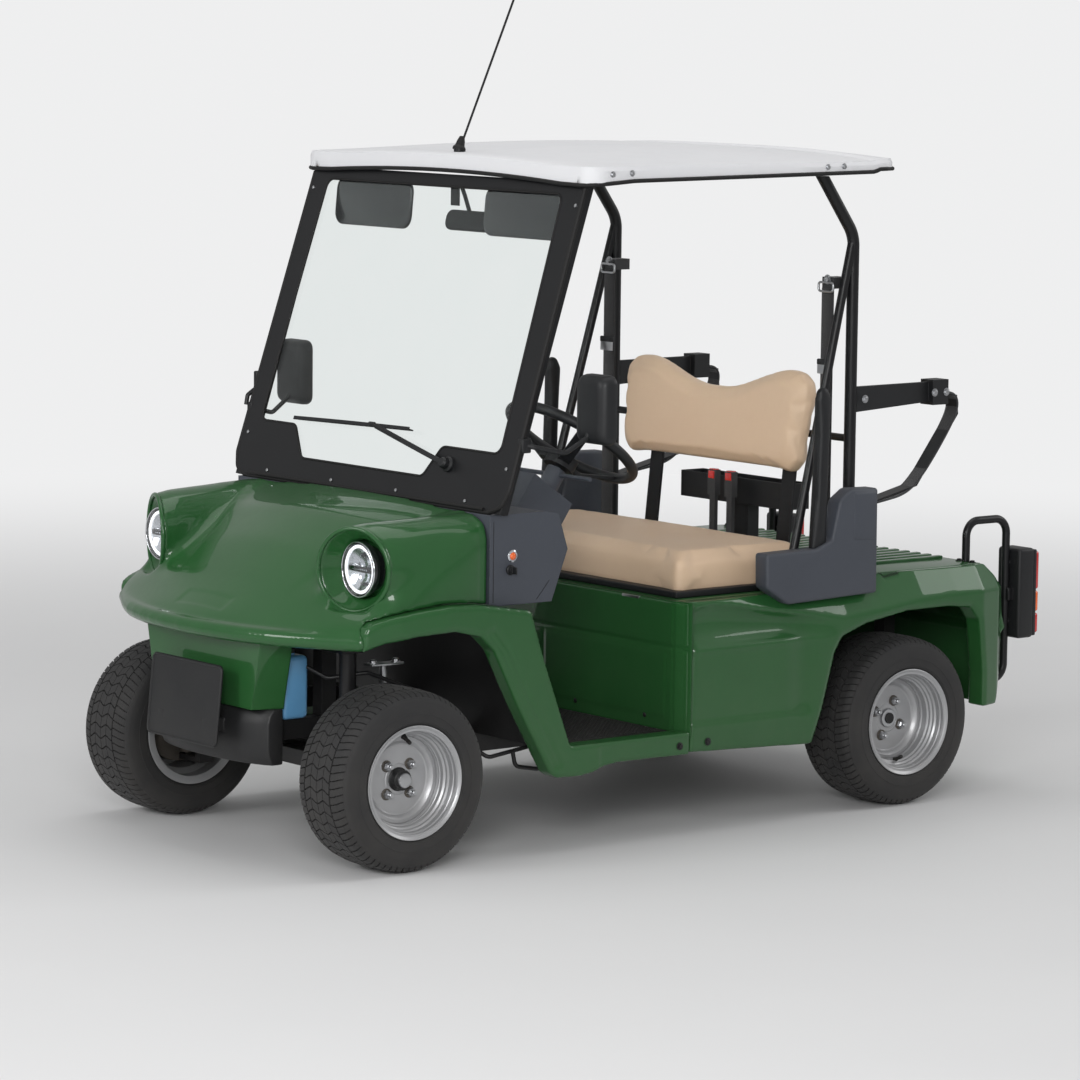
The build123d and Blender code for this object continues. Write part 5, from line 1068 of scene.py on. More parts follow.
@dataclass
class Roof:
    """Moulded roof with a crowned skin, a rubber edge and side bolts."""

    half: float = 0.627
    ends: Flat = (0.508, 1.545)
    step: Flat = (1.455, 1.475)
    corner: float = 0.050
    bow_half: float = 0.52

    def top(self, x: float, station: float) -> float:
        """Height of the skin, which is crowned both ways and steps up near its back."""
        along = (station - self.ends[0]) / (self.ends[1] - self.ends[0])
        edge = 1.736 + 0.009 * along
        crown = edge + 0.034 * math.sin(math.pi * min(max(along, 0.0), 1.0)) ** 0.45
        arch = 0.019 * max(0.0, 1 - (x / self.bow_half) ** 2)
        arch *= 1 - float(ease(np.array(along), 0.0, 0.10))
        side = (abs(x) / self.half) ** 3.2
        step = 0.008 * float(ease(np.array(station), *self.step))
        sill = 1.7415 * side + crown * (1 - side)
        base = max(sill, edge) if abs(x) > 0.6 else sill
        return base + arch * (1 - side) * 0.6 + step * (1 - side * 0.4)

    def rim(self, station: float) -> float:
        """Height of the lower rim."""
        return float(bands(station, ((self.ends[0], 1.694), (0.62, 1.704), (self.step[0], 1.715),
                                     (self.step[1], 1.722), (self.ends[1], 1.722))))

    def bow(self, x: float) -> float:
        """Rise of the front edge at the middle."""
        return 0.017 * max(0.0, 1 - (x / self.bow_half) ** 2)

    def half_at(self, station: float) -> float:
        """Half width, drawn in at the round corners."""
        off = min(station - self.ends[0], self.ends[1] - station)
        if off >= self.corner:
            return self.half
        drawn = max(self.corner ** 2 - (self.corner - off) ** 2, 0)
        return self.half - self.corner + math.sqrt(drawn)

    def skin(self) -> bpy.types.Object:
        """The crowned skin as a closed shell."""
        rings = []
        near = [self.ends[0] + self.corner * (1 - math.cos(math.pi / 2 * step / 8))
                for step in range(9)]
        far = [self.ends[0] + self.ends[1] - station for station in reversed(near)]
        middle = list(np.linspace(near[-1], 1.44, 14))[1:] + [1.452, 1.458, 1.464, 1.470, 1.478]
        for station in near + middle + far:
            half = self.half_at(float(station))
            y, rim = front(float(station)), self.rim(float(station))
            spread = np.concatenate((np.linspace(-1, -0.93, 7), np.linspace(-0.9, 0.9, 27),
                                     np.linspace(0.93, 1, 7)))
            ends = 1.0 if self.ends[0] < station < self.ends[1] else 0.0
            upper = []
            for share in spread:
                x = float(share) * half
                roll = 0.012 * (1 - math.sqrt(max(1 - max((abs(share) - 0.98) / 0.02, 0) ** 2, 0)))
                upper.append((x, y, self.top(x, float(station)) - roll - 0.004 * (1 - ends)))
            lower = [(half, y, rim), (half - 0.012, y, rim), (half - 0.014, y, rim + 0.022)]
            lip = 1 - float(ease(np.array(station - self.ends[0]), 0.010, 0.018))
            lower += [(x - math.copysign(0.03, x) if abs(x) > 0.58 else x, y,
                       min(z - 0.012, rim + 0.034) * (1 - lip) + (rim + self.bow(x)) * lip)
                      for x, _, z in reversed(upper[6:-6])]
            lower += [(-half + 0.014, y, rim + 0.022), (-half + 0.012, y, rim), (-half, y, rim)]
            rings.append(upper + lower)
        return loft("crowned_roof", rings, ROOF_WHITE, True, 32)

    def trim(self) -> bpy.types.Object:
        """Rubber edge all round the lower rim."""
        stations = [*np.linspace(0.560, 1.45, 12), 1.462, 1.474, 1.495]
        left = [(0.612, front(0.5215), 1.695),
                *((self.half + 0.001, front(s), self.rim(s)) for s in stations),
                (0.613, front(1.532), 1.722), (0.577, front(1.5465), 1.722)]
        line = [(x, front(0.5065), 1.694 + self.bow(float(x)))
                for x in np.linspace(-0.577, 0.577, 15)]
        line += left + [(-x, y, z) for x, y, z in reversed(left)]
        return tube("roof_trim", [line], 0.0055, RUBBER, 0.01, 10, True)

    def build(self) -> None:
        """Builds the roof."""
        placed(self.skin(), "cart", "roof_white", "roof")
        placed(self.trim(), "cart", "black_rubber")
        seats = [((side * 0.628, front(station), z), (side, 0, 0)) for side in SIDES
                 for station, z in ((0.572, 1.722), (0.634, 1.724), (1.291, 1.730), (1.347, 1.731))]
        placed(bolts("roof_bolts", seats, 0.0055, 0.0035, ZINC, 12), "cart", "silver_steel")

# ---- Studio ----------------------------------------------------------------------------


@dataclass
class Studio:
    """Camera, lamps, world and floor."""

    eye: Point = (9.4265, -7.5015, 2.1696)
    yaw: float = 51.84
    pitch: float = 6.90
    roll: float = 0.65
    focal_pixels: float = 4517.0
    image_width: float = 1080.0
    sensor: float = 36.0
    floor_radius: float = 330.0
    backdrop: tuple = (0.86, 0.862, 0.866, 1.0)
    lamps: tuple = (("lamp_top", (0.0, 0.2, 5.2), (0.0, 0.0, 0.6), 4.4, 78.0),
                    ("lamp_key", (6.4, -5.6, 3.2), (0.0, -0.2, 0.9), 3.0, 320.0),
                    ("lamp_fill", (-0.8, -8.2, 3.6), (0.0, -0.4, 0.9), 2.6, 190.0),
                    ("lamp_back", (3.0, 6.5, 4.2), (0.0, 0.4, 0.9), 3.0, 90.0))

    def camera(self) -> None:
        """Makes the camera and hands it to the scene."""
        yaw, pitch, roll = (math.radians(turn) for turn in (self.yaw, self.pitch, self.roll))
        ahead = Vector((-math.sin(yaw) * math.cos(pitch), math.cos(yaw) * math.cos(pitch),
                        -math.sin(pitch)))
        level = Vector((math.cos(yaw), math.sin(yaw), 0.0))
        upright = level.cross(ahead)
        right = level * math.cos(roll) + upright * math.sin(roll)
        up = upright * math.cos(roll) - level * math.sin(roll)
        data = bpy.data.cameras.new("camera")
        data.sensor_width = self.sensor
        data.lens = self.sensor * self.focal_pixels / self.image_width
        data.clip_end = 400.0
        camera = brought("camera", data)
        place = Matrix((right, up, -ahead)).transposed().to_4x4()
        place.translation = Vector(self.eye)
        camera.matrix_world = place
        bpy.context.scene.camera = camera

    def lamp(self, name: str, place: Point, aim: Point, size: float, power: float) -> None:
        """Makes a square soft lamp.

        Args:
            name: the lamp's name.
            place: where it hangs.
            aim: the point that it faces.
            size: the length of its side.
            power: its power in watts.
        """
        data = bpy.data.lights.new(name, "AREA")
        data.shape = "SQUARE"
        data.size = size
        data.energy = power
        turn = (Vector(aim) - Vector(place)).to_track_quat("-Z", "Y")
        brought(name, data).matrix_world = Matrix.Translation(place) @ turn.to_matrix().to_4x4()

    def world(self) -> None:
        """Lights the scene with a plain grey world that shows white to camera and gloss."""
        world = bpy.data.worlds.new("studio")
        bpy.context.scene.world = world
        world.use_nodes = True
        world.node_tree.nodes.clear()
        wire = Wiring(world.node_tree)
        light = wire.add("ShaderNodeBackground", Color=(1.0, 1.0, 1.0, 1.0), Strength=0.40)
        white = wire.add("ShaderNodeBackground", Color=self.backdrop, Strength=1.0)
        wire.add("ShaderNodeOutputWorld", Surface=wire.blend(wire.seen(0.10), light, white))

    def floor(self) -> None:
        """Lays the pale floor, which fades to the plain backdrop far from the cart."""
        ring = [(self.floor_radius * math.cos(turn), self.floor_radius * math.sin(turn), 0.0)
                for turn in turns(96)]
        mesh = bpy.data.meshes.new("floor")
        mesh.from_pydata(ring, [], [tuple(range(len(ring)))])
        made = bpy.data.materials.new("studio_floor")
        made.use_nodes = True
        made.node_tree.nodes.clear()
        wire = Wiring(made.node_tree)
        where = wire.add("ShaderNodeTexCoord").outputs["Object"]
        reach = wire.add("ShaderNodeVectorMath", {"operation": "LENGTH"})
        wire.feed(reach.inputs[0], where)
        fade = wire.ramp(reach.outputs["Value"], (1.6, 8.5), (0.0, 1.0), True)
        share = wire.math("MULTIPLY", fade, wire.seen(0.0))
        tone = wire.mix(wire.noise(where, 1.1, 4.0), (0.70, 0.70, 0.705, 1), (0.74, 0.74, 0.742, 1))
        skin = wire.add("ShaderNodeBsdfPrincipled", Base_Color=tone, Roughness=0.62,
                        Specular_IOR_Level=0.2)
        white = wire.add("ShaderNodeEmission", Color=self.backdrop, Strength=1.0)
        wire.add("ShaderNodeOutputMaterial", Surface=wire.blend(share, skin, white))
        mesh.materials.append(made)
        floor = brought("floor", mesh)

    def build(self) -> None:
        """Sets up the whole studio."""
        bpy.context.scene.view_settings.view_transform = "Standard"
        self.camera()
        self.world()
        self.floor()
        for lamp in self.lamps:
            self.lamp(*lamp)


# ---- Moulded shells ---------------------------------------------------------------------


def remoulded(piece: bpy.types.Object, voxel: float, rounds: int, finish: Finish,
              sculpt: Callable[[np.ndarray], np.ndarray] | None = None) -> bpy.types.Object:
    """Gives a solid the even skin and soft edges of a moulding.

    Args:
        piece: a closed solid.
        voxel: the size of the skin's faces.
        rounds: how often the skin is relaxed, which sets how soft the edges are.
        finish: the moulding's finish.
        sculpt: moves the skin's corners before it is relaxed.

    Returns:
        The same object.
    """
    modified(piece, "REMESH", mode="VOXEL", voxel_size=voxel)
    if sculpt:
        put_corners(piece, sculpt(corners_of(piece)))
    modified(piece, "SMOOTH", factor=0.5, iterations=rounds)
    dress(piece, finish)
    piece.data.shade_smooth()
    return piece


def ease(value: np.ndarray, low: float, high: float) -> np.ndarray:
    """Smooth step from 0 at low to 1 at high."""
    share = np.clip((value - low) / (high - low), 0.0, 1.0)
    return share * share * (3.0 - 2.0 * share)


@dataclass
class Hood:
    """Crowned hood with a rolled lip and two lamp pods, and the lamps in them.

    Each section holds the distance behind the front axle, the half width, the height where
    the side turns into the top and the height of the crown.
    """

    sections: tuple = (
        (-0.310, 0.080, 0.566, 0.582), (-0.294, 0.200, 0.570, 0.598), (-0.262, 0.316, 0.578, 0.622),
        (-0.200, 0.432, 0.592, 0.662), (-0.135, 0.542, 0.610, 0.708), (-0.040, 0.556, 0.668, 0.774),
        (0.090, 0.562, 0.770, 0.844), (0.180, 0.558, 0.824, 0.868), (0.250, 0.546, 0.858, 0.884),
        (0.310, 0.540, 0.872, 0.896))
    seam: tuple = ((-0.1255, 0.44), (-0.1250, 0.600), (-0.119, 0.622), (-0.098, 0.633),
                   (-0.055, 0.644), (0.020, 0.655), (0.110, 0.663), (0.200, 0.659), (0.355, 0.632))
    lip_low: float = 0.555
    lamp: Point = (0.443, -0.086, 0.751)
    pod_radius: float = 0.1135
    bowl_radius: float = 0.099
    pod_turn: float = 22.6
    pod_back: Point = (0.474, 0.300, 0.806)
    pod_back_radius: float = 0.074
    ring_sides: int = 48
    lamp_sides: int = 72
    soft_voxel: float = 0.0115
    fine_voxel: float = 0.0052

    def section_ring(self, station: float) -> list[Point]:
        """Ring of the hood's solid at one distance behind the front axle."""
        table = np.array(self.sections)
        half, turn, crown = (float(np.interp(station, table[:, 0], table[:, index]))
                             for index in (1, 2, 3))
        sag = crown - turn
        radius = (half * half + sag * sag) / (2 * sag)
        y = front(station)
        ring = [(-half, y, self.lip_low), (half, y, self.lip_low)]
        for step in range(33):
            x = half * (1 - step / 16)
            ring.append((x, y, crown - radius + math.sqrt(radius * radius - x * x)))
        return ring

    def pod_ring(self, side: int, share: float, radius: float, ahead: float = 0.0) -> list[Point]:
        """Ring of a pod, at a share of the way from its front to its back."""
        middle = Vector((side * self.lamp[0], front(self.lamp[1]), self.lamp[2])).lerp(
            Vector((side * self.pod_back[0], front(self.pod_back[1]), self.pod_back[2])), share)
        turn = math.radians(self.pod_turn) * (1 - share)
        across = Vector((math.cos(turn), side * math.sin(turn), 0.0))
        middle += Vector((side * math.sin(turn), -math.cos(turn), 0.0)) * ahead
        return [middle + radius * (across * math.cos(angle) + Vector(Z_AXIS) * math.sin(angle))
                for angle in turns(self.ring_sides)]

    def pod(self, side: int) -> bpy.types.Object:
        """Solid of one pod."""
        rings = []
        for step in range(11):
            share = step / 10
            full = self.pod_radius + (self.pod_back_radius - self.pod_radius) * share ** 1.1
            rings.append(self.pod_ring(side, share, full))
        return loft("pod", rings, PAINT)

    def bowl(self, side: int) -> bpy.types.Object:
        """Solid that cuts one lamp bowl."""
        rings = [self.pod_ring(side, 0, self.bowl_radius + 0.014, 0.030),
                 self.pod_ring(side, 0, self.bowl_radius)]
        start = 0 if side > 0 else math.pi
        for behind, radius, share in ((-0.074, 0.090, 0.8), (-0.062, 0.080, 0.55),
                                      (-0.056, 0.0725, 0.35), (-0.030, 0.0715, 0.0)):
            turn = math.radians(self.pod_turn) * share
            rings.append([(side * (self.lamp[0] + radius * math.cos(turn) * math.cos(angle)),
                           front(behind) + radius * math.sin(turn) * math.cos(angle),
                           self.lamp[2] + radius * math.sin(angle))
                          for angle in (start + side * part for part in turns(self.ring_sides))])
        return loft("bowl", rings, PAINT)

    def shaped(self, places: np.ndarray) -> np.ndarray:
        """Lifts the centre panel and sinks the blank badge field on the nose."""
        x, y, z = places.T
        back = y - FRONT_AXLE
        edge = bands(back, ((-0.20, 0.235), (-0.10, 0.262), (0.00, 0.300), (0.12, 0.372),
                            (0.25, 0.455)))
        panel = 1 - ease(np.abs(x), edge - 0.016, edge + 0.016)
        places[:, 2] += 0.0075 * panel * ease(back, -0.17, -0.03) * (z > 0.62)
        wall = (np.abs(x) > 0.50) & (z > 0.66)
        places[:, 0] -= np.sign(x) * 0.0022 * ridge(back - 0.226, 0.004) * wall
        field = 1 - ease(np.abs(x), 0.098, 0.104)
        field *= 1 - ease(np.abs(back + 0.230), 0.018, 0.024)
        places[:, 2] -= 0.0022 * field * (z > 0.60)
        return places

    def lip(self) -> bpy.types.Object:
        """Full round lip that runs round the nose to both fenders."""
        outer = [(0.553, -0.085), (0.5515, -0.120), (0.542, -0.139), (0.500, -0.163),
                 (0.432, -0.203), (0.375, -0.234), (0.316, -0.262), (0.258, -0.281),
                 (0.200, -0.295), (0.140, -0.305), (0.080, -0.311), (0.0, -0.314)]
        line = outer + [(-x, y) for x, y in reversed(outer[:-1])]
        inset = 0.0225
        rings = []
        for index, (x, y) in enumerate(line):
            before, after = line[max(index - 1, 0)], line[min(index + 1, len(line) - 1)]
            run = Vector((after[0] - before[0], after[1] - before[1])).normalized()
            inward = Vector((run.y, -run.x))
            if inward.dot(Vector((0 - x, 0.1 - y))) < 0:
                inward = -inward
            rings.append([(x + inward.x * inset * (1 - math.cos(angle)),
                           front(y + inward.y * inset * (1 - math.cos(angle))),
                           0.580 + inset * math.sin(angle)) for angle in turns(20)])
        return loft("lip", rings, PAINT)

    def skin(self) -> bpy.types.Object:
        """The hood's skin: a soft blend first, then its rims, bowls, lip and side edges."""
        stations = np.linspace(self.sections[0][0], self.sections[-1][0], 48)
        hood = loft("hood_skin", [self.section_ring(float(at)) for at in stations], PAINT)
        for side in SIDES:
            carved(hood, [self.pod(side)], "UNION")
        remoulded(hood, self.soft_voxel, 32, PAINT)
        for side in SIDES:
            rings = [self.pod_ring(side, share, radius) for share, radius in
                     ((0, 0.1065), (0.02, 0.1075), (0.09, 0.1060), (0.25, 0.090))]
            carved(hood, [loft("collar", rings, PAINT)], "UNION")
        carved(hood, [self.lip()], "UNION")
        for side in SIDES:
            carved(hood, [self.bowl(side)])
        under = [(front(y), z) for y, z in self.seam]
        under += [(front(0.4), 0.44), (front(-0.1255), 0.44)]
        wall_cut = block("wall_cut", (-0.7, front(0.249), 0.4), (0.7, front(0.4), 1.1), PAINT, 0)
        carved(hood, [side_prism("seam_cut", under, -0.64, 0.64, PAINT), wall_cut])
        remoulded(hood, self.fine_voxel, 8, PAINT, self.shaped)
        return hood

    def lamp_parts(self, side: int) -> bpy.types.Object:
        """One headlamp: can, reflector, halo ring, bar, lens and the rolled ring of its bowl."""
        seat = (side * self.lamp[0], front(-0.034), self.lamp[2])
        facing = (seat, AHEAD, self.lamp_sides)
        can = turned("can", [(-0.041, 0), (-0.041, 0.056), (0.019, 0.057), (0.023, 0.070),
                             (0.034, 0.070), (0.039, 0.068), (0.040, 0.0635), (0.030, 0.0625),
                             (0.008, 0.040), (0.008, 0)], LAMP_BLACK, *facing)
        cup = [(0.010, 0.0)] + [(0.010 + 0.023 * (r / 0.0612) ** 2, r)
                                for r in (0.012, 0.024, 0.036, 0.048, 0.0612)]
        cup += [(reach + 0.0012, r) for reach, r in reversed(cup)]
        reflector = turned("reflector", cup, CHROME, *facing, 50)
        halo = turned("halo", [(0.0335 + 0.0035 * math.cos(turn), 0.0568 + 0.0042 * math.sin(turn))
                               for turn in turns(12)], HALO, *facing, 60)
        x, y, z = seat
        bar = block("bar", (x - 0.051, y - 0.033, z - 0.0075), (x + 0.051, y - 0.012, z + 0.0075),
                    LAMP_BLACK, 0.003)
        ribs = block("rib", (x - 0.030, y - 0.034, z - 0.0015), (x - 0.026, y - 0.032, z + 0.0015),
                     CHROME, 0.0004, 1)
        ROWS.run(ribs, CHROME, Across=8, Up=1, Step=(0.008, 0, 0), Rise=(0, 0, 0))
        ball = [(0.012, 0), (0.012, 0.017), (0.020, 0.0185), (0.024, 0.016), (0.028, 0.009),
                (0.0295, 0)]
        eyes = [turned("eye", ball, LENS, (x, y, z + rise), AHEAD, 40) for rise in (0.024, -0.024)]
        glass = [(0.0455 - 0.0055 * (r / 0.066) ** 2, r)
                 for r in (0, 0.014, 0.028, 0.042, 0.054, 0.062, 0.066)]
        glass += [(reach - 0.0018, r) for reach, r in reversed(glass)]
        lens = turned("lens", glass, LENS, *facing, 60)
        trim = turned("trim", [(0.0385 + 0.0028 * math.cos(turn), 0.0680 + 0.0024 * math.sin(turn))
                               for turn in turns(10)], CHROME, *facing, 60)
        ring = tube("ring", [self.pod_ring(side, 0, 0.1035, 0.0015)], 0.0058, PAINT, 0.0, 12, True)
        return joined(sided("headlamp", side),
                      [can, reflector, halo, bar, ribs, *eyes, lens, trim, ring])

    def build(self) -> None:
        """Builds the hood and its lamps."""
        placed(self.skin(), "cart", "body_green", "hood")
        for side in SIDES:
            placed(self.lamp_parts(side), "cart", "lamp_glass", "headlamps")


# ---- Wheels ----------------------------------------------------------------------------


@dataclass
class Wheel:
    """One wheel: stepped rim with hub, nuts and valve, and a tyre with a wavy block tread."""

    name: str
    side: int
    axle_y: float
    face_x: float
    disc_depth: float
    driven: bool
    valve_turn: float = 100.0
    stud_turn: float = 45.0
    tread_radius: float = 0.2295
    width: float = 0.2
    bolt_circle: float = 0.050
    groove: float = 0.0065
    centre_pitches: int = 50
    shoulder_pitches: int = 72

    def seat(self) -> Point:
        """Middle of the wheel's outer face."""
        return (self.side * self.face_x, self.axle_y, AXLE_HEIGHT)

    def spot(self, depth: float, radius: float, angle: float) -> Point:
        """Point at a depth behind the face, a radius and an angle from the top."""
        return (self.side * (self.face_x - depth), self.axle_y + radius * math.sin(angle),
                AXLE_HEIGHT + radius * math.cos(angle))

    def crown(self, depth: float) -> float:
        """Radius of the tread's top at a depth behind the face."""
        fall = bands(abs(depth - self.width / 2), (
            (0.030, 0), (0.055, 0.0012), (0.078, 0.0045), (0.088, 0.0105), (0.094, 0.019),
            (0.100, 0.033)))
        return self.tread_radius - float(fall)

    def tread_block(self, depths: Sequence[float], shifts: Sequence[float], pitch: float,
                    gap: float, drops: Sequence[float]) -> tuple[list[Point], list[tuple]]:
        """Corners and faces of one tread block.

        Args:
            depths: depths behind the face at which the block is cut.
            shifts: how far round the tyre the block starts at each depth.
            pitch: length of a pitch round the tyre.
            gap: groove between blocks round the tyre.
            drops: how far the top lies below the crown at each depth.

        Returns:
            The corners and the faces, as numbers of corners.
        """
        corners = []
        for depth, shift, drop in zip(depths, shifts, drops):
            top = self.crown(depth) - drop
            low = self.crown(depth) - self.groove - 0.004
            for start, radius in ((shift + gap / 2, low), (shift + gap / 2 + 0.0006, top),
                                  (shift + pitch - gap / 2 - 0.0006, top),
                                  (shift + pitch - gap / 2, low)):
                angle = start / self.tread_radius
                corners.append((self.side * (self.face_x - depth), radius * math.sin(angle),
                                radius * math.cos(angle)))
        last = 4 * (len(depths) - 1)
        faces: list[tuple] = [(0, 1, 2, 3), (last, last + 1, last + 2, last + 3)]
        for level in range(0, last, 4):
            for step in range(4):
                after = (step + 1) % 4
                faces.append((level + step, level + after, level + 4 + after, level + 4 + step))
        return corners, faces

    def pitch_mesh(self, rows: Sequence[tuple], pitch: float, gap: float) -> bpy.types.Object:
        """Blocks of one pitch, still round the X axis through the origin."""
        corners: list[Point] = []
        faces: list[tuple] = []
        for depths, shifts, drops in rows:
            more, sides = self.tread_block(depths, shifts, pitch, gap, drops)
            faces += [tuple(number + len(corners) for number in face) for face in sides]
            corners += more
        return shown("pitch", corners, faces, TYRE, 30)

    def tread(self) -> list[bpy.types.Object]:
        """Centre blocks and shoulder blocks all round the tyre."""
        round_length = 2 * math.pi * self.tread_radius
        edges = np.linspace(0.049, 0.151, 5)
        waves = (0.0, 0.0105, 0.0, 0.0105, 0.0)
        rows = []
        for column in range(4):
            depths = np.linspace(edges[column] + 0.0009, edges[column + 1] - 0.0009, 5)
            share = (depths - edges[column]) / (edges[column + 1] - edges[column])
            bend = waves[column] + (waves[column + 1] - waves[column]) * (
                (1 - np.cos(math.pi * share)) / 2)
            rows.append((depths, bend, [0.0] * 5))
        centre = self.pitch_mesh(rows, round_length / self.centre_pitches, 0.0030)
        rows = []
        for mirror in SIDES:
            depths = np.array((0.0455, 0.038, 0.030, 0.022, 0.014, 0.008, 0.0035))
            sweep = 0.0135 * ((0.0455 - depths) / 0.042) ** 1.5
            drops = (0, 0, 0, 0, 0.0004, 0.0012, 0.0035)
            real = depths if mirror > 0 else self.width - depths
            rows.append((real, sweep * mirror, drops))
        shoulder = self.pitch_mesh(rows, round_length / self.shoulder_pitches, 0.0027)
        middle = (0.0, self.axle_y, AXLE_HEIGHT)
        RINGS.run(centre, TYRE, 30, Count=self.centre_pitches, Centre=middle)
        RINGS.run(shoulder, TYRE, 30, Count=self.shoulder_pitches, Centre=middle)
        return [centre, shoulder]

    def carcass(self) -> bpy.types.Object:
        """Tyre body with rings on its sidewalls."""
        outer = [(0.0065, 0.1325), (0.0065, 0.1455), (0.0030, 0.1475), (0.0012, 0.1500),
                 (0.0012, 0.1522), (-0.0002, 0.1534), (-0.0008, 0.1640), (-0.0016, 0.1720),
                 (-0.0022, 0.1722), (-0.0022, 0.1742), (-0.0016, 0.1746), (-0.0012, 0.1860),
                 (0.0002, 0.1960), (0.0006, 0.1972), (0.0014, 0.2010), (0.0035, 0.2075),
                 (0.0075, 0.2130)]
        across = [(float(depth), self.crown(float(depth)) - self.groove)
                  for depth in np.linspace(0.014, 0.186, 19)]
        inner = [(self.width - depth, radius) for depth, radius in reversed(outer)]
        return turned("carcass", outer + across + inner, TYRE, self.seat(), (-self.side, 0, 0), 96,
                      25)

    def tyre(self) -> bpy.types.Object:
        """The whole tyre."""
        return joined(self.name + "_tread_tyre", [self.carcass(), *self.tread()])

    def rim(self) -> bpy.types.Object:
        """Rim barrel, disc, hub, nuts and valve as one piece."""
        deep = self.disc_depth
        barrel = [(0.0, 0.1425), (0.0006, 0.1437), (0.0026, 0.1439), (0.0048, 0.1425),
                  (0.0050, 0.1300), (0.0390, 0.1280), (0.0510, 0.1120), (0.1490, 0.1120),
                  (0.1610, 0.1270), (0.1950, 0.1270), (0.1952, 0.1425), (0.1974, 0.1439),
                  (0.1994, 0.1437), (0.2, 0.1425), (0.1996, 0.1390), (0.1960, 0.1230),
                  (0.1570, 0.1220), (0.1450, 0.1080), (deep - 0.006, 0.1080),
                  (deep - 0.010, 0.1095), (deep - 0.016, 0.1102), (deep - 0.020, 0.1130),
                  (deep - 0.026, 0.1142), (0.0420, 0.1170), (0.0385, 0.1215), (0.0330, 0.1228),
                  (0.0290, 0.1262), (0.0160, 0.1278), (0.0125, 0.1318), (0.0065, 0.1335),
                  (0.0026, 0.1378)]
        disc = ((-0.012, 0.1090), (-0.0125, 0.1000), (-0.010, 0.0960), (-0.002, 0.0900),
                (0, 0.0860), (0, 0.0400), (-0.0015, 0.0370), (-0.0015, 0.0), (0.004, 0.0),
                (0.004, 0.0860), (0.002, 0.0930), (-0.007, 0.1000), (-0.007, 0.1090))
        drum = ((0.004, 0.0), (0.004, 0.066), (0.009, 0.068), (0.009, 0.089), (0.012, 0.092),
                (0.029, 0.092), (0.030, 0.0905), (0.033, 0.0905), (0.034, 0.092), (0.052, 0.092),
                (0.055, 0.089), (0.055, 0.0))
        hub_disc = ((-0.0015, 0), (-0.0015, 0.0255), (-0.004, 0.0262), (-0.0075, 0.0250),
                    (-0.0085, 0.0232), (-0.0085, 0.0060), (-0.0060, 0.0052), (-0.0060, 0))
        hub_boss = ((0, 0), (0, 0.0300), (-0.003, 0.0300), (-0.005, 0.0270), (-0.021, 0.0262),
                    (-0.0225, 0.0240), (-0.0225, 0))
        hub_cap = ((-0.021, 0), (-0.021, 0.0195), (-0.0305, 0.0190), (-0.0330, 0.0172),
                   (-0.0340, 0.0140), (-0.0340, 0))
        rounds = [("barrel", barrel, 0.0, SILVER, 96), ("disc", disc, deep, SILVER, 96),
                  ("drum", drum, deep, IRON, 64)]
        if self.driven:
            rounds.append(("hub_disc", hub_disc, deep, ZINC, 48))
        else:
            rounds += [("hub_boss", hub_boss, deep, PLASTIC, 48),
                       ("hub_cap", hub_cap, deep, ZINC, 48)]
        parts = [turned(label, [(start + depth, radius) for depth, radius in profile], finish,
                        self.seat(), (-self.side, 0, 0), segments, 22)
                 for label, profile, start, finish, segments in rounds]
        parts += self.nuts()
        parts.append(self.valve())
        return joined(self.name + "_stepped_rim", parts)

    def nuts(self) -> list[bpy.types.Object]:
        """Four wheel nuts on their studs, with conical seats."""
        start = math.radians(self.stud_turn)
        parts = []
        middle = (0.0, self.axle_y, AXLE_HEIGHT)
        spot = (self.side * (self.face_x - self.disc_depth), self.bolt_circle * math.sin(start),
                self.bolt_circle * math.cos(start))
        nut = [(0, 0), (0, 0.0115), (0.004, 0.0118), (0.0125, 0.0112), (0.0155, 0.0085),
               (0.0155, 0)]
        stud = [(0.01, 0), (0.01, 0.0062), (0.0235, 0.0060), (0.0245, 0.0050), (0.0245, 0)]
        cone = [(0, 0), (0, 0.0150), (0.0022, 0.0145), (0.0032, 0.0115), (0.0032, 0)]
        for label, profile, sides, finish, crease in (
                ("nut", nut, 6, ZINC, 10), ("stud", stud, 16, ZINC, 30),
                ("cone", cone, 24, IRON, 30)):
            part = turned(label, profile, finish, spot, (self.side, 0, 0), sides, crease)
            parts.append(RINGS.run(part, finish, crease, Count=4, Centre=middle))
        return parts

    def valve(self) -> bpy.types.Object:
        """Rubber valve stem with its cap, leaning out of the barrel."""
        turn = math.radians(self.valve_turn)
        foot = Vector(self.spot(self.disc_depth - 0.030, 0.112, turn))
        tip = Vector(self.spot(self.disc_depth - 0.058, 0.098, turn))
        run = tip - foot
        long = run.length
        return turned("valve", [(0, 0), (0, 0.0075), (0.006, 0.0062), (long * 0.6, 0.0042),
                                (long * 0.62, 0.0052), (long * 0.95, 0.0050), (long, 0.0040),
                                (long, 0)], RUBBER, tuple(foot), tuple(run), 20, 30)

    def build(self) -> None:
        """Builds the wheel."""
        placed(self.rim(), self.name + "_wheel", "silver_steel", self.name + "_rim")
        placed(self.tyre(), self.name + "_wheel", "tyre_rubber", self.name + "_tyre")


# ---- Seat ------------------------------------------------------------------------------


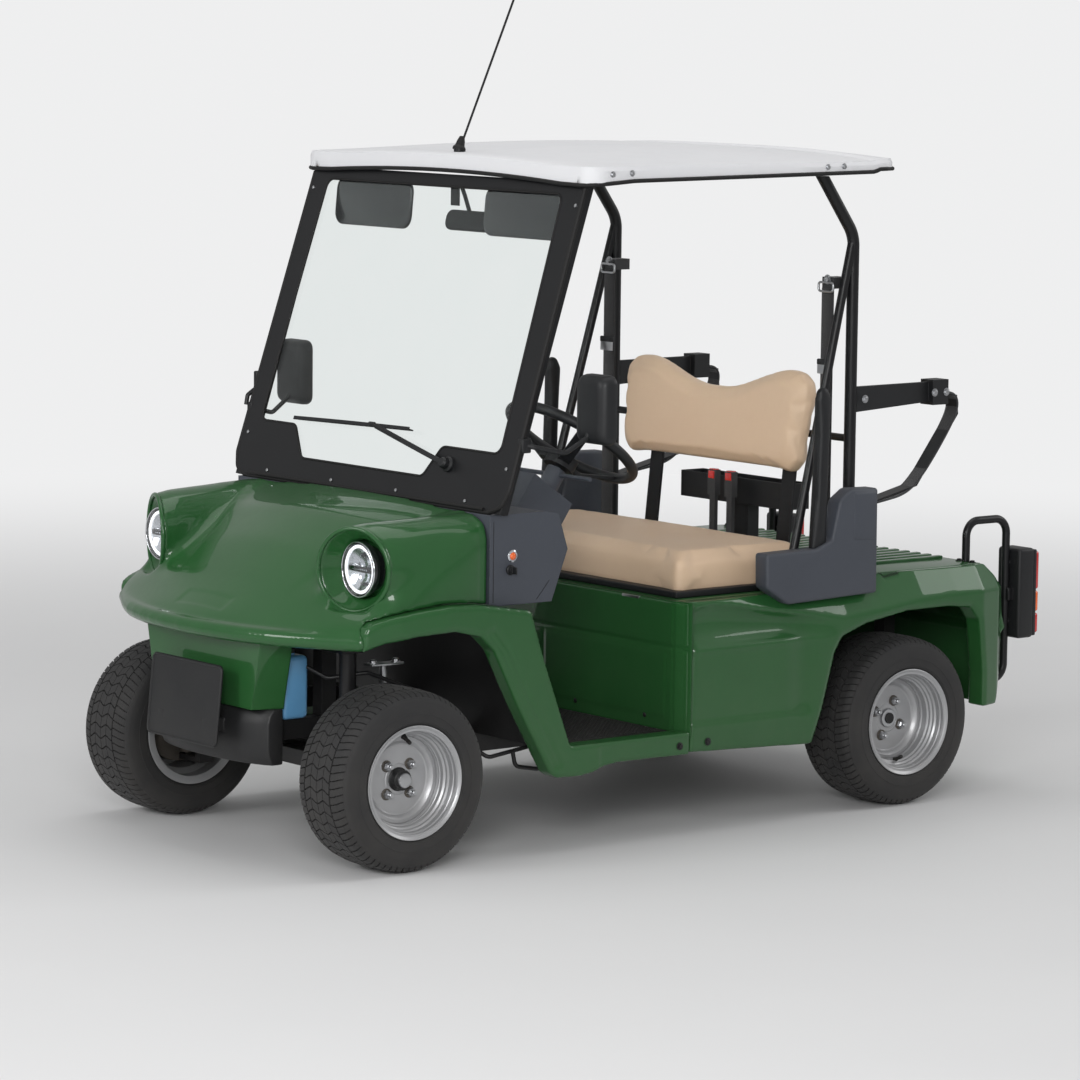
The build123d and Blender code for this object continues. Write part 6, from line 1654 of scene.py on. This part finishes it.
@dataclass
class Upholstery:
    """Padded pieces, swelled by cloth simulation: cushion, backrest and hip guards."""

    voxel: float = 0.0085
    frames: int = 20
    lean: float = 6.0
    rest_foot: Point = (0.0, 0.475, 0.884)
    fabric: tuple = (("quality", 4), ("mass", 0.4), ("tension_stiffness", 12),
                     ("compression_stiffness", 12), ("shear_stiffness", 8),
                     ("bending_stiffness", 1.5), ("use_pressure", True),
                     ("uniform_pressure_force", 4.0))

    def swell(self, piece: bpy.types.Object, cap: float, hold: Callable[[np.ndarray], np.ndarray],
              voxel: float, finish: Finish = VINYL) -> bpy.types.Object:
        """Swells a plain closed form into a pad.

        Args:
            piece: the starting form, a little smaller than the pad.
            cap: how far a point may move.
            hold: gives back the places with those that rest on something put right.
            voxel: the size of the skin's faces.
            finish: the pad's finish.

        Returns:
            The same object, subdivided once.
        """
        modified(piece, "REMESH", mode="VOXEL", voxel_size=voxel)
        modified(piece, "SMOOTH", factor=0.5, iterations=4)
        start = corners_of(piece)
        cloth = piece.modifiers.new("swell", "CLOTH")
        for key, value in self.fabric:
            setattr(cloth.settings, key, value)
        cloth.settings.effector_weights.gravity = 0.0
        cloth.collision_settings.use_collision = False
        cloth.point_cache.frame_end = self.frames
        scene = bpy.context.scene
        for moment in range(1, self.frames + 1):
            scene.frame_set(moment)
        freeze(piece)
        scene.frame_set(1)
        moved = corners_of(piece) - start
        length = np.linalg.norm(moved, axis=1, keepdims=True)
        moved *= np.minimum(1.0, cap / np.maximum(length, 1e-9))
        put_corners(piece, hold(start + moved))
        modified(piece, "SMOOTH", factor=0.5, iterations=3)
        put_corners(piece, hold(corners_of(piece)))
        modified(piece, "SUBSURF", levels=1, render_levels=1)
        put_corners(piece, hold(corners_of(piece)))
        dress(piece, finish)
        piece.data.shade_smooth()
        return piece

    def sewn(self, piece: bpy.types.Object, lines: Sequence[Sequence[Point]], depth: float = 0.0032,
             width: float = 0.0045) -> None:
        """Draws the skin in along sewn lines.

        Args:
            piece: the pad.
            lines: polylines close to the skin.
            depth: how far the skin is drawn in.
            width: how far from a line it reaches.
        """
        places = corners_of(piece)
        normals = np.empty(len(places) * 3)
        piece.data.vertices.foreach_get("normal", normals)
        near = np.min([line_distance(places, line) for line in lines], axis=0)
        drawn = depth * ridge(near, width)
        put_corners(piece, places - normals.reshape(-1, 3) * drawn[:, None])

    def cushion(self) -> bpy.types.Object:
        """Bench cushion with a boxed front and sewn top edge."""
        low, high = 0.6132, 0.7150
        form = block("bench_cushion", (-0.503, -0.030, low), (0.503, 0.440, high - 0.006), VINYL,
                     0.020, 4)

        def hold(places: np.ndarray) -> np.ndarray:
            """Keeps the cushion on its base and inside the space that it has."""
            places[:, 2] = np.clip(places[:, 2], low, high + 0.011)
            places[:, 0] = np.clip(places[:, 0], -0.516, 0.516)
            places[:, 1] = np.clip(places[:, 1], -0.043, 0.4445)
            return places

        self.swell(form, 0.022, hold, self.voxel)
        places = corners_of(form)
        x, y, z = places.T
        crown = (1 - (x / 0.52) ** 4) * (1 - ((y - 0.2) / 0.25) ** 4)
        places[:, 2] += np.clip(crown, 0, 1) * 0.010 * ease(z, 0.66, 0.71)
        dish = ridge(np.abs(x) - 0.24, 0.15) * ridge(y - 0.22, 0.14)
        places[:, 2] -= 0.006 * dish * ease(z, 0.66, 0.71)
        waist = 1 - ((z - 0.664) / 0.05) ** 2
        places[:, 0] -= np.sign(x) * 0.004 * waist * (np.abs(x) > 0.49)
        put_corners(form, places)
        edge = 0.705
        lines = [[(-0.500, -0.032, edge), (0.500, -0.032, edge)]]
        for side in SIDES:
            lines += [[(side * 0.506, -0.028, edge), (side * 0.506, 0.405, edge),
                       (side * 0.506, 0.436, 0.665)],
                      [(side * 0.500, -0.034, edge), (side * 0.500, -0.034, low)]]
        self.sewn(form, lines)
        return form

    def rest_point(self, across: float, up: float, back: float = 0.0) -> Point:
        """Point of the backrest's leaning plane."""
        lean = math.radians(self.lean)
        x, y, z = self.rest_foot
        return (x + across, y + up * math.sin(lean) + back * math.cos(lean),
                z + up * math.cos(lean) - back * math.sin(lean))

    def backrest(self) -> bpy.types.Object:
        """Backrest with two humps along its top."""
        half, hump, dip = 0.396, 0.2975, 0.2430
        right = [(half - 0.048, 0.008), (half - 0.018, 0.044), (half, dip - 0.02),
                 (half - 0.008, dip + 0.018), (half - 0.040, hump - 0.010),
                 (half - 0.088, hump - 0.001)]
        right += [(half - 0.088 - 0.308 * step / 12,
                   dip + (hump - dip) * (1 + math.cos(math.pi * min(step / 11, 1))) / 2)
                  for step in range(1, 13)]
        outline = right + [(-x, up) for x, up in reversed(right[:-1])]
        corners = [self.rest_point(x, up, 0.007) for x, up in outline]
        push = Vector(self.rest_point(0, 0, 0.054)) - Vector(self.rest_point(0, 0, 0.007))
        form = prism("humped_backrest", corners, tuple(push), VINYL)
        bevelled(form, 0.014, 3, 50)
        lean = math.radians(self.lean)
        out = np.array((0.0, math.cos(lean), -math.sin(lean)))
        foot = np.array(self.rest_foot)

        def hold(places: np.ndarray) -> np.ndarray:
            """Keeps the pad's back on its bars and its front within reach."""
            deep = (places - foot) @ out
            return places + (np.clip(deep, -0.012, 0.0618) - deep)[:, None] * out

        self.swell(form, 0.016, hold, 0.0075)
        places = corners_of(form)
        deep = (places - foot) @ out
        up = (places[:, 2] - 0.884) / 0.30
        crown = (1 - (places[:, 0] / 0.42) ** 4) * (1 - (2 * up - 1) ** 4)
        places -= (np.clip(crown, 0, 1) * 0.006 * (deep < 0.02))[:, None] * out
        put_corners(form, places)
        rim = [self.rest_point(x, up, 0.046) for x, up in outline]
        self.sewn(form, [rim + rim[:1]], 0.0018, 0.005)
        return form

    def guard(self, side: int) -> bpy.types.Object:
        """Padded hip guard beside the seat."""
        outline = [(0.358, 0.716), (0.410, 0.716), (0.420, 1.120), (0.406, 1.148), (0.394, 1.151),
                   (0.380, 1.147), (0.372, 1.120)]
        x = side * 0.575
        form = side_prism(sided("hip_guard", side), outline, x - 0.013, x + 0.013, PLASTIC)
        bevelled(form, 0.007, 3, 40)

        def hold(places: np.ndarray) -> np.ndarray:
            """Keeps the guard off its neighbours."""
            places[:, 0] = np.clip(places[:, 0], x - 0.0185, x + 0.0185)
            places[:, 1] = np.clip(places[:, 1], 0.354, 0.4245)
            return places

        return self.swell(form, 0.006, hold, 0.0055, PLASTIC)

    def build(self) -> None:
        """Builds the padded pieces, and the black board under the cushion whose edge is painted
        shade where the cushion rests on its base.
        """
        cushion = placed(self.cushion(), "seat", "tan_vinyl", "seat_cushion")
        # Black board under the cushion: its edge is a painted shadow, the dark line where the
        # cushion rests on its base.
        shadow_strip = block("cushion_shadow_strip", (-0.5045, -0.0385, 0.6130), (0.5045, 0.436, 0.630), PLASTIC,
                      0.003)
        placed(shadow_strip, "seat", "black_rubber")
        backrest = placed(self.backrest(), "cart", "tan_vinyl", "backrest")
        for side in SIDES:
            guard = placed(self.guard(side), "cart", "charcoal_plastic", "side_guards")


# ---- Fittings --------------------------------------------------------------------------


def ribbon(name: str, path: Sequence[Point], across: Point, width: float, thick: float,
           finish: Finish, rounds: int = 3) -> bpy.types.Object:
    """Band along a path, its corners eased.

    Args:
        name: the object's name.
        path: points that the band passes.
        across: direction of the band's width.
        width: the band's width.
        thick: the band's thickness.
        finish: the finish.
        rounds: how often the path's corners are cut.

    Returns:
        The closed band.
    """
    line = [Vector(point) for point in path]
    for _ in range(rounds):
        eased = [line[0]]
        for start, stop in zip(line[:-1], line[1:]):
            eased += [start.lerp(stop, 0.25), start.lerp(stop, 0.75)]
        line = eased + [line[-1]]
    side = Vector(across).normalized()
    rings = []
    for index, point in enumerate(line):
        run = (line[min(index + 1, len(line) - 1)] - line[max(index - 1, 0)]).normalized()
        out = side.cross(run).normalized() * thick / 2
        edge = side * width / 2
        rings.append([point + edge * u + out * v for u, v in
                      ((-1, -0.4), (-0.94, -1), (0.94, -1), (1, -0.4), (1, 0.4), (0.94, 1),
                       (-0.94, 1), (-1, 0.4))])
    return loft(name, rings, finish)


@dataclass
class Windshield:
    """Rubber edges, bolts, wiper, visors and mirror of the leaning windshield."""

    foot: Point = (0.0, -0.680, 0.880)
    up: Point = (0.0, 0.3074, 0.9516)
    window: tuple = ((-0.528, 0.153), (-0.365, 0.153), (-0.300, 0.066), (0.235, 0.066),
                     (0.288, 0.150), (0.528, 0.150), (0.505, 0.828), (-0.512, 0.828))

    @property
    def out(self) -> Point:
        """Direction in which the leaning plane faces."""
        return (0.0, -self.up[2], self.up[1])

    def at(self, u: float, v: float, ahead: float = 0.0) -> Point:
        """Point of the leaning plane."""
        place = Vector(self.foot) + Vector((u, 0, 0)) + Vector(self.up) * v
        return tuple(place + Vector(self.out) * ahead)

    def edges(self) -> list[bpy.types.Object]:
        """Rubber round the frame and round the window."""
        rim = [(-0.583, 0.846), (-0.597, 0.060), (-0.579, 0.0165), (-0.537, 0.0)]
        rim += [(-u, v) for u, v in reversed(rim)]
        outer = tube("frame_edge", [[self.at(u, v, 0.001) for u, v in rim]], 0.0062, RUBBER, 0.03,
                     12)
        inner = tube("window_rubber", [[self.at(u, v, 0.004) for u, v in self.window]], 0.0034,
                     RUBBER, 0.026, 8, True)
        ledge = tube("foot_strip", [[self.at(-0.52, 0.006, 0.006), self.at(0.52, 0.006, 0.006)]],
                     0.0050, RUBBER, 0.0, 10)
        return [outer, inner, ledge]

    def wiper(self) -> bpy.types.Object:
        """Wiper with its boss, arm, bracket and blade."""
        boss = [(0, 0), (0, 0.021), (0.008, 0.0205), (0.012, 0.0150), (0.024, 0.0140),
                (0.029, 0.0105), (0.031, 0.0)]
        parts = [turned("boss", boss, PLASTIC, self.at(0.333, 0.106, 0.003), self.out, 36, 30)]
        arm = [self.at(0.333, 0.106, 0.026), self.at(0.290, 0.115, 0.030),
               self.at(0.150, 0.146, 0.033), self.at(0.020, 0.174, 0.028)]
        parts.append(ribbon("arm", arm, (0.2, 0.29, 0.93), 0.013, 0.007, PLASTIC, 2))
        parts.append(tube("arm_rod", [[self.at(0.150, 0.146, 0.034), self.at(0.010, 0.176, 0.030)]],
                          0.0036, BLACK_STEEL, 0, 10))
        parts.append(block("elbow", (-0.012, 0, 0), (0.012, 0.010, 0.013), PLASTIC, 0.003))
        put_corners(parts[-1], corners_of(parts[-1]) + np.array(self.at(0.0, 0.170, 0.030)))
        blade = [(float(u), float(v)) for u, v in np.linspace((-0.355, 0.168), (0.151, 0.180), 5)]
        holder = [self.at(u, v, 0.021 + 0.006 * math.sin(math.pi * step / 4))
                  for step, (u, v) in enumerate(blade)]
        parts.append(ribbon("holder", holder, self.up, 0.010, 0.0045, PLASTIC, 2))
        rubber = [self.at(u, v - 0.001, 0.0125) for u, v in blade]
        parts.append(ribbon("rubber", rubber, self.up, 0.0035, 0.014, RUBBER, 0))
        return joined("wiper_set", parts)

    def visor(self, left: float, right: float) -> bpy.types.Object:
        """Tinted sun visor on its rod."""
        top, low = Vector(self.at(0, 0.842, -0.016)), Vector(self.at(0, 0.716, -0.044))
        rise = top - low
        middle, half = (left + right) / 2, (right - left) / 2
        origin = tuple(low + Vector((middle, 0, 0)))
        pad = sheet_of("visor", origin, X_AXIS, tuple(rise.normalized()),
                       rounded(half, rise.length / 2, 0.034, (0, rise.length / 2)), 0.011, SMOKE,
                       0.0045)
        ends = [(x, top.y, top.z + 0.004) for x in (left + 0.02, right - 0.02)]
        rod = tube("rod", [ends], 0.005, PLASTIC, 0, 10)
        return joined("sun_visor", [pad, rod])

    def mirror(self) -> bpy.types.Object:
        """Inside mirror on its stalk."""
        centre = Vector(self.at(0.078, 0.753, -0.060))
        across, rise = Vector((1, 0, 0)), Vector((0, 0.26, 0.9656)).normalized()
        shell = sheet_of("shell", tuple(centre), tuple(across), tuple(rise),
                         rounded(0.0935, 0.027, 0.022), 0.018, PLASTIC, 0.007)
        back = across.cross(rise)
        glass = sheet_of("glass", tuple(centre - back * 0.0012), tuple(across), tuple(rise),
                         rounded(0.0885, 0.022, 0.018), 0.0014, MIRROR)
        stalk = tube("stalk", [[tuple(centre + back * 0.010 + rise * 0.018),
                                self.at(0.060, 0.815, -0.030), self.at(0.050, 0.845, -0.012)]],
                     0.0055, PLASTIC, 0.015, 12)
        back_top = Vector(self.at(0.024, 0.838, -0.014)) + Vector((0, 0.020, 0))
        box = block("sensor", self.at(-0.014, 0.79, -0.048), tuple(back_top), PLASTIC, 0.005)
        return joined("inside_mirror", [shell, glass, stalk, box])

    def build(self) -> None:
        """Builds all the windshield's fittings."""
        for part in self.edges():
            placed(part, "cart", "black_rubber")
        seats = [(self.at(u, v, 0.004), self.out) for u, v in
                 ((-0.436, 0.020), (-0.143, 0.020), (0.143, 0.020), (0.436, 0.020),
                  (0.568, 0.115), (0.568, 0.80), (-0.568, 0.115), (-0.568, 0.80))]
        placed(bolts("windshield_bolts", seats, 0.0048, 0.003, ZINC, 12), "cart", "silver_steel")
        for part in (self.wiper(), self.visor(-0.486, -0.148), self.visor(0.170, 0.507),
                     self.mirror()):
            placed(part, "cart", "black_rubber", "windshield_fittings")
        hook = block("hook", (-0.612, -0.604, 1.085), (-0.596, -0.584, 1.150), BLACK_STEEL, 0.004)
        catch = tube("catch", [[(-0.606, -0.604, 1.10), (-0.612, -0.622, 1.085),
                                (-0.610, -0.628, 1.060)]], 0.006, BLACK_STEEL, 0.01, 10)
        placed(joined("windshield_catch", [hook, catch]), "cart", "black_steel")


@dataclass
class DoorMirror:
    """Outside mirror with its bent arm."""

    side: int
    centre: Point = (0.657, -0.439, 1.137)
    arm: tuple = ((0.590, -0.618, 1.052), (0.612, -0.602, 1.048), (0.640, -0.520, 1.030),
                  (0.652, -0.462, 1.066), (0.654, -0.441, 1.105))

    def build(self) -> None:
        """Builds the shell, the glass and the arm."""
        x, y, z = self.side * self.centre[0], self.centre[1], self.centre[2]
        shape = rounded(0.061, 0.088, 0.024)
        rings = [[(x + u * grow, y + depth, z + v * (1 - (1 - grow) * 0.7)) for u, v in shape]
                 for depth, grow in ((0.023, 0.97), (0.018, 1.0), (0.006, 0.995), (-0.008, 0.95),
                                     (-0.017, 0.86), (-0.0215, 0.72), (-0.023, 0.5))]
        shell = loft("mirror_shell", rings, PLASTIC)
        glass = prism("mirror_glass", [(x + u * 0.90, y + 0.0228, z + v * 0.92) for u, v in shape],
                      (0, 0.0012, 0), MIRROR)
        arm = tube("mirror_arm", [[(self.side * u, v, w) for u, v, w in self.arm]], 0.0062, PLASTIC,
                   0.025, 14)
        clamp = block("clamp", (self.side * 0.584, -0.629, 1.032),
                      (self.side * 0.606, -0.600, 1.068), PLASTIC, 0.004)
        knuckle = turned("knuckle", [(0, 0), (0, 0.013), (0.016, 0.011), (0.018, 0.0)], PLASTIC,
                         (self.side * 0.654, -0.441, 1.090), Z_AXIS, 24, 30)
        placed(joined(sided("door_mirror", self.side), [shell, glass, arm, clamp, knuckle]),
               "cart", "black_rubber", "door_mirrors")


@dataclass
class Bumper:
    """Front bumper band and the blank plate holder in front of it."""

    def build(self) -> None:
        """Builds the band, the holder and its rim."""
        rings = []
        for x in np.linspace(-0.246, 0.246, 25):
            ahead = -1.118 - 0.076 * math.sqrt(max(1 - (x / 0.262) ** 2, 0.0))
            rings.append([(float(x), ahead + back, z) for back, z in
                          ((0.004, 0.262), (0.0, 0.280), (0.0, 0.345), (0.006, 0.368),
                           (0.018, 0.384), (0.046, 0.384), (0.046, 0.242), (0.014, 0.242))])
        band = bevelled(loft("band", rings, PLASTIC), 0.004, 2, 30)
        up = (0.0, 0.0957, 0.9954)
        plate = sheet_of("plate", (0.0, -1.2375, 0.2842), X_AXIS, up,
                         rounded(0.158, 0.1040, 0.016, (0, 0.1040)), 0.0050, PLASTIC, 0.0015)
        line = [(u, -1.2420 + up[1] * v, 0.2842 + up[2] * v)
                for u, v in rounded(0.1545, 0.1005, 0.014, (0, 0.1040))]
        rim = tube("rim", [line], 0.0030, PLASTIC, 0.0, 8, True)
        arms = [block("arm", (x - 0.012, -1.236, 0.318), (x + 0.012, -1.180, 0.352), PLASTIC, 0.003)
                for x in (-0.10, 0.10)]
        placed(joined("bumper_and_plate", [band, plate, rim, *arms]), "cart", "black_rubber",
               "front_bumper")


@dataclass
class TailLamps:
    """Tail lamp housings with red and amber lenses, each from a low to a high edge."""

    x: float = 0.490
    lenses: tuple = ((0.548, 0.654, RED_LENS), (0.486, 0.544, AMBER_LENS),
                     (0.426, 0.482, RED_LENS))

    def build(self) -> None:
        """Builds both lamps."""
        for side in SIDES:
            x = side * self.x
            shell = block("shell", (x - 0.045, 1.1675, 0.415), (x + 0.045, 1.226, 0.665), PLASTIC,
                          0.010, 4)
            rim = block("rim", (x - 0.043, 1.222, 0.420), (x + 0.043, 1.236, 0.660), PLASTIC, 0.004)
            lenses = [block("lens", (x - 0.039, 1.224, low), (x + 0.039, 1.2495, high), finish,
                            0.007, 4) for low, high, finish in self.lenses]
            screws = bolts("screws", [((x, 1.168, z), AHEAD) for z in (0.460, 0.625)], 0.0060,
                           0.003, ZINC, 12)
            clip = block("clip", (x - 0.020, 1.150, 0.520), (x + 0.020, 1.170, 0.556), BLACK_STEEL,
                         0.003)
            placed(joined(sided("tail_lamp", side), [shell, rim, *lenses, screws, clip]),
                   "cart", "black_rubber", "tail_lamps")


@dataclass
class Cabin:
    """Dash lamp and key, dash seams, pedal pads, floor studs, belts' webbing and metal parts and
    buckles.
    """

    def dash(self) -> None:
        """Round warning lamp in its chrome ring and the key switch, on the dash's left side."""
        face = 0.5555
        lamp = (face, front(0.321), 0.770)
        ring = turned("ring", [(0, 0.0100), (0, 0.0155), (0.003, 0.0155), (0.0050, 0.0125),
                               (0.0045, 0.0100)], CHROME, lamp, X_AXIS, 40, 30)
        jewel = turned("jewel", [(0, 0), (0, 0.0102), (0.004, 0.0098), (0.0078, 0.0060),
                                 (0.0090, 0.0)], AMBER_LENS, lamp, X_AXIS, 32, 40)
        switch = turned("switch", [(0, 0), (0, 0.0135), (0.004, 0.0130), (0.006, 0.0105),
                                   (0.012, 0.0100), (0.012, 0)], PLASTIC,
                        (face, front(0.315), 0.735), X_AXIS, 32, 30)
        key = block("key", (0.566, front(0.3135), 0.726), (0.584, front(0.3165), 0.744), PLASTIC,
                    0.001, 2)
        placed(joined("dash_lamp_and_key", [ring, jewel, switch, key]), "cart", "lamp_glass")
        seam = tube("dash_seam", [[(face, front(0.262), 0.860), (face, front(0.262), 0.655)],
                                  [(face, front(0.440), 0.700), (face, front(0.400), 0.655)]],
                    0.0012, PLASTIC, 0, 6)
        placed(seam, "cart", "charcoal_plastic")

    def floor(self) -> None:
        """Rows of studs on the floor mat."""
        dome = [(-0.001, 0), (-0.001, 0.0052), (0.0016, 0.0044), (0.0020, 0.0)]
        stud = turned("studs", dome, MAT, (-0.504, -0.410, 0.274), Z_AXIS, 8, 30)
        ROWS.run(stud, MAT, 30, Across=73, Up=23, Step=(0.014, 0, 0), Rise=(0, 0.014, 0))
        placed(stud, "cart", "black_rubber")

    def pads(self) -> None:
        """Ribbed rubber pads on both pedals."""
        parts = []
        for x in (0.205, 0.335):
            pad = block("pad", (x - 0.037, -0.452, 0.352), (x + 0.037, -0.444, 0.440), RUBBER,
                        0.003)
            rib = block("rib", (x - 0.033, -0.445, 0.358), (x + 0.033, -0.441, 0.362), RUBBER,
                        0.0012, 1)
            ROWS.run(rib, RUBBER, Across=1, Up=9, Step=(0, 0, 0), Rise=(0, 0, 0.009))
            whole = joined("pedal_pad", [pad, rib])
            places = corners_of(whole)
            places[:, 1] -= 0.35 * (places[:, 2] - 0.396)
            put_corners(whole, places)
            parts.append(whole)
        placed(joined("pedal_pads", parts), "cart", "black_rubber")

    def belts(self) -> None:
        """Webbing face, upper loops, tongues and red buckles."""
        belts_x = (-0.4607, 0.4607)
        webs = [ribbon("web", [(x, 0.5055, 0.700), (x, 0.5055, 1.400)], X_AXIS, 0.044, 0.0016,
                       WEBBING, 0) for x in belts_x]
        placed(joined("belt_webbing_faces", webs), "cart", "black_webbing")
        parts = []
        for x in belts_x:
            frame_line = [(x + u, 0.500, 1.404 + v) for u, v in rounded(0.029, 0.012, 0.008)]
            parts.append(tube("loop", [frame_line], 0.0032, ZINC, 0.0, 10, True))
            parts.append(block("tongue", (x - 0.026, 0.4965, 1.172), (x + 0.026, 0.5010, 1.200),
                               ZINC, 0.0015, 2))
            parts.append(block("grip", (x - 0.027, 0.4950, 1.196), (x + 0.027, 0.5040, 1.212),
                               PLASTIC, 0.003, 2))
            parts.append(bolts("anchor", [((x, 0.505, 1.424), AHEAD)], 0.009, 0.006, ZINC))
        placed(joined("belt_metal", parts), "cart", "silver_steel")
        # The buttons take the red lens finish and carry its faint glow: painted light on parts that
        # are no lamp.
        reds = []
        for x in (-0.036, 0.036):
            reds.append(block("button", (x - 0.0125, 0.5315, 0.846), (x + 0.0125, 0.5345, 0.867),
                              RED_LENS, 0.0012, 2))
            reds.append(block("cap", (x - 0.0125, 0.535, 0.8685), (x + 0.0125, 0.551, 0.8725),
                              RED_LENS, 0.0015, 2))
        placed(joined("buckle_buttons", reds), "cart", "red_lens")

    def build(self) -> None:
        """Builds the cabin's small parts."""
        self.dash()
        self.floor()
        self.pads()
        self.belts()


@dataclass
class Extras:
    """Washer bottle, antenna boot, bag straps, hoses, brackets and the stay under the floor."""

    def bottle(self) -> None:
        """Blue washer bottle with neck and cap."""
        shell = block("bottle", (0.166, -1.089, 0.351), (0.234, -1.011, 0.512), BOTTLE, 0.014, 4)
        mouth = (0.2, -1.05, 0.512)
        neck = turned("neck", [(-0.004, 0), (-0.004, 0.0145), (0.010, 0.0145), (0.010, 0)], BOTTLE,
                      mouth, Z_AXIS, 28, 30)
        cap = turned("cap", [(0.006, 0), (0.006, 0.0185), (0.017, 0.0180), (0.0205, 0.0150),
                             (0.0205, 0)], PLASTIC, mouth, Z_AXIS, 28, 30)
        placed(joined("washer_bottle_set", [shell, neck, cap]), "cart", "blue_plastic",
               "washer_bottle")

    def antenna(self) -> None:
        """Rubber boot at the foot of the antenna."""
        profile = [(-0.002, 0), (-0.002, 0.0175), (0.004, 0.0175), (0.010, 0.0125),
                   (0.022, 0.0105), (0.034, 0.0065), (0.036, 0.0)]
        boot = turned("antenna_boot", profile, RUBBER, (0.0, -0.3775, 1.764), (0, 0.30, 0.954), 32,
                      30)
        placed(boot, "cart", "black_rubber")

    def straps(self) -> None:
        """Sagging webbing straps of the bag carrier."""
        for side in SIDES:
            x = side * 0.5
            line = [(x, front(y), z) for y, z in
                    ((1.8150, 1.1125), (1.8650, 1.1060), (1.8760, 1.0650), (1.8330, 0.9950),
                     (1.7500, 0.8900), (1.6900, 0.8420), (1.6000, 0.8270), (1.5190, 0.8160),
                     (1.5180, 0.7910))]
            band = ribbon(sided("strap", side), line, X_AXIS, 0.0465, 0.0060, WEBBING)
            placed(band, "cart", "black_webbing")
            seats = [((side * 0.525, front(y), z), (side, 0, 0)) for y, z in
                     ((1.530, 1.106), (1.783, 1.112), (1.826, 1.112))]
            placed(bolts(sided("ratchet_bolts", side), seats, 0.0075, 0.004, ZINC), "cart",
                   "silver_steel")

    def under(self) -> None:
        """Stay, hoses and brackets seen in the front arches."""
        lines = (
            ((0.500, front(0.372), 0.262), (0.500, front(0.381), 0.222),
             (0.500, front(0.476), 0.204), (0.500, front(0.470), 0.262)),
            ((0.20, -1.04, 0.500), (0.27, -0.98, 0.455), (0.33, -0.90, 0.470),
             (0.36, -0.78, 0.420)),
            ((0.36, -0.66, 0.300), (0.44, -0.60, 0.240), (0.47, -0.50, 0.262),
             (0.40, -0.40, 0.258)))
        stays, zinc = [], []
        for side in SIDES:
            stays += [[(side * x, y, z) for x, y, z in line] for line in lines]
            zinc.append(block("bracket", (side * 0.315, -0.900, 0.486),
                              (side * 0.350, -0.800, 0.492), ZINC, 0.0015, 2))
            zinc.append(block("lug", (side * 0.326, -0.862, 0.440), (side * 0.340, -0.846, 0.490),
                              ZINC, 0.002, 2))
            seats = [((side * 0.332, y, 0.492), Z_AXIS) for y in (-0.885, -0.815)]
            zinc.append(bolts("nuts", seats, 0.009, 0.007, ZINC))
        placed(tube("stays_and_hoses", stays, 0.0055, BLACK_STEEL, 0.02, 12), "cart", "black_steel")
        placed(joined("damper_brackets", zinc), "cart", "silver_steel")

    def build(self) -> None:
        """Builds the extras."""
        self.bottle()
        self.antenna()
        self.straps()
        self.under()

# ---- The cart --------------------------------------------------------------------------

BARE = {
    "knuckle_left": IRON, "knuckle_right": IRON, "front_suspension": BLACK_STEEL,
    "chassis_frame": BLACK_STEEL, "rear_axle": BLACK_STEEL, "drive_motor": IRON,
    "battery_pack": BATTERY, "floor_tray": BLACK_STEEL, "floor_mat": MAT,
    "side_panel_left": PAINT, "side_panel_right": PAINT, "front_apron": PAINT,
    "front_bumper": PLASTIC, "dash_panel": CHARCOAL, "steering_column": CHARCOAL,
    "steering_wheel": PLASTIC, "pedals": PLASTIC, "seat_base": PAINT, "rear_body": PAINT,
    "corner_covers": CHARCOAL, "rear_posts": BLACK_STEEL, "seat_belts": WEBBING,
    "windshield_frame": BLACK_STEEL, "windshield_glass": PANE, "windshield_fittings": PLASTIC,
    "door_mirrors": PLASTIC, "roof": ROOF_WHITE, "roof_antenna": BLACK_STEEL,
    "rear_hoops": BLACK_STEEL, "tail_lamps": PLASTIC, "bag_carrier": PLASTIC,
    "washer_bottle": BOTTLE,
}


def assemblies() -> list:
    """The dressed sub-assemblies in the order in which they are built."""
    wheels = [
        Wheel("front_left", 1, FRONT_AXLE, 0.590, 0.074, False, -3.0),
        Wheel("front_right", -1, FRONT_AXLE, 0.590, 0.074, False, 60.0, 20.0),
        Wheel("rear_left", 1, REAR_AXLE, 0.578, 0.088, True, 178.0, 25.0),
        Wheel("rear_right", -1, REAR_AXLE, 0.578, 0.088, True, 200.0, 70.0),
    ]
    return [Hood(), SidePanel(1), SidePanel(-1), SeatBase(), RearBody(), Covers(), Roof(),
            Windshield(), DoorMirror(1), DoorMirror(-1), Bumper(), TailLamps(), Cabin(), Extras(),
            *wheels, Upholstery()]


def main() -> None:
    """Builds the cart's dressed pieces in order."""
    logging.basicConfig(level=logging.INFO, format="%(message)s")
    Studio().build()
    bare_nodes(BARE)
    for assembly in assemblies():
        log.info("building %s", type(assembly).__name__)
        assembly.build()


if __name__ == "__main__":
    main()
